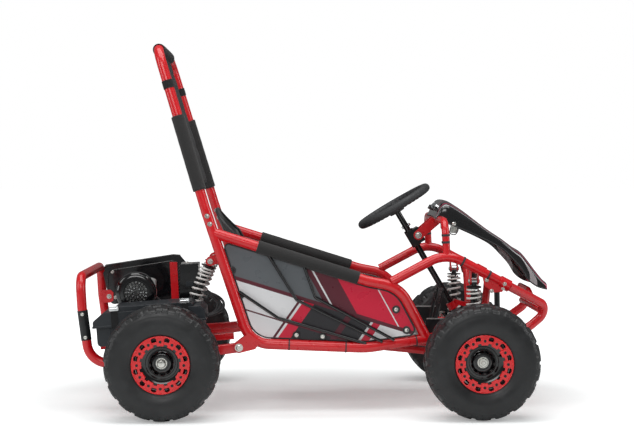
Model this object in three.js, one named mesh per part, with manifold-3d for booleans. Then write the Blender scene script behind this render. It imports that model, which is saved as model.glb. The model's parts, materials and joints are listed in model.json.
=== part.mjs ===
// Off-road go kart with a tubular frame, roll hoop, sprung front arms and a sprung rear carriage.
// Lengths are in millimetres. X points forward, Y to the driver's left and Z up.
// The origin is on the ground under the middle of the kart.
import * as THREE from "three";
import { mergeVertices } from "three/addons/utils/BufferGeometryUtils.js";
import Module from "manifold-3d";

const wasm = await Module();
wasm.setup();

// Driving sizes
const overall = { wheelbase: 979, rearAxleX: -472, noseReach: 251, tailReach: 286, halfTrack: 400 };
const gap = 0.3;
const overrun = 3;
const RIGHT = -1;
const LEFT = 1;
const QUARTER = Math.PI / 2;
const degree = Math.PI / 180;

const rearAxleX = overall.rearAxleX;
const frontAxleX = rearAxleX + overall.wheelbase;
const noseX = frontAxleX + overall.noseReach;
const tailX = rearAxleX - overall.tailReach;

// Turns named distances from a common start into places.
function placedFrom(start, distances) {
  return Object.fromEntries(Object.entries(distances).map(([name, distance]) => [name, start + distance]));
}

// Distances forward of the rear axle
const fromRearAxle = {
  side: { socketX: 127, railBackX: 151, kneeX: 265 },
  guardRear: { topX: 312, bendX: 411 },
  guardFront: { topX: 428, bendX: 470 },
  guardLow: { topX: 232, bendX: 352 },
  hoop: { topX: -25 },
  lowerRail: { startX: 342 },
  crossTube: { rearX: 342 },
  shockBeam: { x: 177 },
  pivot: { x: 231 },
  carriage: { tailX: -128, beamX: 100, railFrontX: 210 },
  rearBumper: { startX: -103 },
  motor: { x: -115 },
  motorPlate: { front: -48, back: -173 },
  caliper: { x: -52 },
  box: { frontX: 123 },
  controller: { x: 56 },
  controllerLeg: { x: 89 },
  guard: { frontX: 29, lowFrontX: 20 },
  guardStrap: { x: -2, topX: -15 },
  rearShock: { topX: 132, lowX: 38 },
  seat: { frontX: 602, hipX: 307, topX: 150 },
  railPad: { startX: 289 },
};
// Distances forward of the front axle; most of these places lie behind it
const fromFrontAxle = {
  side: { sillX: -347, railDipX: -342, shoulderX: -244, toeX: -157 },
  guardRear: { footX: -278 },
  guardFront: { footX: -242 },
  guardLow: { footX: -318 },
  arch: { rootX: -269, peakX: -98, noseX: 99 },
  dash: { x: -96, topX: -102 },
  lowerRail: { kinkX: -307, noseX: 89 },
  bulkhead: { x: 35 },
  toeRail: { startX: -164 },
  crossTube: { middleX: -447, frontX: -307, noseX: 77 },
  frontShock: { x: -8 },
  knuckle: { armX: -48 },
  column: { topX: -241 },
  floorPan: { startX: -429, wallStartX: -159, endX: -75 },
  stand: { floorX: -107 },
  railPad: { endX: -373 },
  cowl: { backX: -117 },
  pedal: { x: -115 },
};
// Distances forward of the tail
const fromTail = {
  carriage: { railBackX: 68 },
  rearBumper: { waistX: 21, footX: 44 },
  box: { backX: 65 },
  guard: { backX: 23, lowBackX: 52 },
  guardTab: { x: 46 },
};
// Distances back from the nose, as negative values
const fromNose = {
  bumper: { underX: -72, nosePostX: -55 },
  cowl: { frontX: -2 },
};
// Distances from the inner side of the wheels
const fromWheels = {
  side: { y: -42.5, frontY: -69.5 },
};
// Distances outward of the middle of the side tubes
const fromSideTubes = {
  guardRod: { y: 7 },
  hoop: { topHalf: -45 },
  headrest: { lowHalf: -59 },
  arch: { noseY: -5 },
  bulkhead: { topY: -9 },
  carriage: { armY: -1 },
  rearBumper: { half: -39 },
  guard: { y: -55 },
  guardStrap: { y: -63 },
  frontShock: { topY: -17, lowY: -35 },
  seat: { half: -100 },
  floorPan: { half: -85 },
  panel: { y: -8 },
};
// Distances from other single places
const fromRightTube = { box: { near: -5 } };
const fromHoop = { headrest: { rollHalf: -75 } };
const fromLowerRail = { bulkhead: { footY: 4 } };
const fromTrack = { kingpin: { y: -102 } };
const fromKingpin = { knuckle: { armY: -14 } };
const fromAxleHeight = { frontShock: { lowZ: 28.5 }, knuckle: { armZ: 69.5 } };

// Wheels
const tyre = {
  radius: 177.5,
  shoulderRadius: 163,
  bulgeRadius: 124,
  boreRadius: 78.9,
  halfWidth: 72.5,
  shoulderHalf: 68,
  crownHalf: 34,
  seatHalf: 48.6,
  lugDepth: 9,
  lugs: 10,
  columnsPerLug: 3,
};
const rim = {
  lipRadius: 88.5,
  barrelRadius: 78.5,
  innerRadius: 74,
  lipHalf: 60,
  lipThickness: 3,
  seatHalf: 52,
  hubRadius: 30,
  hubBack: -30,
  hubFront: 21,
  discBack: 5,
  dishDepth: 6,
  discEdge: 14,
  boreRadius: 13.4,
};
const beadRing = {
  thickness: 5,
  tabs: 12,
  innerRadius: 75,
  tabRadius: 66,
  tabTipShare: 0.2,
};
const axleZ = tyre.radius;
const wheelInside = overall.halfTrack - tyre.halfWidth;

// Side frames: one bent loop on each side
const side = {
  ...placedFrom(wheelInside, fromWheels.side),
  ...placedFrom(rearAxleX, fromRearAxle.side),
  ...placedFrom(frontAxleX, fromFrontAxle.side),
  radius: 16.5,
  socketZ: 640,
  kneeZ: 221,
  sillZ: 206,
  toeZ: 232,
  railBackZ: 568,
  railDipZ: 415.5,
  shoulderZ: 397,
  kneeBend: 87,
  sillBend: 260,
  shoulderBend: 105,
  socketDepth: 60,
};
const guardRod = { radius: 5, bend: 12, ...placedFrom(side.y, fromSideTubes.guardRod) };
// Each guard rod runs from its top, through a bend, to a place on the sill
const guardRoutes = {
  rear: {
    bendZ: 358,
    ...placedFrom(rearAxleX, fromRearAxle.guardRear),
    ...placedFrom(frontAxleX, fromFrontAxle.guardRear),
  },
  front: {
    bendZ: 366,
    ...placedFrom(rearAxleX, fromRearAxle.guardFront),
    ...placedFrom(frontAxleX, fromFrontAxle.guardFront),
  },
  low: {
    topZ: 384,
    bendZ: 302,
    ...placedFrom(rearAxleX, fromRearAxle.guardLow),
    ...placedFrom(frontAxleX, fromFrontAxle.guardLow),
  },
};

// Roll hoop, pushed into the sockets of the side frames
const hoop = {
  radius: 16,
  ...placedFrom(side.y, fromSideTubes.hoop),
  ...placedFrom(rearAxleX, fromRearAxle.hoop),
  topZ: 1146,
  bend: 62,
  sleeveRadius: 21,
  sleeveStartShare: 0.12,
  sleeveEndShare: 0.58,
};
const headrest = {
  ...placedFrom(hoop.topHalf, fromHoop.headrest),
  ...placedFrom(side.y, fromSideTubes.headrest),
  thickness: 12,
  rollWall: 5,
  startShare: 0.16,
};

// Front frame: an arch on each side, the dash hoop and the bulkhead
const arch = {
  radius: 15,
  ...placedFrom(frontAxleX, fromFrontAxle.arch),
  ...placedFrom(side.y, fromSideTubes.arch),
  rootZ: 414,
  peakZ: 505,
  noseZ: 400,
  bend: 107,
};
const dash = {
  radius: 12,
  ...placedFrom(frontAxleX, fromFrontAxle.dash),
  topZ: 603,
  footZ: 488,
  bend: 46,
};
const dashArm = { y: 26, thickness: 4, bolt: 5, ear: 20 };
const lowerRail = {
  y: 110,
  radius: 12,
  ...placedFrom(rearAxleX, fromRearAxle.lowerRail),
  ...placedFrom(frontAxleX, fromFrontAxle.lowerRail),
  kinkZ: 189,
  noseZ: 150,
};
const bulkhead = {
  radius: 12,
  ...placedFrom(frontAxleX, fromFrontAxle.bulkhead),
  ...placedFrom(side.y, fromSideTubes.bulkhead),
  ...placedFrom(lowerRail.y, fromLowerRail.bulkhead),
  topZ: 428,
  footZ: 160,
};
const toeRail = { radius: 11, ...placedFrom(frontAxleX, fromFrontAxle.toeRail), startZ: 236, endZ: 240 };
const crossTube = {
  radius: 12.5,
  ...placedFrom(rearAxleX, fromRearAxle.crossTube),
  ...placedFrom(frontAxleX, fromFrontAxle.crossTube),
};
const shockBeam = { radius: 14, ...placedFrom(rearAxleX, fromRearAxle.shockBeam), z: 482 };

// Front bumper, clamped to the noses of the arches
const bumper = {
  radius: 14.3,
  noseHalf: 172,
  noseHighZ: 332,
  noseLowZ: 304,
  bend: 20,
  ...placedFrom(noseX, fromNose.bumper),
  underZ: 257,
  underHalf: 186,
  footZ: 202,
  clampLength: 32,
  clampWall: 4,
  crossDrop: 20,
  crossShare: 0.75,
  crossInShare: 2.3,
  nosePostRadius: 8,
  nosePostHalf: 96,
  nosePostTop: 372,
  nosePostBend: 18,
};

// Rear swinging carriage
const pivot = {
  ...placedFrom(rearAxleX, fromRearAxle.pivot),
  z: 209.5,
  boltRadius: 8,
  bushRadius: 18,
  washerRadius: 13,
};
const bracket = { offset: 15, thickness: 4, tail: 34, bolt: 6 };
const carriage = {
  ...placedFrom(side.y, fromSideTubes.carriage),
  ...placedFrom(rearAxleX, fromRearAxle.carriage),
  ...placedFrom(tailX, fromTail.carriage),
  armWidth: 25,
  armHeight: 30,
  tailZ: 181,
  bearingRadius: 26,
  beamZ: 198,
  beamRadius: 14,
  railY: 160,
  railWidth: 20,
  railHeight: 22,
  railFrontZ: 230,
  railBackZ: 198,
};
const rearAxle = { radius: 12.5, nutRadius: 15, nutLength: 14 };
const hubCarrier = { radius: 24, length: 16 };
const rearBumper = {
  radius: 15.3,
  ...placedFrom(side.y, fromSideTubes.rearBumper),
  ...placedFrom(tailX, fromTail.rearBumper),
  ...placedFrom(rearAxleX, fromRearAxle.rearBumper),
  topZ: 427,
  waistZ: 327,
  footZ: 155,
  topBend: 46,
  footBend: 66,
};

// Drive
const motor = {
  ...placedFrom(rearAxleX, fromRearAxle.motor),
  z: 361,
  radius: 54,
  near: -60,
  far: 42,
  flange: 62,
  flangeStart: 16,
  flangeEnd: 28,
  noseRadius: 22,
  noseLength: 6,
  shaftRadius: 5.3,
  shaftDepth: 16,
  footHalf: 40,
  footDrop: 58,
};
const motorPlate = {
  ...placedFrom(rearAxleX, fromRearAxle.motorPlate),
  thickness: 5,
  near: -29,
  far: 46,
  postHalf: 12,
};
const drive = {
  y: 62,
  width: 8,
  toothWidth: 4,
  toothDepth: 4.2,
  sprocketRadius: 75,
  sprocketTeeth: 25,
  pinionRadius: 15,
  pinionTeeth: 5,
};
const chainBelt = { width: 9, inset: 0.7, height: 4.8 };
const brake = { y: -50, radius: 66, thickness: 4 };
const caliper = {
  ...placedFrom(rearAxleX, fromRearAxle.caliper),
  z: 236,
  length: 40,
  height: 34,
  half: 15,
  armWidth: 8,
  slack: 0.9,
};
const box = {
  ...placedFrom(rearAxleX, fromRearAxle.box),
  ...placedFrom(tailX, fromTail.box),
  ...placedFrom(-side.y, fromRightTube.box),
  far: -132,
  height: 60,
  lidHeight: 46,
  skirt: 9,
  wall: 4,
  bevel: 26,
};
const controller = {
  ...placedFrom(rearAxleX, fromRearAxle.controller),
  z: 398,
  length: 66,
  height: 108,
  half: 44,
  lean: 4,
  grooves: 5,
  grooveDepth: 5,
};
const controllerLeg = { ...placedFrom(rearAxleX, fromRearAxle.controllerLeg), thickness: 4, half: 30 };
const guard = {
  ...placedFrom(side.y, fromSideTubes.guard),
  ...placedFrom(tailX, fromTail.guard),
  ...placedFrom(rearAxleX, fromRearAxle.guard),
  thickness: 4,
  flange: 26,
  lowBackZ: 292,
  backZ: 414,
  backTopZ: 432,
  frontTopZ: 468,
  bevelZ: 466,
  frontZ: 441,
  lowFrontZ: 332,
};
const guardTab = { ...placedFrom(tailX, fromTail.guardTab), width: 16, lowZ: 300, highZ: 345, thickness: 4 };
const guardStrap = {
  ...placedFrom(rearAxleX, fromRearAxle.guardStrap),
  ...placedFrom(side.y, fromSideTubes.guardStrap),
  topZ: 442,
  width: 26,
  thickness: 4,
  footRise: 14,
  footHeight: 8,
};

// Suspension units
const shock = {
  springRadius: 21,
  wire: 4.6,
  perch: 24,
  perchThickness: 4,
  neck: 10,
  footNeck: 12,
  bodyRadius: 12,
  rodRadius: 5,
  rodInside: 20,
  boreTop: 6,
};
const eye = { radius: 11, half: 9, bore: 5.8, looseBore: 8, pin: 5 };
const frontShock = {
  ...placedFrom(frontAxleX, fromFrontAxle.frontShock),
  ...placedFrom(side.y, fromSideTubes.frontShock),
  ...placedFrom(axleZ, fromAxleHeight.frontShock),
  topZ: 414,
  curls: 7,
  bodyLength: 92,
};
const rearShock = {
  y: 105,
  ...placedFrom(rearAxleX, fromRearAxle.rearShock),
  topZ: 467,
  lowZ: 240.6,
  curls: 8,
  bodyLength: 112,
};
const tab = { thickness: 4, radius: 15 };

// Front arms and steering
const arm = { pivotY: 135, pivotZ: 158, reach: 66, radius: 10, bushRadius: 11, bushHalf: 13 };
const kingpin = {
  ...placedFrom(overall.halfTrack, fromTrack.kingpin),
  radius: 7,
  sleeveRadius: 14,
  halfHeight: 30,
};
const knuckle = {
  plate: 6,
  web: 8,
  halfWidth: 16,
  pinHead: 4,
  stubRadius: 12,
  ...placedFrom(frontAxleX, fromFrontAxle.knuckle),
  ...placedFrom(kingpin.y, fromKingpin.knuckle),
  ...placedFrom(axleZ, fromAxleHeight.knuckle),
  armRadius: 6,
  armBend: 10,
  bossHalf: 5,
};
const column = {
  radius: 10,
  ...placedFrom(frontAxleX, fromFrontAxle.column),
  topZ: 643,
  lean: 30.6 * degree,
  footDrop: 12,
};
const pitman = { reach: 30, radius: 6, along: 421 };
const tieRod = { radius: 5, eyeRadius: 9, innerY: 25, eyeHalf: 5 };
const steeringWheel = {
  radius: 122,
  grip: 13,
  hubRadius: 34,
  taperShare: 0.8,
  hubDepth: 30,
  spokeWidth: 26,
  spokeDepth: 7,
};
const bearing = { along: 123, length: 52, half: 25, depth: 46 };
const footBearing = { along: 385, length: 24, radius: 17, beamZ: 306, beamRadius: 10 };

// Seat, floor, panels, cowl and pedals
const seat = {
  ...placedFrom(side.y, fromSideTubes.seat),
  ...placedFrom(rearAxleX, fromRearAxle.seat),
  thickness: 6,
  lipZ: 292,
  panZ: 250,
  topZ: 636,
  panEndShare: 0.55,
};
const seatBolster = {
  panRise: 90,
  backRise: 62,
  flatShare: 0.55,
  lowShare: 0.15,
  drawnInShare: 0.12,
  wallShare: 0.6,
};
const floorPan = {
  ...placedFrom(frontAxleX, fromFrontAxle.floorPan),
  ...placedFrom(side.y, fromSideTubes.floorPan),
  z: 224.5,
  thickness: 3,
  wallHeight: 62,
};
// Square stands that carry the seat on the crossing tubes and the floor pan on the lower rails
const stand = { ...placedFrom(frontAxleX, fromFrontAxle.stand), seatY: 60, seatWidth: 24, floorWidth: 14 };
const panel = { ...placedFrom(side.y, fromSideTubes.panel), thickness: 3, inset: 17.4, backBend: 12, toeBend: 20 };
const railPad = {
  ...placedFrom(rearAxleX, fromRearAxle.railPad),
  ...placedFrom(frontAxleX, fromFrontAxle.railPad),
  radius: 20.5,
};
const cowl = {
  ...placedFrom(frontAxleX, fromFrontAxle.cowl),
  ...placedFrom(noseX, fromNose.cowl),
  wall: 3,
  half: 150,
  lowZ: 379,
  highZ: 664,
  crown: 2.4,
  flatShare: 0.6,
};
const pedal = {
  ...placedFrom(frontAxleX, fromFrontAxle.pedal),
  z: 240,
  y: 72,
  rodRadius: 6,
  height: 112,
  lean: 12 * degree,
  plate: 5,
  padHalf: 26,
  earHalf: 11,
  earThickness: 4,
};
const keySwitch = { y: -62, radius: 9, length: 9, bowLength: 15, bowWidth: 20, bowThickness: 3 };

// Shape helpers

// Turns a closed geometry into a solid, with its faces pointing out.
function solid(geometry) {
  const loose = geometry.index ? geometry.toNonIndexed() : geometry.clone();
  for (const name of Object.keys(loose.attributes)) {
    if (name !== "position") loose.deleteAttribute(name);
  }
  const merged = mergeVertices(loose, 1e-3);
  const vertProperties = merged.attributes.position.array;
  const triVerts = new Uint32Array(merged.index.array);
  const made = new wasm.Manifold(new wasm.Mesh({ numProp: 3, vertProperties, triVerts }));
  if (made.volume() > 0) return made;
  return new wasm.Manifold(new wasm.Mesh({ numProp: 3, vertProperties, triVerts: triVerts.reverse() }));
}

function geometryOf(body) {
  const mesh = body.getMesh();
  const places = new Float32Array(mesh.numVert * 3);
  for (let i = 0; i < mesh.numVert; i += 1) {
    for (let k = 0; k < 3; k += 1) places[3 * i + k] = mesh.vertProperties[mesh.numProp * i + k];
  }
  const geometry = new THREE.BufferGeometry();
  geometry.setAttribute("position", new THREE.BufferAttribute(places, 3));
  geometry.setIndex(new THREE.BufferAttribute(new Uint32Array(mesh.triVerts), 1));
  geometry.computeVertexNormals();
  return geometry;
}

const join = (...bodies) => bodies.flat().reduce((all, body) => all.add(body));
const cut = (body, ...tools) => tools.flat().reduce((left, tool) => left.subtract(tool), body);

// A path whose stations are met exactly, so straight runs need only two of them.
class BentPath extends THREE.Curve {
  constructor(stations) {
    super();
    this.stations = stations;
  }
  at(share) {
    return Math.round(share * (this.stations.length - 1));
  }
  getPointAt(share, target = new THREE.Vector3()) {
    return target.copy(this.stations[this.at(share)]);
  }
  getTangentAt(share, target = new THREE.Vector3()) {
    const index = this.at(share);
    const here = this.stations[index];
    const before = this.stations[Math.max(0, index - 1)];
    const after = this.stations[Math.min(this.stations.length - 1, index + 1)];
    const coming = here.clone().sub(before).normalize();
    const going = after.clone().sub(here).normalize();
    return target.copy(coming.add(going).normalize());
  }
}

// Rounds each inner corner of a route with an arc of the given radius.
function bend(corners, radius, stepAngle = 36 * degree) {
  const points = corners.map((corner) => new THREE.Vector3(...corner));
  const radii = Array.isArray(radius) ? radius : points.map(() => radius);
  const stations = [points[0]];
  for (let i = 1; i < points.length - 1; i += 1) {
    const coming = points[i].clone().sub(points[i - 1]).normalize();
    const going = points[i + 1].clone().sub(points[i]).normalize();
    const turn = coming.angleTo(going);
    const inward = going.clone().addScaledVector(coming, -going.dot(coming)).normalize();
    const start = points[i].clone().addScaledVector(coming, -radii[i] * Math.tan(turn / 2));
    const centre = start.clone().addScaledVector(inward, radii[i]);
    const steps = Math.max(1, Math.round(turn / stepAngle));
    for (let k = 0; k <= steps; k += 1) {
      const angle = (turn * k) / steps;
      const station = centre.clone().addScaledVector(inward, -radii[i] * Math.cos(angle));
      stations.push(station.addScaledVector(coming, radii[i] * Math.sin(angle)));
    }
  }
  stations.push(points.at(-1));
  return stations;
}

function polygon(radius, sides, phase = 0) {
  return Array.from({ length: sides }, (_, i) => {
    const angle = phase + (2 * Math.PI * i) / sides;
    return new THREE.Vector2(radius * Math.cos(angle), radius * Math.sin(angle));
  });
}

function sweep(shape, stations) {
  const steps = stations.length - 1;
  return solid(new THREE.ExtrudeGeometry(shape, { steps, extrudePath: new BentPath(stations) }));
}

const tube = (corners, radius, bendRadius = 0, sides = 8) =>
  sweep(new THREE.Shape(polygon(radius, sides)), bend(corners, bendRadius));

function rodBetween(start, end, radius, sides = 8) {
  return tube([start, end], radius, 0, sides);
}

// A bore for a rod of that radius. Its flats stand the gap off the rod's corners, however the rod turns.
function turningBore(start, end, radius, sides = 8) {
  const corner = (radius + gap) / Math.cos(Math.PI / sides);
  return sweep(new THREE.Shape(polygon(corner, sides, Math.PI / sides)), bend([start, end], 0));
}

// A box by its lowest and highest corners.
function block(low, high) {
  const size = high.map((value, i) => value - low[i]);
  const centre = high.map((value, i) => (value + low[i]) / 2);
  return solid(new THREE.BoxGeometry(...size).translate(...centre));
}

// A flat plate seen from the side, between two values of Y. Its outline holds [x, z] pairs.
function sidePlate(outline, lowY, highY, holes = []) {
  const shape = new THREE.Shape(outline.map(([x, z]) => new THREE.Vector2(x, z)));
  for (const hole of holes) shape.holes.push(new THREE.Path(hole));
  const plate = new THREE.ExtrudeGeometry(shape, { depth: highY - lowY, bevelEnabled: false });
  return solid(plate.rotateX(QUARTER).translate(0, highY, 0));
}

// A flat plate seen from above, between two heights. Its outline holds [x, y] pairs.
function floorPlate(outline, lowZ, highZ) {
  const shape = new THREE.Shape(outline.map(([x, y]) => new THREE.Vector2(x, y)));
  const plate = new THREE.ExtrudeGeometry(shape, { depth: highZ - lowZ, bevelEnabled: false });
  return solid(plate.translate(0, 0, lowZ));
}

// A ring about the Y axis from a closed profile of [radius, y] pairs.
function ring(profile, segments) {
  const points = [...profile, profile[0]].map(([r, y]) => new THREE.Vector2(r, y));
  return solid(new THREE.LatheGeometry(points, segments));
}

// A surface that closes on itself both ways round: place(i, j) gives the point at column i and row j.
function wrapped(columns, rows, place) {
  const points = [];
  const corners = [];
  for (let i = 0; i < columns; i += 1) {
    for (let j = 0; j < rows; j += 1) {
      points.push(...place(i, j));
      const a = i * rows + j;
      const b = ((i + 1) % columns) * rows + j;
      const c = ((i + 1) % columns) * rows + ((j + 1) % rows);
      const d = i * rows + ((j + 1) % rows);
      corners.push(a, b, c, a, c, d);
    }
  }
  const geometry = new THREE.BufferGeometry();
  geometry.setAttribute("position", new THREE.Float32BufferAttribute(points, 3));
  geometry.setIndex(corners);
  return geometry;
}

// A shell of even wall: surface(u, v) gives its outer point and wall(u, v) the inner one, shares 0 to 1.
function shell(columns, rows, surface, wall) {
  const points = [];
  const corners = [];
  for (const layer of [surface, wall]) {
    for (let i = 0; i <= columns; i += 1) {
      for (let j = 0; j <= rows; j += 1) points.push(...layer(i / columns, j / rows));
    }
  }
  const size = (columns + 1) * (rows + 1);
  const at = (layer, i, j) => layer * size + i * (rows + 1) + j;
  const quad = (a, b, c, d) => corners.push(a, b, c, a, c, d);
  for (let i = 0; i < columns; i += 1) {
    for (let j = 0; j < rows; j += 1) {
      quad(at(0, i, j), at(0, i + 1, j), at(0, i + 1, j + 1), at(0, i, j + 1));
      quad(at(1, i, j), at(1, i, j + 1), at(1, i + 1, j + 1), at(1, i + 1, j));
    }
  }
  for (let i = 0; i < columns; i += 1) {
    quad(at(0, i, 0), at(1, i, 0), at(1, i + 1, 0), at(0, i + 1, 0));
    quad(at(0, i, rows), at(0, i + 1, rows), at(1, i + 1, rows), at(1, i, rows));
  }
  for (let j = 0; j < rows; j += 1) {
    quad(at(0, 0, j), at(0, 0, j + 1), at(1, 0, j + 1), at(1, 0, j));
    quad(at(0, columns, j), at(1, columns, j), at(1, columns, j + 1), at(0, columns, j + 1));
  }
  const geometry = new THREE.BufferGeometry();
  geometry.setAttribute("position", new THREE.Float32BufferAttribute(points, 3));
  geometry.setIndex(corners);
  return geometry;
}

// Materials
const paint = (color, roughness, metalness = 0) =>
  new THREE.MeshStandardMaterial({ color, roughness, metalness });
const red = paint(0xc8102a, 0.3, 0.2);
const rubber = paint(0x26282a, 0.85);
const glossBlack = paint(0x121314, 0.25);
const satinBlack = paint(0x202224, 0.5);
const foam = paint(0x2b2b2c, 0.95);
const steel = paint(0xb9bcc0, 0.3, 0.9);
const zinc = paint(0xd6d4cc, 0.35, 0.8);
const springWhite = paint(0xe9e6e0, 0.35);
const greyPlastic = paint(0x3c3f42, 0.6);
const livery = paint(0xd9dadc, 0.4);

const kart = new THREE.Group();

function addNode(name, body, material, parent = kart) {
  const mesh = new THREE.Mesh(geometryOf(body.simplify(gap / 3)), material);
  mesh.name = name;
  parent.add(mesh);
  return mesh;
}

const sideName = (hand) => (hand === RIGHT ? "right" : "left");
const between = (from, to, share) => from + (to - from) * share;

// Side frames

// X of the rear upright at a height, and its distance from the middle above the socket.
const uprightX = (z) => between(side.kneeX, side.socketX, (z - side.kneeZ) / (side.socketZ - side.kneeZ));

// Height of the top rail's centre line at a place along the kart.
const railZ = (x) =>
  between(side.railBackZ, side.railDipZ, (x - side.railBackX) / (side.railDipX - side.railBackX));

// Height of the sill's centre line at a place along the kart.
function sillZ(x) {
  if (x < side.sillX) return between(side.kneeZ, side.sillZ, (x - side.kneeX) / (side.sillX - side.kneeX));
  return between(side.sillZ, side.toeZ, (x - side.sillX) / (side.toeX - side.sillX));
}

function loopRoute(hand) {
  const y = hand * side.y;
  return [
    [side.socketX, y, side.socketZ],
    [side.kneeX, y, side.kneeZ],
    [side.sillX, y, side.sillZ],
    [side.toeX, hand * side.frontY, side.toeZ],
  ];
}

function railRoute(hand) {
  const y = hand * side.y;
  return [
    [side.railBackX, y, side.railBackZ],
    [side.railDipX, y, side.railDipZ],
    [side.shoulderX, y, side.shoulderZ],
    [side.toeX, hand * side.frontY, side.toeZ],
  ];
}

const loopBends = [0, side.kneeBend, side.sillBend, 0];
const railBends = [0, side.sillBend, side.shoulderBend, 0];
const loopTube = (hand, extra = 0) => tube(loopRoute(hand), side.radius + extra, loopBends);
const railTube = (hand, extra = 0) => tube(railRoute(hand), side.radius + extra, railBends);

function guardRods(hand, extra = 0) {
  const y = hand * guardRod.y;
  return Object.values(guardRoutes).map((route) => {
    const corners = [
      [route.topX, y, route.topZ ?? railZ(route.topX)],
      [route.bendX, y, route.bendZ],
      [route.footX, y, sillZ(route.footX)],
    ];
    return tube(corners, guardRod.radius + extra, guardRod.bend, 5);
  });
}

// The swingarm's hinge bracket: an outer and an inner cheek with the bolt between them.
function pivotBracket(hand) {
  const outline = [
    [pivot.x - pivot.bushRadius, pivot.z],
    [pivot.x - pivot.bushRadius * 0.7, pivot.z + pivot.bushRadius * 0.7],
    [side.kneeX - bracket.thickness, side.kneeZ + bracket.tail],
    [side.kneeX + bracket.tail, side.kneeZ + bracket.bolt],
    [side.kneeX + bracket.tail * 0.5, side.kneeZ - side.radius],
    [pivot.x + pivot.bushRadius * 0.5, pivot.z - pivot.bushRadius * 0.85],
    [pivot.x - pivot.bushRadius * 0.5, pivot.z - pivot.bushRadius * 0.85],
  ];
  const cheek = (from, to) => sidePlate(outline, Math.min(from, to), Math.max(from, to));
  const outerY = hand * (carriage.armY + bracket.offset);
  const innerY = hand * (carriage.armY - bracket.offset);
  const bolt = rodBetween(
    [pivot.x, innerY - hand * bracket.bolt, pivot.z],
    [pivot.x, outerY + hand * (bracket.thickness + bracket.bolt), pivot.z],
    pivot.boltRadius,
    6,
  );
  const nut = rodBetween(
    [pivot.x, outerY, pivot.z],
    [pivot.x, outerY + hand * (bracket.thickness + bracket.bolt * 0.8), pivot.z],
    pivot.washerRadius,
    6,
  );
  return [
    cheek(outerY, outerY + hand * bracket.thickness),
    cheek(innerY, innerY - hand * bracket.thickness),
    bolt,
    nut,
  ];
}

function hoopFoot(hand, extra) {
  const start = new THREE.Vector3(side.kneeX, hand * side.y, side.kneeZ);
  const top = new THREE.Vector3(side.socketX, hand * side.y, side.socketZ);
  const down = start.sub(top).normalize();
  return top.addScaledVector(down, side.socketDepth + extra).toArray();
}

function hoopRoute(extra = 0) {
  return [
    hoopFoot(RIGHT, extra),
    [side.socketX, RIGHT * side.y, side.socketZ],
    [hoop.topX, RIGHT * hoop.topHalf, hoop.topZ],
    [hoop.topX, LEFT * hoop.topHalf, hoop.topZ],
    [side.socketX, LEFT * side.y, side.socketZ],
    hoopFoot(LEFT, extra),
  ];
}
const hoopBends = [0, hoop.bend, hoop.bend, hoop.bend, hoop.bend, 0];

// One side of the frame. The hoop's route, grown by the gap, bores the socket at its top.
function sideFrame(hand) {
  const whole = join(loopTube(hand), railTube(hand), guardRods(hand), pivotBracket(hand));
  return cut(whole, tube(hoopRoute(gap), hoop.radius + gap, hoopBends));
}

for (const hand of [RIGHT, LEFT]) {
  addNode(`side_frame_${sideName(hand)}`, sideFrame(hand), red);
}

// What other pieces cut away where they meet the side frames.
const sideCutters = [RIGHT, LEFT].flatMap((hand) => [loopTube(hand, gap), railTube(hand, gap)]);

// Roll hoop and its soft covers
addNode("roll_hoop", tube(hoopRoute(), hoop.radius, hoopBends), red);

function hoopPlace(hand, share) {
  const foot = new THREE.Vector3(side.socketX, hand * side.y, side.socketZ);
  return foot.lerp(new THREE.Vector3(hoop.topX, hand * hoop.topHalf, hoop.topZ), share);
}

// A foam sleeve round a straight tube.
function sleeve(start, end, inner, outer) {
  const shape = new THREE.Shape(polygon(outer, 8));
  shape.holes.push(new THREE.Path(polygon(inner, 8)));
  return sweep(shape, [start, end]);
}

for (const hand of [RIGHT, LEFT]) {
  const start = hoopPlace(hand, hoop.sleeveStartShare);
  const end = hoopPlace(hand, hoop.sleeveEndShare);
  addNode(`hoop_sleeve_${sideName(hand)}`, sleeve(start, end, hoop.radius + gap, hoop.sleeveRadius), foam);
}

for (const hand of [RIGHT, LEFT]) {
  const start = new THREE.Vector3(railPad.startX, hand * side.y, railZ(railPad.startX));
  const end = new THREE.Vector3(railPad.endX, hand * side.y, railZ(railPad.endX));
  const cover = cut(rodBetween(start.toArray(), end.toArray(), railPad.radius), railTube(hand, gap));
  addNode(`rail_pad_${sideName(hand)}`, cut(cover, guardRods(hand, gap)), foam);
}

// Wheels

// Tread lugs stand up in groups of columns, set half a pitch apart on the two shoulders.
function tyreBody() {
  const columns = tyre.lugs * tyre.columnsPerLug;
  const rows = [
    [tyre.boreRadius, -tyre.seatHalf, 0],
    [tyre.bulgeRadius, -tyre.halfWidth, 0],
    [tyre.shoulderRadius, -tyre.shoulderHalf, 1],
    [tyre.radius, -tyre.crownHalf, 1],
    [tyre.radius, tyre.crownHalf, 2],
    [tyre.shoulderRadius, tyre.shoulderHalf, 2],
    [tyre.bulgeRadius, tyre.halfWidth, 0],
    [tyre.boreRadius, tyre.seatHalf, 0],
  ];
  const place = (i, j) => {
    const [radius, y, half] = rows[j];
    const column = (half === 2 ? i + 1 : i) % tyre.columnsPerLug;
    const sunk = half > 0 && column === tyre.columnsPerLug - 1 ? tyre.lugDepth : 0;
    const angle = (2 * Math.PI * i) / columns - QUARTER;
    const r = radius - sunk;
    return [r * Math.cos(angle), y, r * Math.sin(angle)];
  };
  return solid(wrapped(columns, rows.length, place));
}

// The rim has one facet for every lug of the tyre, so their corners line up.
const rimSegments = tyre.lugs;

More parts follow.
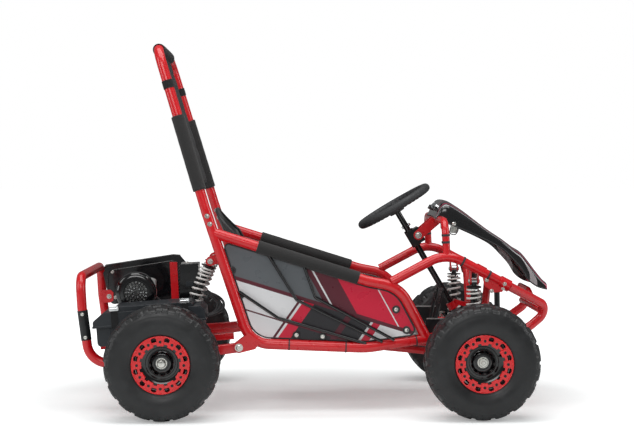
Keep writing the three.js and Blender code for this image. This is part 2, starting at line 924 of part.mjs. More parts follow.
function rimBody(outward) {
  const profile = [
    [rim.boreRadius, rim.hubBack],
    [rim.hubRadius, rim.hubBack],
    [rim.innerRadius, rim.discBack + rim.dishDepth],
    [rim.innerRadius, -rim.seatHalf],
    [rim.lipRadius, rim.lipThickness / 2 - rim.lipHalf],
    [rim.barrelRadius, -rim.seatHalf + rim.lipThickness],
    [rim.barrelRadius, rim.seatHalf - rim.lipThickness],
    [rim.lipRadius, rim.lipHalf - rim.lipThickness],
    [rim.lipRadius, rim.lipHalf],
    [rim.innerRadius, rim.discEdge],
    [rim.hubRadius, rim.discEdge],
    [rim.hubRadius, rim.hubFront],
    [rim.boreRadius, rim.hubFront],
  ].map(([r, y]) => [r, outward * y]);
  return join(ring(profile, rimSegments), beadRingBody(outward));
}

// The bolted ring outside the rim, with tabs that reach inwards.
function beadRingBody(outward) {
  const inner = [];
  const pitch = (2 * Math.PI) / beadRing.tabs;
  const at = (radius, angle) => new THREE.Vector2(radius * Math.cos(angle), radius * Math.sin(angle));
  for (let i = 0; i < beadRing.tabs; i += 1) {
    const middle = pitch * i;
    inner.push(at(beadRing.tabRadius, middle - pitch * beadRing.tabTipShare));
    inner.push(at(beadRing.tabRadius, middle + pitch * beadRing.tabTipShare));
    inner.push(at(beadRing.innerRadius, middle + pitch / 2));
  }
  const shape = new THREE.Shape(polygon(rim.lipRadius, rimSegments, QUARTER));
  shape.holes.push(new THREE.Path(inner));
  const plate = new THREE.ExtrudeGeometry(shape, { depth: beadRing.thickness, bevelEnabled: false });
  const face = rim.lipHalf - rim.lipThickness / 2;
  const nearY = outward > 0 ? face + beadRing.thickness : -face;
  return solid(plate.rotateX(QUARTER).translate(0, nearY, 0));
}

const tyreShape = tyreBody();
for (const [end, x] of [["front", frontAxleX], ["rear", rearAxleX]]) {
  for (const hand of [RIGHT, LEFT]) {
    const wheel = new THREE.Group();
    wheel.position.set(x, hand * overall.halfTrack, axleZ);
    kart.add(wheel);
    addNode(`${end}_tyre_${sideName(hand)}`, tyreShape, rubber, wheel);
    addNode(`${end}_rim_${sideName(hand)}`, rimBody(hand), glossBlack, wheel);
  }
}

// Rear axle, brake disc and sprocket
function rearAxleBody() {
  const half = overall.halfTrack + rim.hubFront;
  const place = (y) => [rearAxleX, y, axleZ];
  const end = half + rearAxle.nutLength;
  const shaft = rodBetween(place(-end), place(end), rearAxle.radius);
  const nuts = [RIGHT, LEFT].map((hand) =>
    rodBetween(
      place(hand * (half + gap)),
      place(hand * (half + rearAxle.nutLength - overrun)),
      rearAxle.nutRadius,
      6,
    ),
  );
  return join(shaft, nuts);
}
addNode("rear_axle", rearAxleBody(), steel);

// A toothed wheel about the Y axis, standing on the middle of its thickness.
function toothed(radius, teeth, depth, thickness) {
  const outline = [];
  for (let i = 0; i < teeth; i += 1) {
    for (const [share, sunk] of [[0, depth], [0.5, 0]]) {
      const angle = (2 * Math.PI * (i + share)) / teeth;
      const r = radius - sunk;
      outline.push([r * Math.cos(angle), r * Math.sin(angle)]);
    }
  }
  return sidePlate(outline, -thickness / 2, thickness / 2);
}

// Adds a hub on one side of a wheel and bores it for the rear axle.
function onAxle(face, towards) {
  const hub = rodBetween([0, 0, 0], [0, towards * hubCarrier.length, 0], hubCarrier.radius);
  const bore = turningBore(
    [0, -hubCarrier.length * 2, 0],
    [0, hubCarrier.length * 2, 0],
    rearAxle.radius,
  );
  return cut(join(face, hub), bore);
}

const sprocketFace = toothed(drive.sprocketRadius, drive.sprocketTeeth, drive.toothDepth, drive.toothWidth);
addNode("sprocket", onAxle(sprocketFace, RIGHT).translate(rearAxleX, drive.y, axleZ), steel);

const discFace = rodBetween([0, -brake.thickness / 2, 0], [0, brake.thickness / 2, 0], brake.radius, 18);
addNode("brake_disc", onAxle(discFace, LEFT).translate(rearAxleX, brake.y, axleZ), steel);

// Motor and its pinion
function motorBody() {
  const turn = (y) => [motor.x, y, motor.z];
  const drum = rodBetween(turn(motor.near), turn(motor.far), motor.radius, 16);
  const flange = rodBetween(
    turn(motor.near + motor.flangeStart),
    turn(motor.near + motor.flangeEnd),
    motor.flange,
    16,
  );
  const nose = rodBetween(turn(motor.far - overrun), turn(motor.far + motor.noseLength), motor.noseRadius);
  const foot = block(
    [motor.x - motor.footHalf, motor.near + motor.flangeStart, motor.z - motor.footDrop],
    [motor.x + motor.footHalf, motor.far - motor.noseLength, motor.z - motor.radius / 2],
  );
  const bore = turningBore(
    turn(motor.far - motor.shaftDepth - gap),
    turn(motor.far + motor.noseLength + overrun),
    motor.shaftRadius,
    6,
  );
  return cut(join(drum, flange, nose, foot), bore);
}
addNode("motor", motorBody(), satinBlack);

function pinionBody() {
  const wheel = toothed(drive.pinionRadius, drive.pinionTeeth, drive.toothDepth, drive.toothWidth);
  const shaft = rodBetween(
    [0, motor.far - motor.shaftDepth - drive.y, 0],
    [0, drive.width, 0],
    motor.shaftRadius,
    6,
  );
  return join(wheel, shaft).translate(motor.x, drive.y, motor.z);
}
addNode("motor_pinion", pinionBody(), steel);

// Chain: a belt round both toothed wheels, clear of their teeth
function chainRun(grow, halfWidth) {
  const sprocketCentre = new THREE.Vector2(rearAxleX, axleZ);
  const pinionCentre = new THREE.Vector2(motor.x, motor.z);
  const apart = pinionCentre.clone().sub(sprocketCentre);
  const heading = Math.atan2(apart.y, apart.x);
  const big = drive.sprocketRadius + grow;
  const small = drive.pinionRadius + grow;
  const lean = Math.acos((big - small) / apart.length());
  const points = [];
  const arc = (centre, radius, from, to, steps) => {
    for (let i = 0; i <= steps; i += 1) {
      const angle = from + ((to - from) * i) / steps;
      points.push([centre.x + radius * Math.cos(angle), centre.y + radius * Math.sin(angle)]);
    }
  };
  arc(sprocketCentre, big, heading + lean, heading - lean + 2 * Math.PI, 16);
  arc(pinionCentre, small, heading - lean, heading + lean, 5);
  return sidePlate(points, drive.y - halfWidth, drive.y + halfWidth);
}
const chain = cut(
  chainRun(chainBelt.height, chainBelt.width / 2),
  chainRun(chainBelt.inset, chainBelt.width / 2 + overrun),
);
addNode("chain", chain, steel);

// Carriage

// A tube of rectangular section that runs along the kart.
function rectangleTube(corners, width, height) {
  const shape = new THREE.Shape([
    new THREE.Vector2(-width / 2, -height / 2),
    new THREE.Vector2(width / 2, -height / 2),
    new THREE.Vector2(width / 2, height / 2),
    new THREE.Vector2(-width / 2, height / 2),
  ]);
  return sweep(shape, bend(corners, 0));
}

function carriageArm(hand) {
  const y = hand * carriage.armY;
  const beam = rectangleTube(
    [
      [pivot.x + pivot.boltRadius, y, pivot.z],
      [rearAxleX, y, axleZ],
      [carriage.tailX - carriage.beamRadius, y, carriage.tailZ],
    ],
    carriage.armWidth,
    carriage.armHeight,
  );
  const half = carriage.armWidth / 2;
  const bush = rodBetween([pivot.x, y - half, pivot.z], [pivot.x, y + half, pivot.z], pivot.bushRadius);
  const housing = rodBetween(
    [rearAxleX, y - half - overrun, axleZ],
    [rearAxleX, y + half + overrun, axleZ],
    carriage.bearingRadius,
  );
  return join(beam, bush, housing);
}

// Height of the tray rails' centre line at a place along the carriage.
const trayZ = (x) =>
  between(
    carriage.railFrontZ,
    carriage.railBackZ,
    (x - carriage.railFrontX) / (carriage.railBackX - carriage.railFrontX),
  );

function eyeTab(x, y, z, rootX, rootZ, half = tab.thickness / 2) {
  const dx = x - rootX;
  const dz = z - rootZ;
  const length = Math.hypot(dx, dz);
  const across = [(-dz / length) * tab.radius, (dx / length) * tab.radius];
  const along = [(dx / length) * tab.radius, (dz / length) * tab.radius];
  const outline = [
    [rootX + across[0], rootZ + across[1]],
    [rootX - across[0], rootZ - across[1]],
    [x - across[0], z - across[1]],
    [x - across[0] * 0.6 + along[0] * 0.8, z - across[1] * 0.6 + along[1] * 0.8],
    [x + across[0] * 0.6 + along[0] * 0.8, z + across[1] * 0.6 + along[1] * 0.8],
    [x + across[0], z + across[1]],
  ];
  return sidePlate(outline, y - half, y + half);
}

// Two ears either side of an eye, with a pin through them.
function rearClevis(hand, x, z, rootX, rootZ, pin) {
  const reach = eye.half + gap * 3 + tab.thickness / 2;
  const y = hand * rearShock.y;
  const outerY = reach + tab.thickness;
  return [
    eyeTab(x, y - reach, z, rootX, rootZ),
    eyeTab(x, y + reach, z, rootX, rootZ),
    rodBetween([x, y - outerY, z], [x, y + outerY, z], pin, 6),
  ];
}

function swingarmBody() {
  const span = carriage.armY;
  const beams = [
    [carriage.beamX, carriage.beamZ],
    [carriage.tailX, carriage.tailZ],
  ].map(([x, z]) => rodBetween([x, -span, z], [x, span, z], carriage.beamRadius, 6));
  const rails = [RIGHT, LEFT].map((hand) =>
    rectangleTube(
      [
        [carriage.railFrontX, hand * carriage.railY, carriage.railFrontZ],
        [carriage.railBackX, hand * carriage.railY, carriage.railBackZ],
      ],
      carriage.railWidth,
      carriage.railHeight,
    ),
  );
  const plateTop = motor.z - motor.footDrop - gap;
  const plate = block(
    [motorPlate.back, motorPlate.near, plateTop - motorPlate.thickness],
    [motorPlate.front, motorPlate.far, plateTop],
  );
  const postTop = plateTop - motorPlate.thickness / 2;
  const posts = [motorPlate.near + motorPlate.postHalf, motorPlate.far - motorPlate.postHalf].map((y) =>
    block(
      [carriage.tailX - motorPlate.postHalf, y - motorPlate.postHalf / 2, carriage.tailZ],
      [carriage.tailX + motorPlate.postHalf, y + motorPlate.postHalf / 2, postTop],
    ),
  );
  const shelfZ = controller.z - controller.height / 2 - gap;
  const leg = block(
    [controllerLeg.x, -controllerLeg.half, carriage.beamZ],
    [controllerLeg.x + controllerLeg.thickness, controllerLeg.half, shelfZ - controllerLeg.thickness / 2],
  );
  const shelf = block(
    [controller.x - controller.length / 2, -controllerLeg.half, shelfZ - controllerLeg.thickness],
    [controllerLeg.x + controllerLeg.thickness, controllerLeg.half, shelfZ],
  );
  const strap = sidePlate(
    [
      [guardStrap.x - guardStrap.width / 2, axleZ],
      [guardStrap.x + guardStrap.width / 2, axleZ],
      [guardStrap.topX + guardStrap.width / 2, guardStrap.topZ],
      [guardStrap.topX - guardStrap.width / 2, guardStrap.topZ],
    ],
    guardStrap.y,
    guardStrap.y + guardStrap.thickness,
  );
  const footLow = axleZ + guardStrap.footRise;
  const strapFoot = block(
    [guardStrap.x - guardStrap.width / 2, guardStrap.y, footLow],
    [guardStrap.x + guardStrap.width / 2, carriage.armY, footLow + guardStrap.footHeight],
  );
  const pads = block(
    [caliper.x - caliper.length / 2, brake.y - caliper.half, caliper.z - caliper.height / 2],
    [caliper.x + caliper.length / 2, brake.y + caliper.half, caliper.z + caliper.height / 2],
  );
  const padArm = block(
    [carriage.tailX - caliper.armWidth, brake.y - caliper.half, carriage.tailZ - caliper.armWidth / 2],
    [caliper.x - caliper.armWidth / 2, brake.y - caliper.half + caliper.armWidth, caliper.z],
  );
  const slotHalf = brake.thickness / 2 + caliper.slack;
  const slotAt = (y) => [rearAxleX, brake.y + y, axleZ];
  const discSlot = rodBetween(slotAt(-slotHalf), slotAt(slotHalf), brake.radius + overrun, 18);
  const clevises = [RIGHT, LEFT].flatMap((hand) =>
    rearClevis(hand, rearShock.lowX, rearShock.lowZ, carriage.beamX, carriage.beamZ, eye.pin),
  );
  const axleBore = turningBore(
    [rearAxleX, -overall.halfTrack, axleZ],
    [rearAxleX, overall.halfTrack, axleZ],
    rearAxle.radius,
  );
  const pivotBore = turningBore(
    [pivot.x, -overall.halfTrack, pivot.z],
    [pivot.x, overall.halfTrack, pivot.z],
    pivot.boltRadius,
  );
  const whole = join(
    [RIGHT, LEFT].map(carriageArm),
    beams,
    rails,
    plate,
    posts,
    leg,
    shelf,
    strap,
    strapFoot,
    pads,
    padArm,
    clevises,
  );
  return cut(whole, axleBore, pivotBore, discSlot);
}
const swingarm = swingarmBody();
addNode("swingarm", swingarm, red);

// Rear bumper
function rearBumperBody() {
  const back = tailX + rearBumper.radius;
  const half = rearBumper.half;
  const leg = (hand) => [
    [rearBumper.startX, hand * half, rearBumper.footZ],
    [rearBumper.footX, hand * half, rearBumper.footZ],
    [rearBumper.waistX, hand * half, rearBumper.waistZ],
    [back, hand * half, rearBumper.topZ],
  ];
  const bends = [0, rearBumper.footBend, rearBumper.footBend, rearBumper.topBend];
  const corners = [...leg(RIGHT), ...leg(LEFT).reverse()];
  const hoopTube = tube(corners, rearBumper.radius, [...bends, ...bends.toReversed()]);
  const lug = block(
    [guardTab.x - guardTab.width, guard.y - guard.thickness - guardTab.thickness, guardTab.lowZ],
    [guardTab.x + guardTab.width / 2, guard.y - guard.thickness, guardTab.highZ],
  );
  const web = block(
    [rearBumper.waistX - guardTab.thickness, guard.y - guard.thickness - guardTab.thickness, guardTab.lowZ],
    [guardTab.x - guardTab.width / 2, rearBumper.half, guardTab.highZ],
  );
  return join(hoopTube, lug, web);
}
const tailCutter = rodBetween(
  [carriage.tailX, -carriage.armY, carriage.tailZ],
  [carriage.tailX, carriage.armY, carriage.tailZ],
  carriage.beamRadius + gap,
);
const rearBumperSolid = cut(rearBumperBody(), tailCutter);

// Rear guard plate between the carriage and the left wheel
function rearGuardBody() {
  const outline = [
    [guard.lowBackX, guard.lowBackZ],
    [guard.lowFrontX, guard.lowFrontZ],
    [guard.frontX, guard.frontZ],
    [guard.frontX - guard.flange * 0.8, guard.bevelZ],
    [guard.frontX - guard.flange * 1.8, guard.frontTopZ],
    [guard.backX + guard.flange * 0.4, guard.backTopZ],
    [guard.backX, guard.backZ],
  ];
  const plate = sidePlate(outline, guard.y - guard.thickness + gap, guard.y);
  const top = sidePlate(
    [
      [guard.frontX - guard.flange * 0.8, guard.bevelZ],
      [guard.frontX - guard.flange * 1.8, guard.frontTopZ],
      [guard.backX + guard.flange * 0.4, guard.backTopZ],
      [guard.backX + guard.flange * 0.4, guard.backTopZ - guard.thickness],
      [guard.frontX - guard.flange * 1.8, guard.frontTopZ - guard.thickness],
      [guard.frontX - guard.flange * 0.8, guard.bevelZ - guard.thickness],
    ],
    guard.y - guard.thickness + gap,
    guard.y + guard.flange,
  );
  return join(plate, top);
}
const rearGuard = rearGuardBody();
addNode("rear_guard", cut(rearGuard, rearBumperSolid), satinBlack);
const rearGuardFat = block(
  [guard.backX, guard.y - guard.thickness, guard.lowBackZ],
  [guard.frontX, guard.y + gap, guard.frontTopZ],
);
addNode("rear_bumper", cut(rearBumperSolid, rearGuardFat), red);

// Battery box: a tray with a skirted lid, both leaning with the carriage
const boxLean = Math.atan2(trayZ(box.frontX) - trayZ(box.backX), box.frontX - box.backX);
const boxLength = box.frontX - box.backX;
const boxBottom = trayZ(box.backX) + (carriage.railHeight / 2 + gap) / Math.cos(boxLean);

function leaningBlock(low, high) {
  const size = high.map((value, i) => value - low[i]);
  const geometry = new THREE.BoxGeometry(...size);
  geometry.translate((low[0] + high[0]) / 2, (low[1] + high[1]) / 2, (low[2] + high[2]) / 2);
  geometry.rotateY(-boxLean).translate(box.backX, 0, boxBottom);
  return solid(geometry);
}

const batteryBox = cut(
  leaningBlock([box.skirt, box.near + box.skirt, 0], [boxLength, box.far, box.height]),
  leaningBlock(
    [box.skirt + box.wall, box.near + box.skirt + box.wall, box.wall],
    [boxLength - box.wall, box.far - box.wall, box.height + overrun],
  ),
);
addNode("battery_box", batteryBox, greyPlastic);

function lidBody() {
  const outline = [
    [0, 0],
    [boxLength + box.skirt, 0],
    [boxLength + box.skirt, box.lidHeight - box.bevel / 2],
    [boxLength + box.skirt - box.bevel / 2, box.lidHeight],
    [box.bevel * 1.3, box.lidHeight],
    [0, box.lidHeight - box.bevel],
  ];
  const shape = new THREE.Shape(outline.map(([x, z]) => new THREE.Vector2(x, z)));
  const geometry = new THREE.ExtrudeGeometry(shape, { depth: box.far - box.near, bevelEnabled: false });
  geometry.rotateX(QUARTER).translate(0, box.far, box.height + gap);
  geometry.rotateY(-boxLean).translate(box.backX, 0, boxBottom);
  const hollow = leaningBlock(
    [box.wall * 2, box.near + box.wall * 2, box.height - overrun],
    [boxLength, box.far - box.wall * 2, box.height + box.lidHeight - box.bevel],
  );
  return cut(solid(geometry), hollow);
}
addNode("battery_lid", lidBody(), greyPlastic);

// Controller with its cooling ribs
function controllerBody() {
  const half = controller.length / 2;
  const tall = controller.height / 2;
  const outline = [
    [controller.x - half, controller.z - tall],
    [controller.x + half, controller.z - tall],
    [controller.x + half, controller.z + tall + controller.lean],
    [controller.x - half, controller.z + tall],
  ];
  const body = sidePlate(outline, -controller.half, controller.half);
  const pitch = controller.height / controller.grooves;
  const grooves = Array.from({ length: controller.grooves }, (_, i) => {
    const z = controller.z - tall + (i + 0.5) * pitch;
    return block(
      [controller.x - half - overrun, -controller.half - overrun, z - pitch / 4],
      [controller.x - half + controller.grooveDepth, controller.half + overrun, z + pitch / 4],
    );
  });
  return cut(body, grooves);
}
addNode("controller", controllerBody(), satinBlack);

// Frame parts between the two sides

const crossTubes = () =>
  [crossTube.rearX, crossTube.middleX, crossTube.frontX].map((x) =>
    rodBetween([x, -side.y, sillZ(x)], [x, side.y, sillZ(x)], crossTube.radius, 6),
  );

function lowerRails(extra = 0) {
  return [RIGHT, LEFT].map((hand) =>
    tube(
      [
        [lowerRail.startX, hand * lowerRail.y, sillZ(lowerRail.startX)],
        [lowerRail.kinkX, hand * lowerRail.y, lowerRail.kinkZ],
        [lowerRail.noseX, hand * lowerRail.y, lowerRail.noseZ],
      ],
      lowerRail.radius + extra,
      side.sillBend,
      6,
    ),
  );
}

const lowerRailZ = (x) =>
  between(lowerRail.kinkZ, lowerRail.noseZ, (x - lowerRail.kinkX) / (lowerRail.noseX - lowerRail.kinkX));

// Ears on the lower rails that hold the front arms, with the hinge bolt between them.
function armHinges(hand) {
  const earY = [hand * lowerRail.y, hand * (arm.pivotY + eye.pin * 1.2)].sort((a, b) => a - b);
  return [frontAxleX - arm.reach, frontAxleX + arm.reach].flatMap((x) => {
    const ears = [-1, 1].map((end) => {
      const earX = x + end * (arm.bushHalf + gap + tab.thickness / 2);
      return block(
        [earX - tab.thickness / 2, earY[0], lowerRailZ(x) - lowerRail.radius / 2],
        [earX + tab.thickness / 2, earY[1], arm.pivotZ + arm.bushRadius],
      );
    });
    const reach = arm.bushHalf + gap + tab.thickness + overrun;
    const place = (end) => [x + end * reach, hand * arm.pivotY, arm.pivotZ];
    return [...ears, rodBetween(place(-1), place(1), eye.pin, 6)];
  });
}

const standAt = (x, y, width, lowZ, highZ) =>
  block([x - width / 2, y - width / 2, lowZ], [x + width / 2, y + width / 2, highZ]);

function seatStands(hand) {
  return [crossTube.rearX, crossTube.middleX].map((x) =>
    standAt(x, hand * stand.seatY, stand.seatWidth, sillZ(x), seatUnderZ(x) + overrun),
  );
}

const floorStand = (hand) =>
  standAt(stand.floorX, hand * lowerRail.y, stand.floorWidth, lowerRailZ(stand.floorX), floorPan.z - gap);

// Height of the seat pan's underside at a place along the kart, found by halving the pan's share.
function seatUnderZ(x) {
  let low = 0;
  let high = seat.panEndShare;
  for (let i = 0; i < 30; i += 1) {
    const middle = (low + high) / 2;
    if (seatLine(middle)[0] > x) low = middle;
    else high = middle;
  }
  return seatLine(low)[1] - seat.thickness;
}

// The seat's middle line from its front lip to the top of its back, as [x, z] at a share of its length.
function seatLine(share) {
  const route = new THREE.CatmullRomCurve3(
    [
      [seat.frontX, seat.lipZ],
      [between(seat.frontX, seat.hipX, 0.25), between(seat.lipZ, seat.panZ, 0.75)],
      [between(seat.frontX, seat.hipX, 0.7), seat.panZ],
      [seat.hipX, between(seat.panZ, seat.topZ, 0.04)],
      [between(seat.hipX, seat.topX, 0.32), between(seat.panZ, seat.topZ, 0.3)],
      [between(seat.hipX, seat.topX, 0.6), between(seat.panZ, seat.topZ, 0.62)],
      [seat.topX, seat.topZ],
    ].map(([x, z]) => new THREE.Vector3(x, 0, z)),
  );
  const place = route.getPoint(share);
  return [place.x, place.z];
}

// A point of the bucket: the bolsters rise at both sides of the middle line, most of all at the hips.
function seatSurface(along, across, depth) {
  const { flatShare, lowShare, drawnInShare, wallShare } = seatBolster;
  const [x, z] = seatLine(along);
  const [nextX, nextZ] = seatLine(Math.min(1, along + 0.01));
  const [lastX, lastZ] = seatLine(Math.max(0, along - 0.01));
  const length = Math.hypot(nextX - lastX, nextZ - lastZ);
  const normal = [(nextZ - lastZ) / length, (lastX - nextX) / length];
  const v = 2 * across - 1;
  const steep = Math.min(1, Math.max(0, (Math.abs(v) - flatShare) / (1 - flatShare)));
  const fullness = Math.sin(Math.PI * Math.min(1, between(lowShare, 1 - lowShare / 1.5, along)));
  const rise = between(seatBolster.panRise, seatBolster.backRise, along) * steep * steep * fullness;
  const lift = rise - depth * Math.sqrt(1 - wallShare * steep * steep);
  const y = v * seat.half * (1 - drawnInShare * steep * steep) + depth * wallShare * steep * Math.sign(v);
  return [x + normal[0] * lift, y, z + normal[1] * lift];
}

function seatBody() {
  return solid(
    shell(
      9,
      8,
      (u, v) => seatSurface(u, v, 0),
      (u, v) => seatSurface(u, v, seat.thickness),
    ),
  );
}
const seatSolid = seatBody();
addNode("seat", seatSolid, satinBlack);

const topClevises = [RIGHT, LEFT].flatMap((hand) =>
  rearClevis(hand, rearShock.topX, rearShock.topZ, shockBeam.x, shockBeam.z, eye.pin),
);
const noseTube = rodBetween(
  [crossTube.noseX, -lowerRail.y, lowerRailZ(crossTube.noseX)],
  [crossTube.noseX, lowerRail.y, lowerRailZ(crossTube.noseX)],
  lowerRail.radius,
  6,
);
const underFrame = join(
  crossTubes(),
  lowerRails(),
  noseTube,
  [RIGHT, LEFT].flatMap(armHinges),
  [RIGHT, LEFT].flatMap(seatStands),
  [RIGHT, LEFT].map(floorStand),
);
addNode("under_frame", cut(underFrame, sideCutters, seatSolid.translate(0, 0, -gap)), red);

const shockTube = rodBetween(
  [shockBeam.x, -side.y, shockBeam.z],
  [shockBeam.x, side.y, shockBeam.z],
  shockBeam.radius,
);
addNode("shock_beam", cut(join(shockTube, topClevises), sideCutters), red);

// Front frame

function archRoute(hand, extra = 0) {
  const drop = (arch.peakZ - arch.noseZ) / (arch.noseX - arch.peakX);
  return [
    [arch.rootX, hand * side.y, arch.rootZ],
    [arch.peakX, hand * side.y, arch.peakZ],
    [arch.noseX + extra, hand * arch.noseY, arch.noseZ - extra * drop],
  ];
}
const archTube = (hand, extra = 0) => tube(archRoute(hand, extra), arch.radius + extra, arch.bend);

function dashHoop(extra = 0) {
  const corners = [
    [dash.x, RIGHT * side.y, dash.footZ],
    [dash.topX, RIGHT * side.y, dash.topZ],
    [dash.topX, LEFT * side.y, dash.topZ],
    [dash.x, LEFT * side.y, dash.footZ],
  ];
  return tube(corners, dash.radius + extra, dash.bend, 6);
}

// The column slopes down and forwards from the steering wheel.
const down = new THREE.Vector3(Math.sin(column.lean), 0, -Math.cos(column.lean));
const columnPlace = (along) =>
  new THREE.Vector3(column.topX, 0, column.topZ).addScaledVector(down, along);
const columnAcross = new THREE.Vector3(Math.cos(column.lean), 0, Math.sin(column.lean));

const bearingCentre = columnPlace(bearing.along);
const bearingBolt = bearingCentre.clone().addScaledVector(columnAcross, dashArm.ear);

const dashArms = () =>
  [-1, 1].map((hand) =>
    eyeTab(bearingBolt.x, hand * dashArm.y, bearingBolt.z, dash.topX, dash.topZ - dash.radius / 2),
  );

// The block that carries the column's upper bearing, on a bolt between the dash arms.
function bearingBody() {
  const half = bearing.length / 2;
  const geometry = new THREE.BoxGeometry(bearing.depth, bearing.half * 2 - gap, bearing.length);
  geometry.translate(dashArm.ear / 2, 0, 0).rotateY(-column.lean);
  geometry.translate(bearingCentre.x, 0, bearingCentre.z);
  const bolt = rodBetween(
    [bearingBolt.x, -dashArm.y - dashArm.thickness * 2, bearingBolt.z],
    [bearingBolt.x, dashArm.y + dashArm.thickness * 2, bearingBolt.z],
    dashArm.bolt,
    6,
  );
  const bore = turningBore(
    columnPlace(bearing.along - half - overrun).toArray(),
    columnPlace(bearing.along + half + overrun).toArray(),
    column.radius,
  );
  return cut(join(solid(geometry), bolt), bore);
}

// Distance of the bulkhead's leaning legs from the middle, at a height.
const bulkheadY = (z) =>
  between(bulkhead.footY, bulkhead.topY, (z - bulkhead.footZ) / (bulkhead.topZ - bulkhead.footZ));

const bulkheadLeg = (hand, extra = 0) =>
  rodBetween(
    [bulkhead.x, hand * bulkhead.topY, bulkhead.topZ],
    [bulkhead.x, hand * bulkhead.footY, bulkhead.footZ],
    bulkhead.radius + extra,
    6,
  );

function bulkheadTubes() {
  const legs = [RIGHT, LEFT].map((hand) => bulkheadLeg(hand));
  const endY = bulkheadY(toeRail.endZ);
  const toes = [RIGHT, LEFT].map((hand) =>
    rodBetween(
      [toeRail.startX, hand * side.frontY, toeRail.startZ],
      [bulkhead.x, hand * endY, toeRail.endZ],
      toeRail.radius,
      6,
    ),
  );
  const { beamZ, beamRadius } = footBearing;
  const beamY = bulkheadY(beamZ);
  const beam = rodBetween([bulkhead.x, -beamY, beamZ], [bulkhead.x, beamY, beamZ], beamRadius, 6);
  return [...legs, ...toes, beam];
}

// The column's lower bearing, carried by a beam across the bulkhead.
function columnFoot() {
  const high = columnPlace(footBearing.along - footBearing.length / 2);
  const low = columnPlace(footBearing.along + footBearing.length / 2);
  const wide = columnAcross.clone().multiplyScalar(footBearing.radius);
  const outline = [
    [high.x - wide.x, high.z - wide.z],
    [high.x + wide.x, high.z + wide.z],
    [bulkhead.x, footBearing.beamZ + footBearing.beamRadius / 2],
    [bulkhead.x, footBearing.beamZ - footBearing.beamRadius / 2],
    [low.x + wide.x, low.z + wide.z],
    [low.x - wide.x, low.z - wide.z],
  ];
  const plate = sidePlate(outline, -footBearing.radius, footBearing.radius);
  const bore = turningBore(
    columnPlace(footBearing.along - footBearing.length).toArray(),
    columnPlace(footBearing.along + footBearing.length).toArray(),
    column.radius,
  );
  return cut(plate, bore);
}

// The tab that holds the top eye of a front shock, under the arch.
const archZ = (x) => between(arch.peakZ, arch.noseZ, (x - arch.peakX) / (arch.noseX - arch.peakX));

function frontShockTab(hand) {
  const y = hand * frontShock.topY;
  const reach = eye.half + gap * 3 + tab.thickness / 2;
  const ears = [-1, 1].map((end) => {
    const x = frontShock.x + end * reach;
    const shape = new THREE.Shape(
      [
        [y - hand * tab.radius, frontShock.topZ - tab.radius * 0.3],
        [y - hand * tab.radius * 0.5, frontShock.topZ - tab.radius * 0.8],
        [y + hand * tab.radius * 0.5, frontShock.topZ - tab.radius * 0.8],
        [y + hand * tab.radius, frontShock.topZ - tab.radius * 0.3],
        [hand * (side.y + tab.radius / 4), archZ(x)],
        [hand * (side.y - tab.radius * 1.3), archZ(x)],
      ].map(([py, pz]) => new THREE.Vector2(py, pz)),
    );
    const plate = new THREE.ExtrudeGeometry(shape, { depth: tab.thickness, bevelEnabled: false });
    plate.applyMatrix4(
      new THREE.Matrix4().makeBasis(
        new THREE.Vector3(0, 1, 0),
        new THREE.Vector3(0, 0, 1),
        new THREE.Vector3(1, 0, 0),
      ),
    );
    return solid(plate.translate(x - tab.thickness / 2, 0, 0));
  });
  const pinReach = reach + tab.thickness;
  const pin = rodBetween(
    [frontShock.x - pinReach, y, frontShock.topZ],
    [frontShock.x + pinReach, y, frontShock.topZ],
    eye.pin,
    6,
  );
  return [...ears, pin];
}

const frontFrame = cut(
  join(
    [RIGHT, LEFT].map((hand) => archTube(hand)),
    dashHoop(),
    dashArms(),
    bearingBody(),
    bulkheadTubes(),
    columnFoot(),
    [RIGHT, LEFT].flatMap(frontShockTab),
  ),
  sideCutters,
  lowerRails(gap),
);
addNode("front_frame", frontFrame, red);

// Front bumper: two sled tubes joined at the nose, with clamps over the arch ends
function bumperRoute(hand) {
  const frontX = noseX - bumper.radius;
  return [
    [arch.noseX, hand * arch.noseY, arch.noseZ],
    [frontX, hand * bumper.noseHalf, bumper.noseHighZ],
    [frontX, hand * bumper.noseHalf, bumper.noseLowZ],
    [bumper.underX, hand * bumper.underHalf, bumper.underZ],
    [bulkhead.x, hand * bulkheadY(bumper.footZ), bumper.footZ],
  ];
}

function frontBumperBody() {
  const bends = [0, bumper.bend, bumper.bend, bumper.bend * 3, 0];
  const sleds = [RIGHT, LEFT].map((hand) => tube(bumperRoute(hand), bumper.radius, bends));
  const crossX = noseX - bumper.radius * bumper.crossInShare;
  const crossZ = bumper.noseHighZ - bumper.crossDrop;
  const nose = rodBetween(
    [crossX, -bumper.noseHalf, crossZ],
    [crossX, bumper.noseHalf, crossZ],
    bumper.radius * bumper.crossShare,
    6,
  );
  const post = tube(
    [
      [crossX, RIGHT * bumper.nosePostHalf, crossZ],
      [bumper.nosePostX, RIGHT * bumper.nosePostHalf, bumper.nosePostTop],
      [bumper.nosePostX, LEFT * bumper.nosePostHalf, bumper.nosePostTop],
      [crossX, LEFT * bumper.nosePostHalf, crossZ],
    ],
    bumper.nosePostRadius,
    bumper.nosePostBend,
    6,
  );
  const clamps = [RIGHT, LEFT].map((hand) => {
    const end = new THREE.Vector3(...archRoute(hand)[2]);
    const back = new THREE.Vector3(...archRoute(hand)[1]).sub(end).normalize();
    const start = end.clone().addScaledVector(back, bumper.clampLength);
    const mouth = end.clone().addScaledVector(back, -bumper.clampWall);
    return rodBetween(start.toArray(), mouth.toArray(), arch.radius + bumper.clampWall);
  });
  return join(sleds, nose, post, clamps);
}
const bulkheadCutters = [RIGHT, LEFT].map((hand) => bulkheadLeg(hand, gap));
const archCutters = [RIGHT, LEFT].map((hand) => archTube(hand, gap));
addNode("front_bumper", cut(frontBumperBody(), bulkheadCutters, archCutters), red);

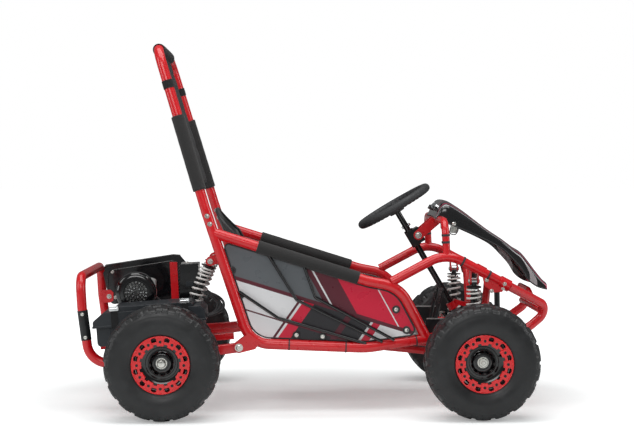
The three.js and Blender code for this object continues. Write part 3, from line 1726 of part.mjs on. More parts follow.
// Ears on the floor pan, one on each side of a pedal's lever, bored for its axle
function pedalEars(hand) {
  const bore = turningBore(
    [pedal.x, hand * pedal.y - pedal.padHalf, pedal.z],
    [pedal.x, hand * pedal.y + pedal.padHalf, pedal.z],
    pedal.rodRadius,
    6,
  );
  return [-1, 1].map((end) => {
    const y = hand * pedal.y + end * (pedal.padHalf - pedal.earThickness);
    const ear = block(
      [pedal.x - pedal.earHalf, y - pedal.earThickness / 2, floorPan.z + floorPan.thickness / 2],
      [pedal.x + pedal.earHalf, y + pedal.earThickness / 2, pedal.z + pedal.earHalf],
    );
    return cut(ear, bore);
  });
}

// Floor pan with footwell walls
function floorBody() {
  const top = floorPan.z + floorPan.thickness;
  const pan = floorPlate(
    [
      [floorPan.startX, -floorPan.half],
      [floorPan.endX, -floorPan.half],
      [floorPan.endX, floorPan.half],
      [floorPan.startX, floorPan.half],
    ],
    floorPan.z,
    top,
  );
  const inner = floorPan.half - floorPan.thickness;
  const wall = (lowY, highY) =>
    block([floorPan.wallStartX, lowY, floorPan.z], [floorPan.endX, highY, top + floorPan.wallHeight]);
  const walls = [wall(-floorPan.half, -inner), wall(inner, floorPan.half)];
  return join(pan, walls, [RIGHT, LEFT].flatMap(pedalEars));
}
addNode("floor_pan", floorBody(), zinc);

// Side panels fill the side frames just inside the tubes
function panelOutline() {
  const inset = panel.inset;
  const corners = [
    [uprightX(railZ(side.railBackX)), railZ(side.railBackX)],
    [side.kneeX, side.kneeZ],
    [side.sillX, side.sillZ],
    [side.toeX, side.toeZ],
    [side.shoulderX, side.shoulderZ],
    [side.railDipX, side.railDipZ],
  ].map(([x, z]) => new THREE.Vector2(x, z));
  const moved = corners.map((corner, i) => {
    const before = corners[(i + corners.length - 1) % corners.length];
    const after = corners[(i + 1) % corners.length];
    const coming = corner.clone().sub(before).normalize();
    const going = after.clone().sub(corner).normalize();
    const inward = (way) => new THREE.Vector2(-way.y, way.x);
    const middle = inward(coming).add(inward(going)).normalize();
    return corner.clone().addScaledVector(middle, inset / middle.dot(inward(going)));
  });
  const radii = [panel.backBend, side.kneeBend - inset, 0, panel.toeBend, side.shoulderBend - inset, 0];
  const points = [];
  moved.forEach((corner, i) => {
    const before = moved[(i + moved.length - 1) % moved.length];
    const after = moved[(i + 1) % moved.length];
    const turn = [before, corner, after].map((place) => [place.x, 0, place.y]);
    const rounded = bend(turn, radii[i]);
    for (const place of rounded.slice(1, -1)) points.push([place.x, place.z]);
  });
  return points;
}

for (const hand of [RIGHT, LEFT]) {
  const near = hand * panel.y;
  const far = hand * (panel.y + panel.thickness);
  const sheet = sidePlate(panelOutline(), Math.min(near, far), Math.max(near, far));
  const padSpace = rodBetween(
    [railPad.startX - gap, hand * side.y, railZ(railPad.startX - gap)],
    [railPad.endX + gap, hand * side.y, railZ(railPad.endX + gap)],
    railPad.radius + gap,
  );
  addNode(`side_panel_${sideName(hand)}`, cut(sheet, sideCutters, padSpace), livery);
}

// Nose cowl: a shell whose top line, bottom line and half width follow the length
const cowlShares = {
  along: [0, 0.08, 0.22, 0.46, 0.75, 0.88, 0.965, 1],
  top: [0.83, 1, 0.92, 0.69, 0.44, 0.26, 0.08, 0.03],
  bottom: [0.81, 0.76, 0.69, 0.55, 0.29, 0.12, 0.02, 0],
  half: [0.93, 1, 1, 0.98, 0.95, 0.93, 0.9, 0.86],
};

function alongTable(shares, values, at) {
  let i = 0;
  while (i < shares.length - 2 && at > shares[i + 1]) i += 1;
  return between(values[i], values[i + 1], (at - shares[i]) / (shares[i + 1] - shares[i]));
}

function cowlSurface(u, v, depth) {
  const { along, top, bottom, half } = cowlShares;
  const at = along[Math.round(u * (along.length - 1))];
  const x = between(cowl.backX, cowl.frontX, at);
  const high = between(cowl.lowZ, cowl.highZ, alongTable(along, top, at));
  const low = between(cowl.lowZ, cowl.highZ, alongTable(along, bottom, at));
  const wide = cowl.half * alongTable(along, half, at) - depth;
  const w = 2 * v - 1;
  const fall = Math.max(0, (Math.abs(w) - cowl.flatShare) / (1 - cowl.flatShare));
  const z = between(high, low, fall) - depth * (1 - fall) - cowl.crown * w * w;
  const y = Math.sign(w) * wide * Math.min(1, Math.abs(w) / (1.2 * cowl.flatShare));
  return [x - depth * u, y, Math.max(z, low)];
}

function cowlBody() {
  const count = cowlShares.along.length - 1;
  return solid(
    shell(count, 8, (u, v) => cowlSurface(u, v, 0), (u, v) => cowlSurface(u, v, cowl.wall)),
  );
}
addNode("nose_cowl", cut(cowlBody(), dashHoop(gap)), glossBlack);

// Front arms
function frontArmBody(hand) {
  const outer = [frontAxleX, hand * kingpin.y, axleZ];
  const xs = [frontAxleX - arm.reach, frontAxleX + arm.reach];
  const legs = xs.map((x) => rodBetween([x, hand * arm.pivotY, arm.pivotZ], outer, arm.radius, 6));
  const bushes = xs.map((x) =>
    rodBetween(
      [x - arm.bushHalf, hand * arm.pivotY, arm.pivotZ],
      [x + arm.bushHalf, hand * arm.pivotY, arm.pivotZ],
      arm.bushRadius,
      6,
    ),
  );
  const sleeveTube = rodBetween(
    [frontAxleX, hand * kingpin.y, axleZ - kingpin.halfHeight],
    [frontAxleX, hand * kingpin.y, axleZ + kingpin.halfHeight],
    kingpin.sleeveRadius,
  );
  const reach = eye.half + gap * 3;
  const tieX = frontShock.x;
  const seatZ = between(arm.pivotZ, axleZ, (frontShock.lowY - arm.pivotY) / (kingpin.y - arm.pivotY));
  const ears = [-1, 1].map((end) => {
    const from = tieX + end * reach;
    const to = tieX + end * (reach + tab.thickness);
    return block(
      [Math.min(from, to), hand * frontShock.lowY - tab.radius * 0.7, seatZ - arm.radius],
      [Math.max(from, to), hand * frontShock.lowY + tab.radius * 0.7, frontShock.lowZ + tab.radius * 0.6],
    );
  });
  const seatPlate = block(
    [tieX - reach - tab.thickness, hand * frontShock.lowY - tab.radius * 0.7, seatZ - tab.thickness],
    [tieX + reach + tab.thickness, hand * frontShock.lowY + tab.radius * 0.7, seatZ + tab.thickness],
  );
  const pinReach = reach + tab.thickness * 2;
  const pin = rodBetween(
    [tieX - pinReach, hand * frontShock.lowY, frontShock.lowZ],
    [tieX + pinReach, hand * frontShock.lowY, frontShock.lowZ],
    eye.pin,
    6,
  );
  const kingBore = turningBore(
    [frontAxleX, hand * kingpin.y, axleZ - kingpin.halfHeight - overrun],
    [frontAxleX, hand * kingpin.y, axleZ + kingpin.halfHeight + overrun],
    kingpin.radius,
  );
  const hingeBores = xs.map((x) =>
    turningBore(
      [x - arm.bushHalf - overrun, hand * arm.pivotY, arm.pivotZ],
      [x + arm.bushHalf + overrun, hand * arm.pivotY, arm.pivotZ],
      eye.pin,
      6,
    ),
  );
  return cut(join(legs, bushes, sleeveTube, seatPlate, ears, pin), kingBore, hingeBores);
}

// Knuckles: a fork round the arm's sleeve, the kingpin, the stub axle with its nut, and the steering arm
function knuckleBody(hand) {
  const y = hand * kingpin.y;
  const top = axleZ + kingpin.halfHeight + gap;
  const bottom = axleZ - kingpin.halfHeight - gap;
  const back = kingpin.sleeveRadius + gap * 4;
  const inner = y - hand * kingpin.sleeveRadius;
  const outer = y + hand * (back + knuckle.web);
  const spanY = (from, to) => [Math.min(from, to), Math.max(from, to)];
  const [low, high] = spanY(inner, outer);
  const [webLow, webHigh] = spanY(y + hand * back, outer);
  const x = frontAxleX;
  const plates = [
    block([x - knuckle.halfWidth, low, top], [x + knuckle.halfWidth, high, top + knuckle.plate]),
    block([x - knuckle.halfWidth, low, bottom - knuckle.plate], [x + knuckle.halfWidth, high, bottom]),
    block([x - knuckle.halfWidth, webLow, bottom - gap], [x + knuckle.halfWidth, webHigh, top + gap]),
  ];
  const pin = rodBetween(
    [x, y, bottom - knuckle.plate - knuckle.pinHead],
    [x, y, top + knuckle.plate + knuckle.pinHead],
    kingpin.radius,
  );
  const end = hand * (overall.halfTrack + rim.hubFront);
  const stub = rodBetween(
    [x, outer - hand * gap, axleZ],
    [x, end + hand * rearAxle.nutLength, axleZ],
    knuckle.stubRadius,
    6,
  );
  const nut = rodBetween(
    [x, end + hand * gap, axleZ],
    [x, end + hand * (rearAxle.nutLength - overrun), axleZ],
    rearAxle.nutRadius,
    6,
  );
  const steeringArm = tube(
    [
      [x - knuckle.pinHead, y, top + knuckle.plate],
      [x - knuckle.halfWidth - knuckle.web, y, top + knuckle.plate + knuckle.armRadius],
      [knuckle.armX, hand * knuckle.armY, knuckle.armZ],
    ],
    knuckle.armRadius,
    knuckle.armBend,
    6,
  );
  const boss = rodBetween(
    [knuckle.armX, hand * knuckle.armY, knuckle.armZ - knuckle.bossHalf],
    [knuckle.armX, hand * knuckle.armY, knuckle.armZ + knuckle.bossHalf],
    tieRod.eyeRadius,
  );
  return join(plates, pin, stub, nut, steeringArm, boss);
}

// Tie rods, from the knuckle arms to just under the pitman arm
const pitmanRoot = columnPlace(pitman.along);
const pitmanTip = pitmanRoot.clone().addScaledVector(columnAcross, -pitman.reach);
const tieZ = knuckle.armZ + knuckle.bossHalf + gap + tieRod.eyeHalf;

function tieRodBody(hand) {
  const outer = [knuckle.armX, hand * knuckle.armY, tieZ];
  const inner = [knuckle.armX, hand * tieRod.innerY, tieZ];
  const rod = rodBetween(outer, inner, tieRod.radius, 8);
  const eyes = [outer, inner].map(([x, y, z]) =>
    rodBetween([x, y, z - tieRod.eyeHalf], [x, y, z + tieRod.eyeHalf], tieRod.eyeRadius),
  );
  return join(rod, eyes);
}

for (const hand of [RIGHT, LEFT]) {
  addNode(`front_arm_${sideName(hand)}`, frontArmBody(hand), red);
  addNode(`knuckle_${sideName(hand)}`, knuckleBody(hand), steel);
  addNode(`tie_rod_${sideName(hand)}`, tieRodBody(hand), steel);
}

// Steering column with its pitman arm, and the steering wheel
function columnBody() {
  const foot = columnPlace(pitman.along + column.footDrop);
  const top = columnPlace(steeringWheel.spokeDepth / 2 + gap);
  const shaft = rodBetween(top.toArray(), foot.toArray(), column.radius);
  const lever = rodBetween(
    pitmanRoot.toArray(),
    pitmanTip.toArray(),
    pitman.radius,
    6,
  );
  return join(shaft, lever);
}
addNode("steering_column", columnBody(), glossBlack);

function steeringWheelBody() {
  const grip = solid(
    wrapped(16, 6, (i, j) => {
      const turn = (2 * Math.PI * i) / 16;
      const around = (2 * Math.PI * j) / 6;
      const r = steeringWheel.radius + steeringWheel.grip * Math.cos(around);
      return [r * Math.cos(turn), r * Math.sin(turn), steeringWheel.grip * Math.sin(around)];
    }),
  );
  const depth = steeringWheel.hubDepth;
  const wide = steeringWheel.hubRadius;
  const hub = solid(
    new THREE.CylinderGeometry(wide, wide * steeringWheel.taperShare, depth, 10).rotateX(QUARTER),
  );
  const spokes = [0, QUARTER, -QUARTER].map((angle) =>
    solid(
      new THREE.BoxGeometry(steeringWheel.radius, steeringWheel.spokeWidth, steeringWheel.spokeDepth)
        .translate(steeringWheel.radius / 2, 0, 0)
        .rotateZ(angle + Math.PI),
    ),
  );
  const socketTop = -steeringWheel.spokeDepth / 2;
  const socket = turningBore([0, 0, socketTop - depth], [0, 0, socketTop], column.radius);
  return cut(join(grip, hub, spokes), socket);
}
const wheelGroup = new THREE.Group();
wheelGroup.position.set(column.topX, 0, column.topZ);
wheelGroup.rotation.set(0, -column.lean, 0);
kart.add(wheelGroup);
addNode("steering_wheel", steeringWheelBody(), rubber, wheelGroup);

// Suspension units, each built hanging down from its top eye

// A coil spring between two perches, with straight wire ends.
function springBody(top, bottom, curls) {
  const steps = curls * 8;
  const radius = shock.springRadius;
  const wire = shock.wire;
  const height = top - bottom - 2 * wire;
  const stations = [new THREE.Vector3(radius, 0, top)];
  for (let i = 0; i <= steps; i += 1) {
    const turn = (2 * Math.PI * curls * i) / steps;
    const z = top - wire - (height * i) / steps;
    stations.push(new THREE.Vector3(radius * Math.cos(turn), radius * Math.sin(turn), z));
  }
  stations.push(new THREE.Vector3(radius, 0, bottom));
  const leastGap = (height / curls) - wire;
  console.log(`least gap between the curls of a spring: ${leastGap.toFixed(2)} mm`);
  return sweep(new THREE.Shape(polygon(wire / 2, 5)), stations);
}

function shockParts(length, curls, bodyLength) {
  const perchTop = -eye.radius - shock.neck;
  const lowPerchTop = -(length - eye.radius - shock.footNeck);
  const bite = shock.perchThickness / 4;
  const disc = (z, radius, thickness, sides) => rodBetween([0, 0, z], [0, 0, z - thickness], radius, sides);
  const eyeBarrel = (z) => rodBetween([-eye.half, 0, z], [eye.half, 0, z], eye.radius, 7);
  const boreAt = (z, radius) => rodBetween([-eye.half - overrun, 0, z], [eye.half + overrun, 0, z], radius);
  const bodyEnd = perchTop - bodyLength;
  const body = cut(
    join(
      eyeBarrel(0),
      disc(-eye.radius / 2, shock.bodyRadius * 0.7, eye.radius + shock.neck, 6),
      disc(perchTop + shock.perchThickness, shock.perch, shock.perchThickness),
      rodBetween([0, 0, perchTop + bite], [0, 0, bodyEnd], shock.bodyRadius),
    ),
    boreAt(0, eye.bore),
    rodBetween([0, 0, perchTop - shock.boreTop], [0, 0, bodyEnd - overrun], shock.rodRadius + gap),
  );
  const rod = cut(
    join(
      eyeBarrel(-length),
      disc(lowPerchTop, shock.perch, shock.perchThickness),
      rodBetween([0, 0, -length + eye.radius / 2], [0, 0, lowPerchTop - bite], shock.bodyRadius * 0.8, 6),
      rodBetween([0, 0, lowPerchTop - bite], [0, 0, bodyEnd + shock.rodInside], shock.rodRadius),
    ),
    boreAt(-length, eye.looseBore),
  );
  const spring = springBody(perchTop - gap, lowPerchTop + gap, curls);
  return { body, rod, spring };
}

// Hangs a unit from its top eye, leant by rotation, with its eyes turned round the unit's own axis.
function placeShock(name, parts, top, rotation, eyeTurn = 0) {
  const hung = new THREE.Group();
  hung.position.set(...top);
  hung.rotation.set(...rotation);
  kart.add(hung);
  const unit = new THREE.Group();
  unit.rotation.set(0, 0, eyeTurn);
  hung.add(unit);
  addNode(`${name}_body`, parts.body, satinBlack, unit);
  addNode(`${name}_rod`, parts.rod, steel, unit);
  addNode(`${name}_spring`, parts.spring, springWhite, unit);
}

const frontDrop = frontShock.topZ - frontShock.lowZ;
const frontIn = frontShock.topY - frontShock.lowY;
const frontParts = shockParts(Math.hypot(frontDrop, frontIn), frontShock.curls, frontShock.bodyLength);
for (const hand of [RIGHT, LEFT]) {
  const lean = Math.atan2(frontIn, frontDrop) * -hand;
  const top = [frontShock.x, hand * frontShock.topY, frontShock.topZ];
  placeShock(`front_shock_${sideName(hand)}`, frontParts, top, [lean, 0, 0]);
}

const rearDrop = rearShock.topZ - rearShock.lowZ;
const rearBack = rearShock.topX - rearShock.lowX;
const rearParts = shockParts(Math.hypot(rearDrop, rearBack), rearShock.curls, rearShock.bodyLength);
for (const hand of [RIGHT, LEFT]) {
  const top = [rearShock.topX, hand * rearShock.y, rearShock.topZ];
  const lean = Math.atan2(rearBack, rearDrop);
  placeShock(`rear_shock_${sideName(hand)}`, rearParts, top, [0, lean, 0], QUARTER);
}

// Pedals
function pedalBody(hand) {
  const y = hand * pedal.y;
  const reach = pedal.padHalf;
  const axle = rodBetween([pedal.x, y - reach, pedal.z], [pedal.x, y + reach, pedal.z], pedal.rodRadius, 6);
  const topX = pedal.x + pedal.height * Math.sin(pedal.lean);
  const topZ = pedal.z + pedal.height * Math.cos(pedal.lean);
  const lever = rodBetween([pedal.x, y, pedal.z], [topX, y, topZ], pedal.rodRadius, 6);
  const pad = solid(
    new THREE.BoxGeometry(pedal.plate, pedal.padHalf * 2, pedal.padHalf * 2)
      .rotateY(pedal.lean)
      .translate(topX, y, topZ),
  );
  return join(axle, lever, pad);
}
addNode("throttle_pedal", pedalBody(RIGHT), satinBlack);
addNode("brake_pedal", pedalBody(LEFT), satinBlack);

// Headrest: a thin pad stretched between the hoop's tubes, with a roll round the top tube
function headrestBody() {
  const low = hoopPlace(RIGHT, headrest.startShare).setY(0);
  const high = hoopPlace(RIGHT, 1).setY(0);
  const up = high.clone().sub(low);
  const front = new THREE.Vector3(up.z, 0, -up.x).normalize().multiplyScalar(headrest.thickness / 2);
  const corner = (place, y, way) => place.clone().addScaledVector(front, way).setY(y).toArray();
  const points = [
    corner(low, -headrest.lowHalf, -1),
    corner(low, -headrest.lowHalf, 1),
    corner(high, -headrest.rollHalf, 1),
    corner(high, -headrest.rollHalf, -1),
    corner(low, headrest.lowHalf, -1),
    corner(low, headrest.lowHalf, 1),
    corner(high, headrest.rollHalf, 1),
    corner(high, headrest.rollHalf, -1),
  ];
  const pad = wasm.Manifold.hull(points);
  const roll = rodBetween(
    [hoop.topX, -headrest.rollHalf, hoop.topZ],
    [hoop.topX, headrest.rollHalf, hoop.topZ],
    hoop.radius + headrest.rollWall,
    12,
  );
  return cut(join(pad, roll), tube(hoopRoute(), hoop.radius + gap, hoopBends));
}
addNode("headrest_pad", headrestBody(), foam);

// Key switch on the cowl's sloping back face
const [faceLow, faceHigh] = [0, 1].map((i) => {
  const x = between(cowl.backX, cowl.frontX, cowlShares.along[i]);
  return new THREE.Vector3(x, 0, between(cowl.lowZ, cowl.highZ, cowlShares.top[i]));
});
const faceUp = faceHigh.clone().sub(faceLow).normalize();
const faceOut = new THREE.Vector3(-faceUp.z, 0, faceUp.x);
const keyFoot = faceLow.clone().lerp(faceHigh, 0.5).setY(keySwitch.y).addScaledVector(faceOut, gap);

function keyBody() {
  const end = keyFoot.clone().addScaledVector(faceOut, keySwitch.length);
  const barrel = rodBetween(keyFoot.toArray(), end.toArray(), keySwitch.radius);
  const bow = new THREE.BoxGeometry(keySwitch.bowLength, keySwitch.bowThickness, keySwitch.bowWidth);
  bow.translate(keySwitch.bowLength / 2 - keySwitch.bowThickness, 0, 0);
  bow.rotateY(Math.atan2(-faceOut.z, faceOut.x)).translate(end.x, end.y, end.z);
  return join(barrel, solid(bow));
}
addNode("key_switch", keyBody(), steel);

export default kart;
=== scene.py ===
import json

import bmesh
import bpy
import numpy as np
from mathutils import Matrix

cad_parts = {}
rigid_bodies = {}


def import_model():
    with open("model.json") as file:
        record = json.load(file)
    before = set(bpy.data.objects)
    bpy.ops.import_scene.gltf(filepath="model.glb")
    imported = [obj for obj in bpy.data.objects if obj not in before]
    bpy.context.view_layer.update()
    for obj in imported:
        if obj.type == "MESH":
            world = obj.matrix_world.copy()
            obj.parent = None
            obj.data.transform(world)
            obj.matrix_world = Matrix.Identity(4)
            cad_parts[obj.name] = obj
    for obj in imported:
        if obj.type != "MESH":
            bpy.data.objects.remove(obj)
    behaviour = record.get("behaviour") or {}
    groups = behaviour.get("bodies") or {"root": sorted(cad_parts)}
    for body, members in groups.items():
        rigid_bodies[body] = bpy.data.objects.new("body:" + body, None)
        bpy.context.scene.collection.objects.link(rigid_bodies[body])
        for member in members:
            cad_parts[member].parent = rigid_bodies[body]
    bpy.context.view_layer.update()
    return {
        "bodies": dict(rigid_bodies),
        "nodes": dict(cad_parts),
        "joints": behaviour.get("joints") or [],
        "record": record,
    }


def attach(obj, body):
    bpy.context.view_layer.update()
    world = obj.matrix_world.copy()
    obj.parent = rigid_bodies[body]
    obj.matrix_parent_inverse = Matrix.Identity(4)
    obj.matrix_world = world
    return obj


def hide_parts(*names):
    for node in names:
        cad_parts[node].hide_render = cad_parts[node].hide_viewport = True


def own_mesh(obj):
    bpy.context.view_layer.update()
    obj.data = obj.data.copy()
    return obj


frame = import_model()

bl_info = {
    "name": "Off-road go kart",
    "version": (1, 0, 0),
    "blender": (4, 5, 0),
    "location": "View3D > Sidebar > Go kart",
    "description": "Builds the tubes, wheels, drive, seat and bodywork of an off-road go kart",
    "category": "Object",
}

# Sizes are in millimetres, in the frame of the part: X forward, Y to the driver's left, Z up.
MM = 0.001
DEGREE = np.pi / 180
TURN = 2 * np.pi
QUARTER = np.pi / 2
RIGHT = -1
LEFT = 1
HANDS = {"right": RIGHT, "left": LEFT}
GAP = 0.3
THIN = 0.02

AXLE_Z = 177.5
WHEEL_X = {"front": 507.0, "rear": -472.0}
HALF_TRACK = 400.0
SIDE_Y = 285.0
TOE_Y = 258.0

SIDE_RADIUS = 16.5
SOCKET = (-345.0, 640.0)
KNEE = (-207.0, 221.0)
SILL = (160.0, 206.0)
TOE = (350.0, 232.0)
RAIL_BACK = (-321.0, 568.0)
RAIL_DIP = (165.0, 415.5)
SHOULDER = (263.0, 397.0)
LOOP_BENDS = (0, 87, 260, 0)
RAIL_BENDS = (0, 260, 105, 0)
GUARD_ROD = {"radius": 5.0, "y": 292.0, "bend": 12.0}
GUARD_ROUTES = (
    ((-160, 517.5), (-61, 358), (208.5, 225.5)),
    ((-44, 481.1), (-2, 366), (245.6, 231)),
    ((-240, 384), (-120, 302), (157, 219.5)),
)
PIVOT = (-241.0, 209.5)

HOOP_TOP = (-497.0, 1146.0)
HOOP_HALF = 240.0
HOOP_RADIUS = 16.0
HOOP_BEND = 62.0
SLEEVE = {"radius": 21.0, "start": 0.12, "end": 0.58}
RAIL_PAD = {"radius": 20.5, "start": -183.0, "end": 134.0}


# Shape helpers. A shape is a pair: its points as an array of rows, and its faces as lists of point numbers.

def unit(vector):
    """The same direction with length one, for one vector or rows of them."""
    vector = np.asarray(vector, float)
    return vector / np.linalg.norm(vector, axis=-1, keepdims=True)


def between(start, end, share):
    """The value that lies at a share of the way from start to end."""
    return start + (end - start) * share


def grid(points, around=False, along=False, capped=False):
    """Quads between the neighbours of points[row, column]. Around joins the last column to the first, along
    joins the last row to the first, and capped closes the first and the last row with one face each."""
    rows, columns = points.shape[:2]
    index = np.arange(rows * columns).reshape(rows, columns)
    first, last = index[0].tolist(), index[-1].tolist()
    if around:
        index = np.concatenate([index, index[:, :1]], axis=1)
    if along:
        index = np.concatenate([index, index[:1]], axis=0)
    corners = [index[:-1, :-1], index[:-1, 1:], index[1:, 1:], index[1:, :-1]]
    faces = np.stack(corners, axis=-1).reshape(-1, 4).tolist()
    if capped:
        faces += [first[::-1], last]
    return points.reshape(-1, 3), faces


def bent(corners, radius, step=6 * DEGREE):
    """A route with rounded corners: each corner is cut back by the radius times the tangent of half its turn,
    and an arc of that radius joins the two cuts."""
    corners = np.asarray(corners, float)
    radii = np.broadcast_to(radius, len(corners))
    route = [corners[:1]]
    for before, corner, after, r in zip(corners, corners[1:], corners[2:], radii[1:]):
        coming = unit(corner - before)
        going = unit(after - corner)
        turn = np.arccos(np.clip(coming @ going, -1, 1))
        inward = unit(going - coming * (going @ coming))
        start = corner - coming * r * np.tan(turn / 2)
        angle = np.linspace(0, turn, 3 + int(turn / step))[:, None]
        route.append(start + coming * r * np.sin(angle) + inward * r * (1 - np.cos(angle)))
    route.append(corners[-1:])
    return np.concatenate(route)


def curve(points, steps=8):
    """A smooth curve through the points: between two of them it is the cubic whose slopes there are half the
    difference of the neighbours."""
    points = np.asarray(points, float)
    wide = np.concatenate([2 * points[:1] - points[1:2], points, 2 * points[-1:] - points[-2:-1]])
    a, b, c, d = wide[:-3, None], wide[1:-2, None], wide[2:-1, None], wide[3:, None]
    t = (np.arange(steps) / steps)[None, :, None]
    body = b + t / 2 * (c - a + t * (2 * a - 5 * b + 4 * c - d + t * (3 * b - a - 3 * c + d)))
    return np.concatenate([body.reshape(-1, points.shape[1]), points[-1:]])


def tube(route, radius, sides=20):
    """A round tube: at each point of the route a circle stands square to the route's direction. The circles
    start from the direction in which the route turns least, so they don't twist."""
    points = np.asarray(route, float)
    heading = unit(np.gradient(points, axis=0))
    flat = np.linalg.svd(heading)[2][-1]
    side = unit(flat - heading * (heading @ flat)[:, None])
    up = np.cross(heading, side)
    angle = np.linspace(0, TURN, sides, endpoint=False)[None, :, None]
    reach = np.broadcast_to(radius, len(points))[:, None, None]
    rings = points[:, None] + reach * (side[:, None] * np.cos(angle) + up[:, None] * np.sin(angle))
    return grid(rings, around=True, capped=True)


def sleeve(route, inner, outer, sides=24):
    """A hollow tube: the outer circles run along the route and the inner ones run back."""
    points = np.asarray(route, float)
    out = tube(points, outer, sides)[0].reshape(len(points), sides, 3)
    back = tube(points, inner, sides)[0].reshape(len(points), sides, 3)[::-1]
    return grid(np.concatenate([out, back]), around=True, along=True)


def square_to(axis):
    """Two directions that stand square to the axis and to each other."""
    axis = unit(axis)
    side = unit(np.cross(axis, np.eye(3)[np.argmin(np.abs(axis))]))
    return side, np.cross(axis, side)


def turned(profile, centre, axis=(0, 1, 0), segments=64, closed=False):
    """A turned shape: each radius and distance of the profile is carried once round the axis. A closed
    profile makes a ring, and an open one is shut by its two end circles."""
    profile = np.asarray(profile, float)
    side, up = square_to(axis)
    angle = np.linspace(0, TURN, segments, endpoint=False)[:, None]
    ring = side * np.cos(angle) + up * np.sin(angle)
    points = np.asarray(centre, float) + profile[:, None, :1] * ring + profile[:, None, 1:] * unit(axis)
    return grid(points, around=True, along=closed, capped=not closed)


def rod(start, end, radius, segments=24):
    """A straight round bar between two points."""
    start = np.asarray(start, float)
    way = np.asarray(end, float) - start
    return turned([(radius, 0), (radius, np.linalg.norm(way))], start, way, segments)


def disc(radius, low, high, centre, axis=(0, 1, 0), segments=28):
    """A turned disc between two distances along its axis."""
    return turned([(THIN, low), (radius, low), (radius, high), (THIN, high)], centre, axis, segments)


def collar(inner, outer, low, high, centre, axis=(0, 1, 0), segments=32):
    """A turned ring of square section between two distances along its axis."""
    profile = [(inner, low), (outer, low), (outer, high), (inner, high)]
    return turned(profile, centre, axis, segments, closed=True)


PLANES = {"xz": (0, 2, 1), "xy": (0, 1, 2), "yz": (1, 2, 0)}


def plate(outline, low, high, plane="xz"):
    """A flat plate: its outline in the plane stands at two distances along the third axis."""
    first, second, third = PLANES[plane]
    outline = np.asarray(outline, float)
    points = np.empty((2, len(outline), 3))
    points[..., first] = outline[:, 0]
    points[..., second] = outline[:, 1]
    points[..., third] = np.array([[low], [high]])
    return grid(points, around=True, capped=True)


def oblong(half_width, half_height):
    """The outline of a rectangle round zero, from the halves of its width and height."""
    w, h = half_width, half_height
    return [(-w, -h), (w, -h), (w, h), (-w, h)]


def block(low, high):
    """A box by its lowest and highest corner."""
    (x0, y0, z0), (x1, y1, z1) = low, high
    return plate([(x0, y0), (x1, y0), (x1, y1), (x0, y1)], z0, z1, "xy")


def blocks(corners):
    """Boxes by their lowest and highest corners."""
    return [block(low, high) for low, high in corners]


def rounded(outline, radius, step=12 * DEGREE):
    """A closed outline with rounded corners, each with its own radius or all with one."""
    outline = np.asarray(outline, float)
    radii = np.broadcast_to(radius, len(outline))
    arcs = []
    befores, afters = np.roll(outline, 1, axis=0), np.roll(outline, -1, axis=0)
    for before, corner, after, r in zip(befores, outline, afters, radii):
        turn = bent([before, corner, after], r, step) if r > 0 else np.array([before, corner, after])
        arcs.append(turn[1:-1])
    return np.concatenate(arcs)


def pierced(face, keep, back):
    """A plate with openings. The face is a grid of points that closes on itself from its last column to its
    first, keep tells which cells are solid, and back is the way to the plate's other side. A wall stands on
    each edge between a solid cell and an open one."""
    rows, columns = keep.shape
    index = np.arange((rows + 1) * columns).reshape(rows + 1, columns)
    index = np.concatenate([index, index[:, :1]], axis=1)
    behind = index + index.max() + 1
    a, b, c, d = index[:-1, :-1], index[:-1, 1:], index[1:, 1:], index[1:, :-1]
    e, f, g, h = behind[:-1, :-1], behind[:-1, 1:], behind[1:, 1:], behind[1:, :-1]
    open_above = keep & ~np.concatenate([np.zeros((1, columns), bool), keep[:-1]])
    open_below = keep & ~np.concatenate([keep[1:], np.zeros((1, columns), bool)])
    sides = [
        (keep, (a, b, c, d)),
        (keep, (h, g, f, e)),
        (open_above, (b, a, e, f)),
        (open_below, (d, c, g, h)),
        (keep & ~np.roll(keep, 1, axis=1), (a, d, h, e)),
        (keep & ~np.roll(keep, -1, axis=1), (c, b, f, g)),
    ]
    quads = [np.stack([corner[where] for corner in corners], axis=-1) for where, corners in sides]
    points = np.concatenate([face.reshape(-1, 3), face.reshape(-1, 3) + np.asarray(back, float)])
    used, quads = np.unique(np.concatenate(quads), return_inverse=True)
    return points[used], quads.reshape(-1, 4).tolist()


def spokes(count):
    """Directions away from the wheels' and shafts' axis, which runs across the kart, evenly all round."""
    angle = np.arange(count) / count * TURN
    return np.stack([np.cos(angle), np.zeros(count), np.sin(angle)], axis=1)


def polar(lines, y, centre):
    """Points on circles round an axis across the kart: each row of lines holds the radius at every angle,
    from zero all the way round, and y is the distance along the axis."""
    return lines[..., None] * spokes(lines.shape[1]) + (0, y, 0) + np.asarray(centre)


def placed(shape, origin, x, y, z):
    """The shape with its own axes turned to x, y and z, and its zero at the origin."""
    points, faces = shape
    return points @ np.array([x, y, z], float) + np.asarray(origin, float), faces


def repeated(shape, origins, x, y, z):
    """One copy of the shape for each row of origins, with its axes along the rows of x, y and z."""
    points, faces = shape
    origins = np.asarray(origins, float)
    axes = np.stack([np.broadcast_to(v, origins.shape) for v in (x, y, z)], axis=1)
    copies = points @ axes + origins[:, None]
    count = len(points)
    numbers = [[number + count * i for number in face] for i in range(len(origins)) for face in faces]
    return copies.reshape(-1, 3), numbers


BOLT_SHARES = {"washer": 1.4, "thin": 0.2, "shoulder": 0.75}


def bolt(place, axis, radius, height, sides=6):
    """A bolt head on its washer, both turned about the axis. Six sides make a hexagon, many make a dome."""
    thin = height * BOLT_SHARES["thin"]
    shoulder = BOLT_SHARES["shoulder"]
    ring = disc(radius * BOLT_SHARES["washer"], 0, thin, place, axis, 24)
    head = [(radius, thin / 2), (radius, height * shoulder), (radius * shoulder, height), (THIN, height)]
    return join([ring, turned(head, place, axis, sides)])


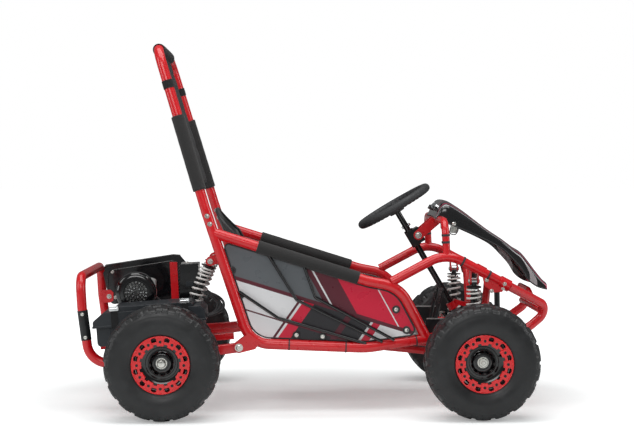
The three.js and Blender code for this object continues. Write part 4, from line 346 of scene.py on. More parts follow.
def join(shapes):
    """Several shapes as one."""
    points = np.concatenate([shape[0] for shape in shapes])
    faces = []
    start = 0
    for shape_points, shape_faces in shapes:
        faces += [[number + start for number in face] for face in shape_faces]
        start += len(shape_points)
    return points, faces


class Parts(list):
    """What a piece is made of, as pairs of a shape and its finish."""

    def __init__(self, finish="", *shapes):
        super().__init__()
        self.add(finish, *shapes)

    def add(self, finish, *shapes):
        """Adds shapes that have one finish."""
        self.extend((shape, finish) for shape in shapes)


def put(name, parts, body, nodes=(), bevel=0.0, sharp=38 * DEGREE):
    """Puts one piece into the scene from pairs of a shape and a finish, riding on a body of the part in place
    of some of its nodes. Edges sharper than the given angle stay sharp, or get a narrow bevel."""
    finishes = []
    numbers = []
    for shape, finish in parts:
        if finish not in finishes:
            finishes.append(finish)
        numbers += [finishes.index(finish)] * len(shape[1])
    points, faces = join([shape for shape, _ in parts])
    mesh = bpy.data.meshes.new(name)
    mesh.from_pydata((points * MM).tolist(), [], faces)
    for finish in finishes:
        mesh.materials.append(finish_named(finish))
    mesh.polygons.foreach_set("material_index", numbers)
    face_out(mesh)
    mesh.shade_smooth()
    mesh.set_sharp_from_angle(angle=sharp)
    piece = bpy.data.objects.new(name, mesh)
    bpy.context.scene.collection.objects.link(piece)
    if bevel:
        edges = piece.modifiers.new("edges", "BEVEL")
        edges.width = bevel * MM
        edges.segments = 2
        edges.limit_method = "ANGLE"
        edges.angle_limit = sharp
        edges.harden_normals = True
    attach(piece, body)
    if nodes:
        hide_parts(*nodes)
    return piece


def face_out(mesh):
    """Turns the faces of a mesh of closed shapes outwards."""
    work = bmesh.new()
    work.from_mesh(mesh)
    bmesh.ops.recalc_face_normals(work, faces=work.faces)
    work.to_mesh(mesh)
    work.free()


# Finishes. Each one reads the object's own coordinates, in metres.

def add(tree, kind, inputs=None, **settings):
    """Adds a shader node, with links or values for the inputs that are named."""
    node = tree.nodes.new(kind)
    for name, value in settings.items():
        setattr(node, name, value)
    for name, value in (inputs or {}).items():
        if isinstance(value, bpy.types.NodeSocket):
            tree.links.new(value, node.inputs[name])
        else:
            node.inputs[name].default_value = value
    return node


def new_finish(name, values=None):
    """A material with its shader and the object's coordinates, and values for the shader's own sockets."""
    material = bpy.data.materials.new(name)
    material.use_nodes = True
    tree = material.node_tree
    shader = tree.nodes["Principled BSDF"]
    for socket, value in (values or {}).items():
        shader.inputs[socket].default_value = value
    coordinates = add(tree, "ShaderNodeTexCoord").outputs["Object"]
    return material, tree, shader, coordinates


def noise(tree, coordinates, size, detail=3.0, stretch=None):
    """Cloudy noise whose spots are about the given size in millimetres, stretched along an axis if asked."""
    if stretch:
        mapping = {"Vector": coordinates, "Scale": stretch}
        coordinates = add(tree, "ShaderNodeMapping", mapping).outputs["Vector"]
    inputs = {"Vector": coordinates, "Scale": 1 / (size * MM), "Detail": detail}
    return add(tree, "ShaderNodeTexNoise", inputs).outputs["Fac"]


def ramp(tree, value, stops, constant=False):
    """A run of colours over a value from zero to one."""
    node = add(tree, "ShaderNodeValToRGB", {"Fac": value})
    node.color_ramp.interpolation = "CONSTANT" if constant else "LINEAR"
    elements = node.color_ramp.elements
    while len(elements) < len(stops):
        elements.new(0.5)
    for element, (place, colour) in zip(elements, stops):
        element.position = place
        element.color = (*colour, 1)
    return node.outputs["Color"]


def spread(tree, value, low, high):
    """A noise value spread over a range, taking the middle of the noise as its whole run."""
    inputs = {"Value": value, "From Min": 0.35, "From Max": 0.65, "To Min": low, "To Max": high}
    return add(tree, "ShaderNodeMapRange", inputs).outputs["Result"]


def bumped(tree, shader, height, strength, depth):
    """Gives the shader a relief of the given depth in millimetres."""
    inputs = {"Height": height, "Strength": strength, "Distance": depth * MM}
    tree.links.new(add(tree, "ShaderNodeBump", inputs).outputs["Normal"], shader.inputs["Normal"])


def mottled(tree, shader, coordinates, colour, size, low=0.88, high=1.1):
    """Colours the shader with one colour that drifts a little darker and lighter over the surface."""
    colour = np.array(colour[:3])
    cloud = noise(tree, coordinates, size, 4)
    stops = [(0.3, np.clip(colour * low, 0, 1)), (0.7, np.clip(colour * high, 0, 1))]
    tree.links.new(ramp(tree, cloud, stops), shader.inputs["Base Color"])


def rubbed(tree, shader, coordinates, size, low, high):
    """Lets the roughness drift between two values, as a handled surface does."""
    value = spread(tree, noise(tree, coordinates, size, 5), low, high)
    tree.links.new(value, shader.inputs["Roughness"])


def coated(name, colour, drift, rub, grain, values=None):
    """A finish of one colour. Drift holds the size of its spots, with the darkest and lightest as factors,
    rub the size of its rubbed places with the lowest and highest roughness, and grain the strength, depth and
    size of its relief."""
    material, tree, shader, coordinates = new_finish(name, values)
    mottled(tree, shader, coordinates, colour, *drift)
    rubbed(tree, shader, coordinates, *rub)
    bumped(tree, shader, noise(tree, coordinates, *grain[2:]), *grain[:2])
    return material


def red_paint():
    """Glossy powder coat: clear over red, with a fine orange-peel relief."""
    values = {"Coat Weight": 0.45, "Coat Roughness": 0.08}
    return coated("red_paint", colours().frame, (60, 0.92, 1.06), (25, 0.26, 0.36), (0.15, 0.06, 9), values)


def ring_red():
    """The same coat on the wheels' rings, a little brighter."""
    values = {"Coat Weight": 0.5, "Coat Roughness": 0.12}
    return coated("ring_red", colours().rings, (30, 0.92, 1.06), (12, 0.25, 0.4), (0.15, 0.05, 5), values)


def gloss_black():
    """Black enamel with a clear shine."""
    values = {"Coat Weight": 0.6, "Coat Roughness": 0.06}
    return coated("gloss_black", (0.004, 0.004, 0.005), (40,), (20, 0.10, 0.2), (0.2, 0.1, 3), values)


def satin_black():
    """Powder-coated steel: dull black with a fine grain."""
    return coated("satin_black", (0.009, 0.010, 0.011), (35, 0.8, 1.25), (18, 0.28, 0.42), (0.3, 0.12, 0.9))


def foam():
    """Closed-cell foam: dark grey, rough, with fine pores."""
    material, tree, shader, coordinates = new_finish("foam", {"Roughness": 0.92, "Sheen Weight": 0.12})
    pores = add(tree, "ShaderNodeTexVoronoi", {"Vector": coordinates, "Scale": 620.0}).outputs["Distance"]
    shade = np.array(colours().foam[:3])
    stops = [(0.0, shade * 0.55), (0.35, shade), (0.8, shade * 1.25)]
    tree.links.new(ramp(tree, pores, stops), shader.inputs["Base Color"])
    bumped(tree, shader, pores, 0.5, 0.5)
    return material


def woven_black():
    """Woven nylon: two crossing runs of threads."""
    values = {"Roughness": 0.85, "Sheen Weight": 0.05}
    material, tree, shader, coordinates = new_finish("woven_black", values)
    threads = []
    for axis in ("Y", "Z"):
        inputs = {"Vector": coordinates, "Scale": 170.0, "Distortion": 0.4, "Detail": 1.0}
        wave = add(tree, "ShaderNodeTexWave", inputs, bands_direction=axis)
        threads.append(wave.outputs["Fac"])
    inputs = {0: threads[0], 1: threads[1]}
    weave = add(tree, "ShaderNodeMath", inputs, operation="MULTIPLY").outputs["Value"]
    stops = [(0.0, (0.004, 0.004, 0.005)), (1.0, (0.014, 0.014, 0.015))]
    tree.links.new(ramp(tree, weave, stops), shader.inputs["Base Color"])
    bumped(tree, shader, weave, 0.5, 0.35)
    return material


def tyre_rubber():
    """Moulded rubber, dusted a little lighter in places."""
    material, tree, shader, coordinates = new_finish("tyre_rubber")
    shade = np.array(colours().tyre[:3])
    dust = noise(tree, coordinates, 45, 6)
    stops = [(0.3, shade * 0.75), (0.55, shade), (0.75, shade * 1.6)]
    tree.links.new(ramp(tree, dust, stops), shader.inputs["Base Color"])
    rubbed(tree, shader, coordinates, 30, 0.36, 0.5)
    bumped(tree, shader, noise(tree, coordinates, 1.4, 4), 0.25, 0.15)
    return material


def soft_rubber():
    """Moulded grip rubber with a fine leather-like grain."""
    material, tree, shader, coordinates = new_finish("soft_rubber")
    mottled(tree, shader, coordinates, (0.030, 0.031, 0.033), 30, 0.85, 1.2)
    rubbed(tree, shader, coordinates, 14, 0.5, 0.66)
    cells = add(tree, "ShaderNodeTexVoronoi", {"Vector": coordinates, "Scale": 700.0}).outputs["Distance"]
    bumped(tree, shader, cells, 0.3, 0.25)
    return material


def moulded_plastic(name, colour, low, high):
    """Injection-moulded plastic with a stippled surface."""
    return coated(name, colour, (55, 0.85, 1.15), (22, low, high), (0.35, 0.12, 0.8, 2))


def box_plastic():
    """The battery box: blue-grey plastic."""
    return moulded_plastic("box_plastic", (0.017, 0.021, 0.026), 0.32, 0.46)


def seat_plastic():
    """The seat: blow-moulded black plastic."""
    return moulded_plastic("seat_plastic", (0.022, 0.023, 0.024), 0.26, 0.4)


def bright_metal(name, colour, low, high, size):
    """Bare or plated metal with faint rubbed streaks."""
    rub, grain = (size / 2, low, high), (0.15, 0.06, size / 8, 2)
    return coated(name, colour, (size, 0.82, 1.05), rub, grain, {"Metallic": 1.0})


def chrome():
    """Polished plating on buckles, eyes and the key."""
    return bright_metal("chrome", (0.86, 0.87, 0.88), 0.05, 0.16, 12)


def zinc():
    """Zinc-plated bolts: pale and slightly yellow."""
    return bright_metal("zinc", (0.78, 0.77, 0.72), 0.2, 0.36, 8)


def steel():
    """Machined steel of the axle, chain, disc and rods."""
    return bright_metal("steel", (0.52, 0.52, 0.53), 0.22, 0.38, 10)


def aluminium():
    """Rolled sheet: its grain runs along the kart."""
    material, tree, shader, coordinates = new_finish("aluminium", {"Metallic": 0.9})
    grain = noise(tree, coordinates, 2.5, 4, (0.06, 1, 1))
    stops = [(0.3, (0.42, 0.42, 0.41)), (0.7, (0.60, 0.60, 0.59))]
    tree.links.new(ramp(tree, grain, stops), shader.inputs["Base Color"])
    tree.links.new(spread(tree, grain, 0.28, 0.5), shader.inputs["Roughness"])
    bumped(tree, shader, grain, 0.2, 0.1)
    return material


def spring_white():
    """White powder coat with slightly worn runs."""
    material, tree, shader, coordinates = new_finish("spring_white", {"Coat Weight": 0.3})
    worn = noise(tree, coordinates, 9, 5)
    stops = [(0.28, (0.42, 0.39, 0.36)), (0.42, (0.74, 0.72, 0.69)), (0.7, (0.86, 0.85, 0.83))]
    tree.links.new(ramp(tree, worn, stops), shader.inputs["Base Color"])
    rubbed(tree, shader, coordinates, 6, 0.25, 0.42)
    bumped(tree, shader, worn, 0.15, 0.1)
    return material


def slanted(tree, coordinates, way, start, length):
    """How far a place lies along a slanted way, in millimetres: zero at the start, one a length further."""
    inputs = {0: coordinates, 1: tuple(unit(way))}
    along = add(tree, "ShaderNodeVectorMath", inputs, operation="DOT_PRODUCT").outputs["Value"]
    inputs = {"Value": along, "From Min": start * MM, "From Max": (start + length) * MM}
    return add(tree, "ShaderNodeMapRange", inputs).outputs["Result"]


def blended(tree, first, second, share):
    """A colour between two others, from a link or a plain colour each."""
    node = add(tree, "ShaderNodeMix", data_type="RGBA")
    for socket, value in zip((node.inputs[0], node.inputs[6], node.inputs[7]), (share, first, second)):
        if isinstance(value, bpy.types.NodeSocket):
            tree.links.new(value, socket)
        else:
            socket.default_value = value
    return node.outputs[2]


def panel_print():
    """The side panels' print: slanting bands in grey, maroon and red below the rail, and bands that slant the
    other way in white, red and black under them, on a satin film."""
    material, tree, shader, coordinates = new_finish("panel_print")
    grey, maroon, red = (0.115, 0.125, 0.135), (0.105, 0.010, 0.022), (0.64, 0.006, 0.040)
    white, black = (0.78, 0.78, 0.79), (0.022, 0.020, 0.024)
    bands = [(0.0, grey), (0.50, maroon), (0.53, white), (0.54, maroon), (0.66, red), (0.86, white)]
    bands += [(0.87, red)]
    upper = ramp(tree, slanted(tree, coordinates, (1, 0, 0.55), -40, 460), bands, constant=True)
    bands = [(0.0, white), (0.30, maroon), (0.315, white), (0.33, red), (0.40, black), (0.62, maroon)]
    bands += [(0.66, black), (0.78, white), (0.795, red), (0.84, white)]
    lower = ramp(tree, slanted(tree, coordinates, (1, 0, -0.7), -390, 470), bands, constant=True)
    under_rail = slanted(tree, coordinates, (-0.313, 0, -1), -446, 300)
    off, on = (0, 0, 0), (1, 1, 1)
    below = ramp(tree, under_rail, [(0.0, off), (0.40, on)], constant=True)
    stops = [(0.0, off), (0.36, on), (0.40, off), (0.66, on), (0.675, off)]
    line = ramp(tree, under_rail, stops, constant=True)
    mixed = blended(tree, blended(tree, upper, lower, below), (*maroon, 1), line)
    tree.links.new(mixed, shader.inputs["Base Color"])
    rubbed(tree, shader, coordinates, 40, 0.26, 0.38)
    bumped(tree, shader, noise(tree, coordinates, 1.2), 0.05, 0.05)
    return material


def cowl_black():
    """The nose cowl: polished black with thin pale and pink stripes along its shoulders."""
    values = {"Coat Weight": 0.8, "Coat Roughness": 0.05}
    material, tree, shader, coordinates = new_finish("cowl_black", values)
    sideways = add(tree, "ShaderNodeSeparateXYZ", {"Vector": coordinates}).outputs["Y"]
    out = add(tree, "ShaderNodeMath", {0: sideways}, operation="ABSOLUTE").outputs["Value"]
    inputs = {"Value": out, "From Max": COWL["half"] * MM}
    share = add(tree, "ShaderNodeMapRange", inputs).outputs["Result"]
    black, pink, pale = (0.008, 0.008, 0.009), (0.42, 0.03, 0.09), (0.36, 0.34, 0.35)
    stops = [(0.0, black), (0.55, pink), (0.565, black), (0.86, pink), (0.885, black)]
    stops += [(0.92, pale), (0.935, black)]
    tree.links.new(ramp(tree, share, stops, constant=True), shader.inputs["Base Color"])
    rubbed(tree, shader, coordinates, 30, 0.10, 0.22)
    bumped(tree, shader, noise(tree, coordinates, 4), 0.12, 0.1)
    return material


FINISHES = {
    "red": red_paint,
    "ring red": ring_red,
    "gloss black": gloss_black,
    "satin black": satin_black,
    "foam": foam,
    "woven": woven_black,
    "tyre": tyre_rubber,
    "rubber": soft_rubber,
    "box": box_plastic,
    "seat": seat_plastic,
    "chrome": chrome,
    "zinc": zinc,
    "steel": steel,
    "aluminium": aluminium,
    "white": spring_white,
    "print": panel_print,
    "cowl": cowl_black,
}
MADE = {}


def finish_named(name):
    """The finish of that name, made when it is first asked for."""
    if name not in MADE:
        MADE[name] = FINISHES[name]()
    return MADE[name]


# Side frames, roll hoop and their pads

def at_side(corners, y, last_y=None):
    """Points of the side view as points in space, the last one at a distance of its own."""
    points = [(x, y, z) for x, z in corners]
    if last_y is not None:
        points[-1] = (points[-1][0], last_y, points[-1][2])
    return points


def rail_z(x):
    """Height of the top rail's middle line at a place along the kart."""
    return between(RAIL_BACK[1], RAIL_DIP[1], (x - RAIL_BACK[0]) / (RAIL_DIP[0] - RAIL_BACK[0]))


def sill_z(x):
    """Height of the sill's middle line at a place along the kart."""
    if x < SILL[0]:
        return between(KNEE[1], SILL[1], (x - KNEE[0]) / (SILL[0] - KNEE[0]))
    return between(SILL[1], TOE[1], (x - SILL[0]) / (TOE[0] - SILL[0]))


TIE = {"width": 4.0, "thickness": 1.4}
SILL_TIES = (-84.0, 94.0)
TOE_TIE = 316.0
SOCKET_BOLTS = ((-339.5, 621.0), (-331.0, 596.0))
CHEEK = {"outside": 14.0, "inside": 16.0, "thickness": 4.0, "pin": 7.6, "pin_past": 10.0, "head": 9.0}
CHEEK_FROM_PIN = ((9.0, -15.3), (-9.0, -15.3), (-18.0, 0.0), (-12.6, 12.6))
CHEEK_FROM_KNEE = ((-4.0, 34.0), (34.0, 6.0), (17.0, -16.5))
CHEEK_CORNERS = (7, 7, 7, 7, 3, 3, 3)
HOOP_SPIGOT = 60.0


def tie_band(centre, way, radius, width=TIE["width"]):
    """A flat tie drawn round a tube."""
    return collar(radius, radius + TIE["thickness"], -width / 2, width / 2, centre, way)


def hinge_cheeks(hand):
    """The two plates that hold the swinging carriage's hinge, and the bolt through them."""
    x, z = PIVOT
    outline = np.concatenate([np.add(CHEEK_FROM_PIN, PIVOT), np.add(CHEEK_FROM_KNEE, KNEE)])
    outline = rounded(outline, CHEEK_CORNERS)
    wall = hand * CHEEK["thickness"]
    outer, inner = hand * (SIDE_Y + CHEEK["outside"]), hand * (SIDE_Y - CHEEK["inside"])
    cheeks = join([plate(outline, outer, outer + wall), plate(outline, inner, inner - wall)])
    head = bolt((x, outer + wall, z), (0, hand, 0), CHEEK["head"], 7, 24)
    shank = rod((x, inner - hand * CHEEK["pin_past"], z), (x, outer, z), CHEEK["pin"])
    return cheeks, join([head, shank])


def build_side_frame(side):
    """One side of the frame: the bent loop, the top rail, the guard rods and the hinge bracket."""
    hand = HANDS[side]
    y, toe_y = hand * SIDE_Y, hand * TOE_Y
    loop = bent(at_side((SOCKET, KNEE, SILL, TOE), y, toe_y), LOOP_BENDS)
    rail = bent(at_side((RAIL_BACK, RAIL_DIP, SHOULDER, TOE), y, toe_y), RAIL_BENDS)
    parts = Parts("red", tube(loop, SIDE_RADIUS, 28), tube(rail, SIDE_RADIUS, 28))
    for corners in GUARD_ROUTES:
        route = bent(at_side(corners, hand * GUARD_ROD["y"]), GUARD_ROD["bend"])
        parts.add("gloss black", tube(route, GUARD_ROD["radius"], 14))
    cheeks, pin = hinge_cheeks(hand)
    parts.add("red", cheeks)
    parts.add("zinc", pin)
    for x, z in SOCKET_BOLTS:
        for way in (hand, -hand):
            parts.add("zinc", bolt((x, y + way * (SIDE_RADIUS - 1), z), (0, way, 0), 5.5, 6))
    knee, sill, toe = (np.array(place) for place in at_side((KNEE, SILL, TOE), y, toe_y))
    for x in SILL_TIES:
        parts.add("rubber", tie_band((x, y, sill_z(x)), sill - knee, SIDE_RADIUS))
    place = between(sill, toe, (TOE_TIE - SILL[0]) / (TOE[0] - SILL[0]))
    parts.add("rubber", tie_band(place, toe - sill, SIDE_RADIUS))
    put(f"side_tubes_{side}", parts, "chassis", [f"side_frame_{side}"])


def hoop_place(hand, share):
    """A place on the hoop's leg, from the socket to the corner at its top."""
    foot = np.array([SOCKET[0], hand * SIDE_Y, SOCKET[1]])
    return between(foot, np.array([HOOP_TOP[0], hand * HOOP_HALF, HOOP_TOP[1]]), share)


def build_roll_hoop():
    """The roll hoop: one tube from socket to socket."""
    corners = []
    for hand in (RIGHT, LEFT):
        socket = np.array([SOCKET[0], hand * SIDE_Y, SOCKET[1]])
        down = unit(np.array([KNEE[0], hand * SIDE_Y, KNEE[1]]) - socket)
        leg = [socket + down * HOOP_SPIGOT, socket, hoop_place(hand, 1)]
        corners += leg if hand == RIGHT else leg[::-1]
    parts = Parts("red", tube(bent(corners, HOOP_BEND), HOOP_RADIUS, 28))
    put("hoop_tube", parts, "chassis", ["roll_hoop"])


FOAM = {"roll": 2.5, "waist": 0.25}


def foam_cover(start, end, inner, outer):
    """A foam tube with rolled ends, quarter circles, and slight waists, as foam that is pulled over a rail
    keeps: radius = outer - waist sin^2."""
    share = np.concatenate([[0, 0.003, 0.01], np.linspace(0.02, 0.98, 40), [0.99, 0.997, 1]])
    from_end = np.minimum(share, 1 - share) * np.linalg.norm(end - start)
    rise = np.sqrt(1 - (1 - np.clip(from_end / FOAM["roll"], 0, 1)) ** 2)
    radius = outer - FOAM["roll"] * (1 - rise) - FOAM["waist"] * np.sin(share * 19) ** 2
    return sleeve(between(start, end, share[:, None]), inner, radius, 32)


def build_pads():
    """The foam sleeves on the hoop's legs and the foam pads on the top rails."""
    for side, hand in HANDS.items():
        ends = [hoop_place(hand, SLEEVE[key]) for key in ("start", "end")]
        cover = foam_cover(*ends, HOOP_RADIUS + GAP / 2, SLEEVE["radius"])
        piece = put(f"hoop_foam_{side}", Parts("foam", cover), "chassis", [f"hoop_sleeve_{side}"])
        ends = [np.array([x, hand * SIDE_Y, rail_z(x)]) for x in (RAIL_PAD["start"], RAIL_PAD["end"])]
        cover = foam_cover(*ends, SIDE_RADIUS + GAP / 2, RAIL_PAD["radius"])
        piece = put(f"rail_foam_{side}", Parts("foam", cover), "chassis", [f"rail_pad_{side}"])


HEADREST = {"low_half": 226.0, "top_half": 165.0, "waist": 3.0, "thickness": 12.0, "channels": 7}
ROLL = {"reach": 194.0, "thickness": 5.0, "taper": 1.6, "pleat": 0.5, "strap": 26.0}
HEADREST_LOW_SHARE = 0.16
STRAP_SHARES = (0.775, 0.2)


def build_headrest():
    """The headrest: a thin quilted panel between the hoop's legs, whose thickness swells between its sewn
    channels and falls to the edge, under a roll round the top tube."""
    low, high = (hoop_place(RIGHT, share) * (1, 0, 1) for share in (HEADREST_LOW_SHARE, 1))
    up = unit(high - low)
    front = np.array([up[2], 0, -up[0]])
    share = np.linspace(0, 1, 90)[:, None]
    angle = np.linspace(0, TURN, 72, endpoint=False)[None]
    across = np.sign(np.cos(angle)) * np.abs(np.cos(angle)) ** 0.35
    half = between(HEADREST["low_half"], HEADREST["top_half"], share)
    half = half - HEADREST["waist"] * np.sin(np.pi * share)
    swell = 0.5 + 0.5 * np.abs(np.sin(np.pi * HEADREST["channels"] * share)) ** 0.6
    ends = np.clip(np.minimum(share, 1 - share) * 40, 0, 1) ** 0.5
    rim = np.clip(1 - np.abs(across) ** 12, 0, 1)
    thick = HEADREST["thickness"] / 2 * np.sin(angle) * swell * ends * (0.35 + 0.65 * rim)
    points = between(low, high, share[..., None]) + front * thick[..., None]
    panel = grid(points + np.array([0, 1, 0]) * (half * across)[..., None], around=True, capped=True)
    share = np.linspace(-1, 1, 41)
    route = share[:, None] * (0, ROLL["reach"], 0) + (HOOP_TOP[0], 0, HOOP_TOP[1])
    bulge = ROLL["thickness"] - ROLL["taper"] * share ** 8 - ROLL["pleat"] * np.abs(np.sin(share * 14))
    roll = sleeve(route, HOOP_RADIUS + GAP / 2, HOOP_RADIUS + bulge, 32)
    piece = put("headrest", Parts("woven", panel, roll), "chassis", ["headrest_pad"])
    bands = Parts()
    for hand in (RIGHT, LEFT):
        way = hoop_place(hand, 1) - hoop_place(hand, 0)
        for share in STRAP_SHARES:
            bands.add("woven", tie_band(hoop_place(hand, share), way, HOOP_RADIUS + GAP, ROLL["strap"]))
    put("headrest_straps", bands, "chassis")


# Wheels

TYRE_HALF = (
    (78.9, 48.6), (82, 55), (88, 60.5), (96, 65), (108, 69.5), (122, 72.2), (136, 71.6),
    (147, 69.4), (156, 66.8), (163, 62.8), (169.5, 58), (174.5, 45), (177, 28), (177.5, 12), (177.5, 0),
)
TYRE_COLUMNS = 468
TYRE_PITCHES = 18
TYRE_INSIDE = ((76, 44), (90, 58), (130, 64), (165, 50), (170, 0))
TREAD_RADIUS = 157.0
RING = {"face": 63.5, "thickness": 5.0, "tabs": 12, "steps": 20, "outer": 88.5, "boss": 3.2, "bolts": 71.0}
RING_EDGE = {"at_tab": 57.5, "between": 63.5}
RING_OPENING = {"inner": 71.4, "outer": 84.4, "sag": 4.2}
BOSS_OUTLINE = ((58.5, -9.2), (58.5, 9.2), (66, 10), (79, 8.4), (79, -8.4), (66, -10))
LIP_PROFILE = ((85, -1), (88.5, -1), (88.5, 1), (87.4, 2), (85.6, 2), (85, 1.4))
CAP_PROFILE = ((THIN, 0), (4.4, 0), (4.4, 1.0), (3.8, 1.4), (2.2, 1.4), (2, 0.4), (THIN, 0.4))
HUB = {"face": 21.6, "washer": 17.0}
HEXAGON_PROFILE = ((14.6, 2), (14.6, 9), (13.2, 10.4), (THIN, 10.4))
DOME_PROFILE = ((12.4, 8), (12.4, 10.6), (11, 12.6), (7, 13.6), (THIN, 13.8))
THREAD_PROFILE = ((6.5, 8), (6.5, 13), (5.6, 13.8), (THIN, 13.8))
RIM_PROFILE = (
    (12.8, -30), (29, -30), (30, -29), (33, -14), (56, 0), (68, 6), (73, 4), (74, -8), (74, -51), (75, -53),
    (87, -59.5), (88.5, -58.5), (88, -57), (79.5, -50), (78.5, -48), (78.5, 48), (79.5, 50), (88, 57),
    (88.5, 58.4), (87, 59.5), (77, 54), (74.5, 50), (73.6, 30), (71, 22), (66, 17), (56, 14.5), (50, 14.5),
    (48.6, 16.4), (42, 16.6), (40.4, 14.6), (34, 15), (31.5, 17), (30, 20.4), (28.6, 21.4), (22.4, 21.4),
    (21.4, 20), (12.8, 20),
)


def tyre_shape(centre):
    """The tyre's section carried round the axle. Where the tread lies, its radius falls by the lug depth
    outside the lugs: shoulder lugs in pairs, and leaning centre lugs that change sides from one pitch to the
    next. Low rings and ribs stand on the sidewall."""
    half = curve(np.array(TYRE_HALF), 3)
    outside = np.concatenate([half * (1, -1), half[-2::-1]])
    inner = np.array(TYRE_INSIDE)
    section = np.concatenate([outside, inner, inner[-2::-1] * (1, -1)])
    radius, y = section[:, None, 0], section[:, None, 1]
    angle = np.linspace(0, TURN, TYRE_COLUMNS, endpoint=False)[None]
    turn = angle / TURN * TYRE_PITCHES
    depth = sizes().lug_depth / MM
    tread = np.clip((radius - TREAD_RADIUS) / 5, 0, 1) * (np.arange(len(section))[:, None] < len(outside))
    shoulder = np.clip((np.abs(y) - 36) / 4, 0, 1)
    phase = (turn + np.where(y > 0, 0.5, 0)) % 1
    outer_lug = np.clip(np.minimum(phase - 0.08, 0.74 - phase) * 22, 0, 1)
    notch = np.clip(np.abs(phase - 0.42) * 26 - 0.6, 0, 1) + np.clip((58 - np.abs(y)) / 3, 0, 1)
    outer_lug = outer_lug * np.clip(notch, 0, 1)
    lean = (turn + 0.012 * y) % 1
    centre_lug = np.clip(np.minimum(lean - 0.12, 0.6 - lean) * 22, 0, 1)
    centre_lug = centre_lug * np.clip((31 - np.abs(y)) / 3, 0, 1) * np.clip((np.abs(y) - 3) / 3, 0, 1)
    lug = np.maximum(outer_lug * shoulder, centre_lug)
    drop = depth * tread * (1 - lug)
    wall = np.clip((TREAD_RADIUS - radius) / 4, 0, 1) * np.clip((radius - 90) / 4, 0, 1)
    ribs = 1.1 * np.exp(-(((radius - 97) / 1.6) ** 2)) + 0.7 * np.exp(-(((radius - 150) / 1.4) ** 2))
    out = np.sign(y) * wall * (ribs - 0.5)
    points = polar(radius - drop, 0, centre) + (y + out)[..., None] * np.array([0, 1, 0])
    return grid(points, around=True, along=True)


def ring_shape(centre, hand):
    """The bolted ring of the wheel: a polar plate with a tab for each bolt, whose inner edge drops at the
    tabs, a curved opening between each two tabs, a boss on each tab and a lip round the outside. Distances
    round the ring are counted in degrees from the nearest tab."""
    columns = RING["tabs"] * RING["steps"]
    pitch = 360 / RING["tabs"]
    from_tab = np.abs((np.arange(columns) / RING["steps"] + 0.5) % 1 - 0.5) * pitch
    from_gap = pitch / 2 - from_tab
    inner = between(RING_EDGE["at_tab"], RING_EDGE["between"], np.clip((from_tab - 9) / 1.2, 0, 1))
    arch = RING_OPENING["outer"] - RING_OPENING["sag"] * (np.clip(from_gap, 0, 6.5) / 6.5) ** 2
    even = np.ones(columns)
    lines = np.stack([inner, RING_OPENING["inner"] * even, arch, RING["outer"] * even])
    keep = np.ones((3, columns), bool)
    keep[1] = (from_gap + np.roll(from_gap, -1)) / 2 > 6.3
    flat = pierced(polar(lines, hand * RING["face"], centre), keep, (0, -hand * RING["thickness"], 0))
    boss = plate(rounded(BOSS_OUTLINE, 1.4), -1, RING["boss"], "xy")
    outward = spokes(RING["tabs"])
    place = np.asarray(centre) + (0, hand * RING["face"], 0)
    places = np.broadcast_to(place, outward.shape)
    bosses = repeated(boss, places, outward, np.cross((0, hand, 0), outward), (0, hand, 0))
    return join([flat, bosses, turned(LIP_PROFILE, place, (0, hand, 0), 120, closed=True)])


def ring_bolts(centre, hand):
    """A small cap bolt on each tab of the ring."""
    outward = spokes(RING["tabs"])
    face = np.asarray(centre) + (0, hand * (RING["face"] + RING["boss"]), 0)
    cap = turned(CAP_PROFILE, (0, 0, 0), (0, 1, 0), 12)
    out = (0, hand, 0)
    return repeated(cap, face + outward * RING["bolts"], outward, out, np.cross(outward, out))


def hub_nut(centre, hand, domed):
    """The nut on the end of the axle: a washer, a hexagon and either a dome or the axle's threaded end."""
    place = np.asarray(centre) + (0, hand * HUB["face"], 0)
    out = (0, hand, 0)
    washer = disc(HUB["washer"], 0, 2.4, place, out, 32)
    end = turned(DOME_PROFILE, place, out, 28) if domed else turned(THREAD_PROFILE, place, out, 24)
    return join([washer, turned(HEXAGON_PROFILE, place, out, 6), end])


def build_wheels():
    """The four wheels: tyre, black rim, red ring, bolts, nut and valve."""
    for end, x in WHEEL_X.items():
        for side, hand in HANDS.items():
            centre = np.array([x, hand * HALF_TRACK, AXLE_Z])
            body = "rear_wheels" if end == "rear" else f"front_wheel_{side}"
            tyre = Parts("tyre", tyre_shape(centre))
            put(f"tyre_{end}_{side}", tyre, body, [f"{end}_tyre_{side}"], sharp=30 * DEGREE)
            rim = turned(np.array(RIM_PROFILE) * (1, hand), centre, (0, 1, 0), 96, closed=True)
            parts = Parts("gloss black", rim)
            parts.add("rubber", rod(centre + (50, hand * 14, 18), centre + (56, hand * 34, 20), 2.6, 12))
            put(f"rim_{end}_{side}", parts, body, [f"{end}_rim_{side}"])
            ring = Parts("ring red", ring_shape(centre, hand))
            put(f"bead_ring_{end}_{side}", ring, body, bevel=0.5)
            bolts = Parts("satin black", ring_bolts(centre, hand))
            put(f"ring_bolts_{end}_{side}", bolts, body)
            nut = Parts("zinc", hub_nut(centre, hand, end == "rear"))
            put(f"hub_nut_{end}_{side}", nut, body)


# Drive: axle, sprocket, brake disc, chain, motor

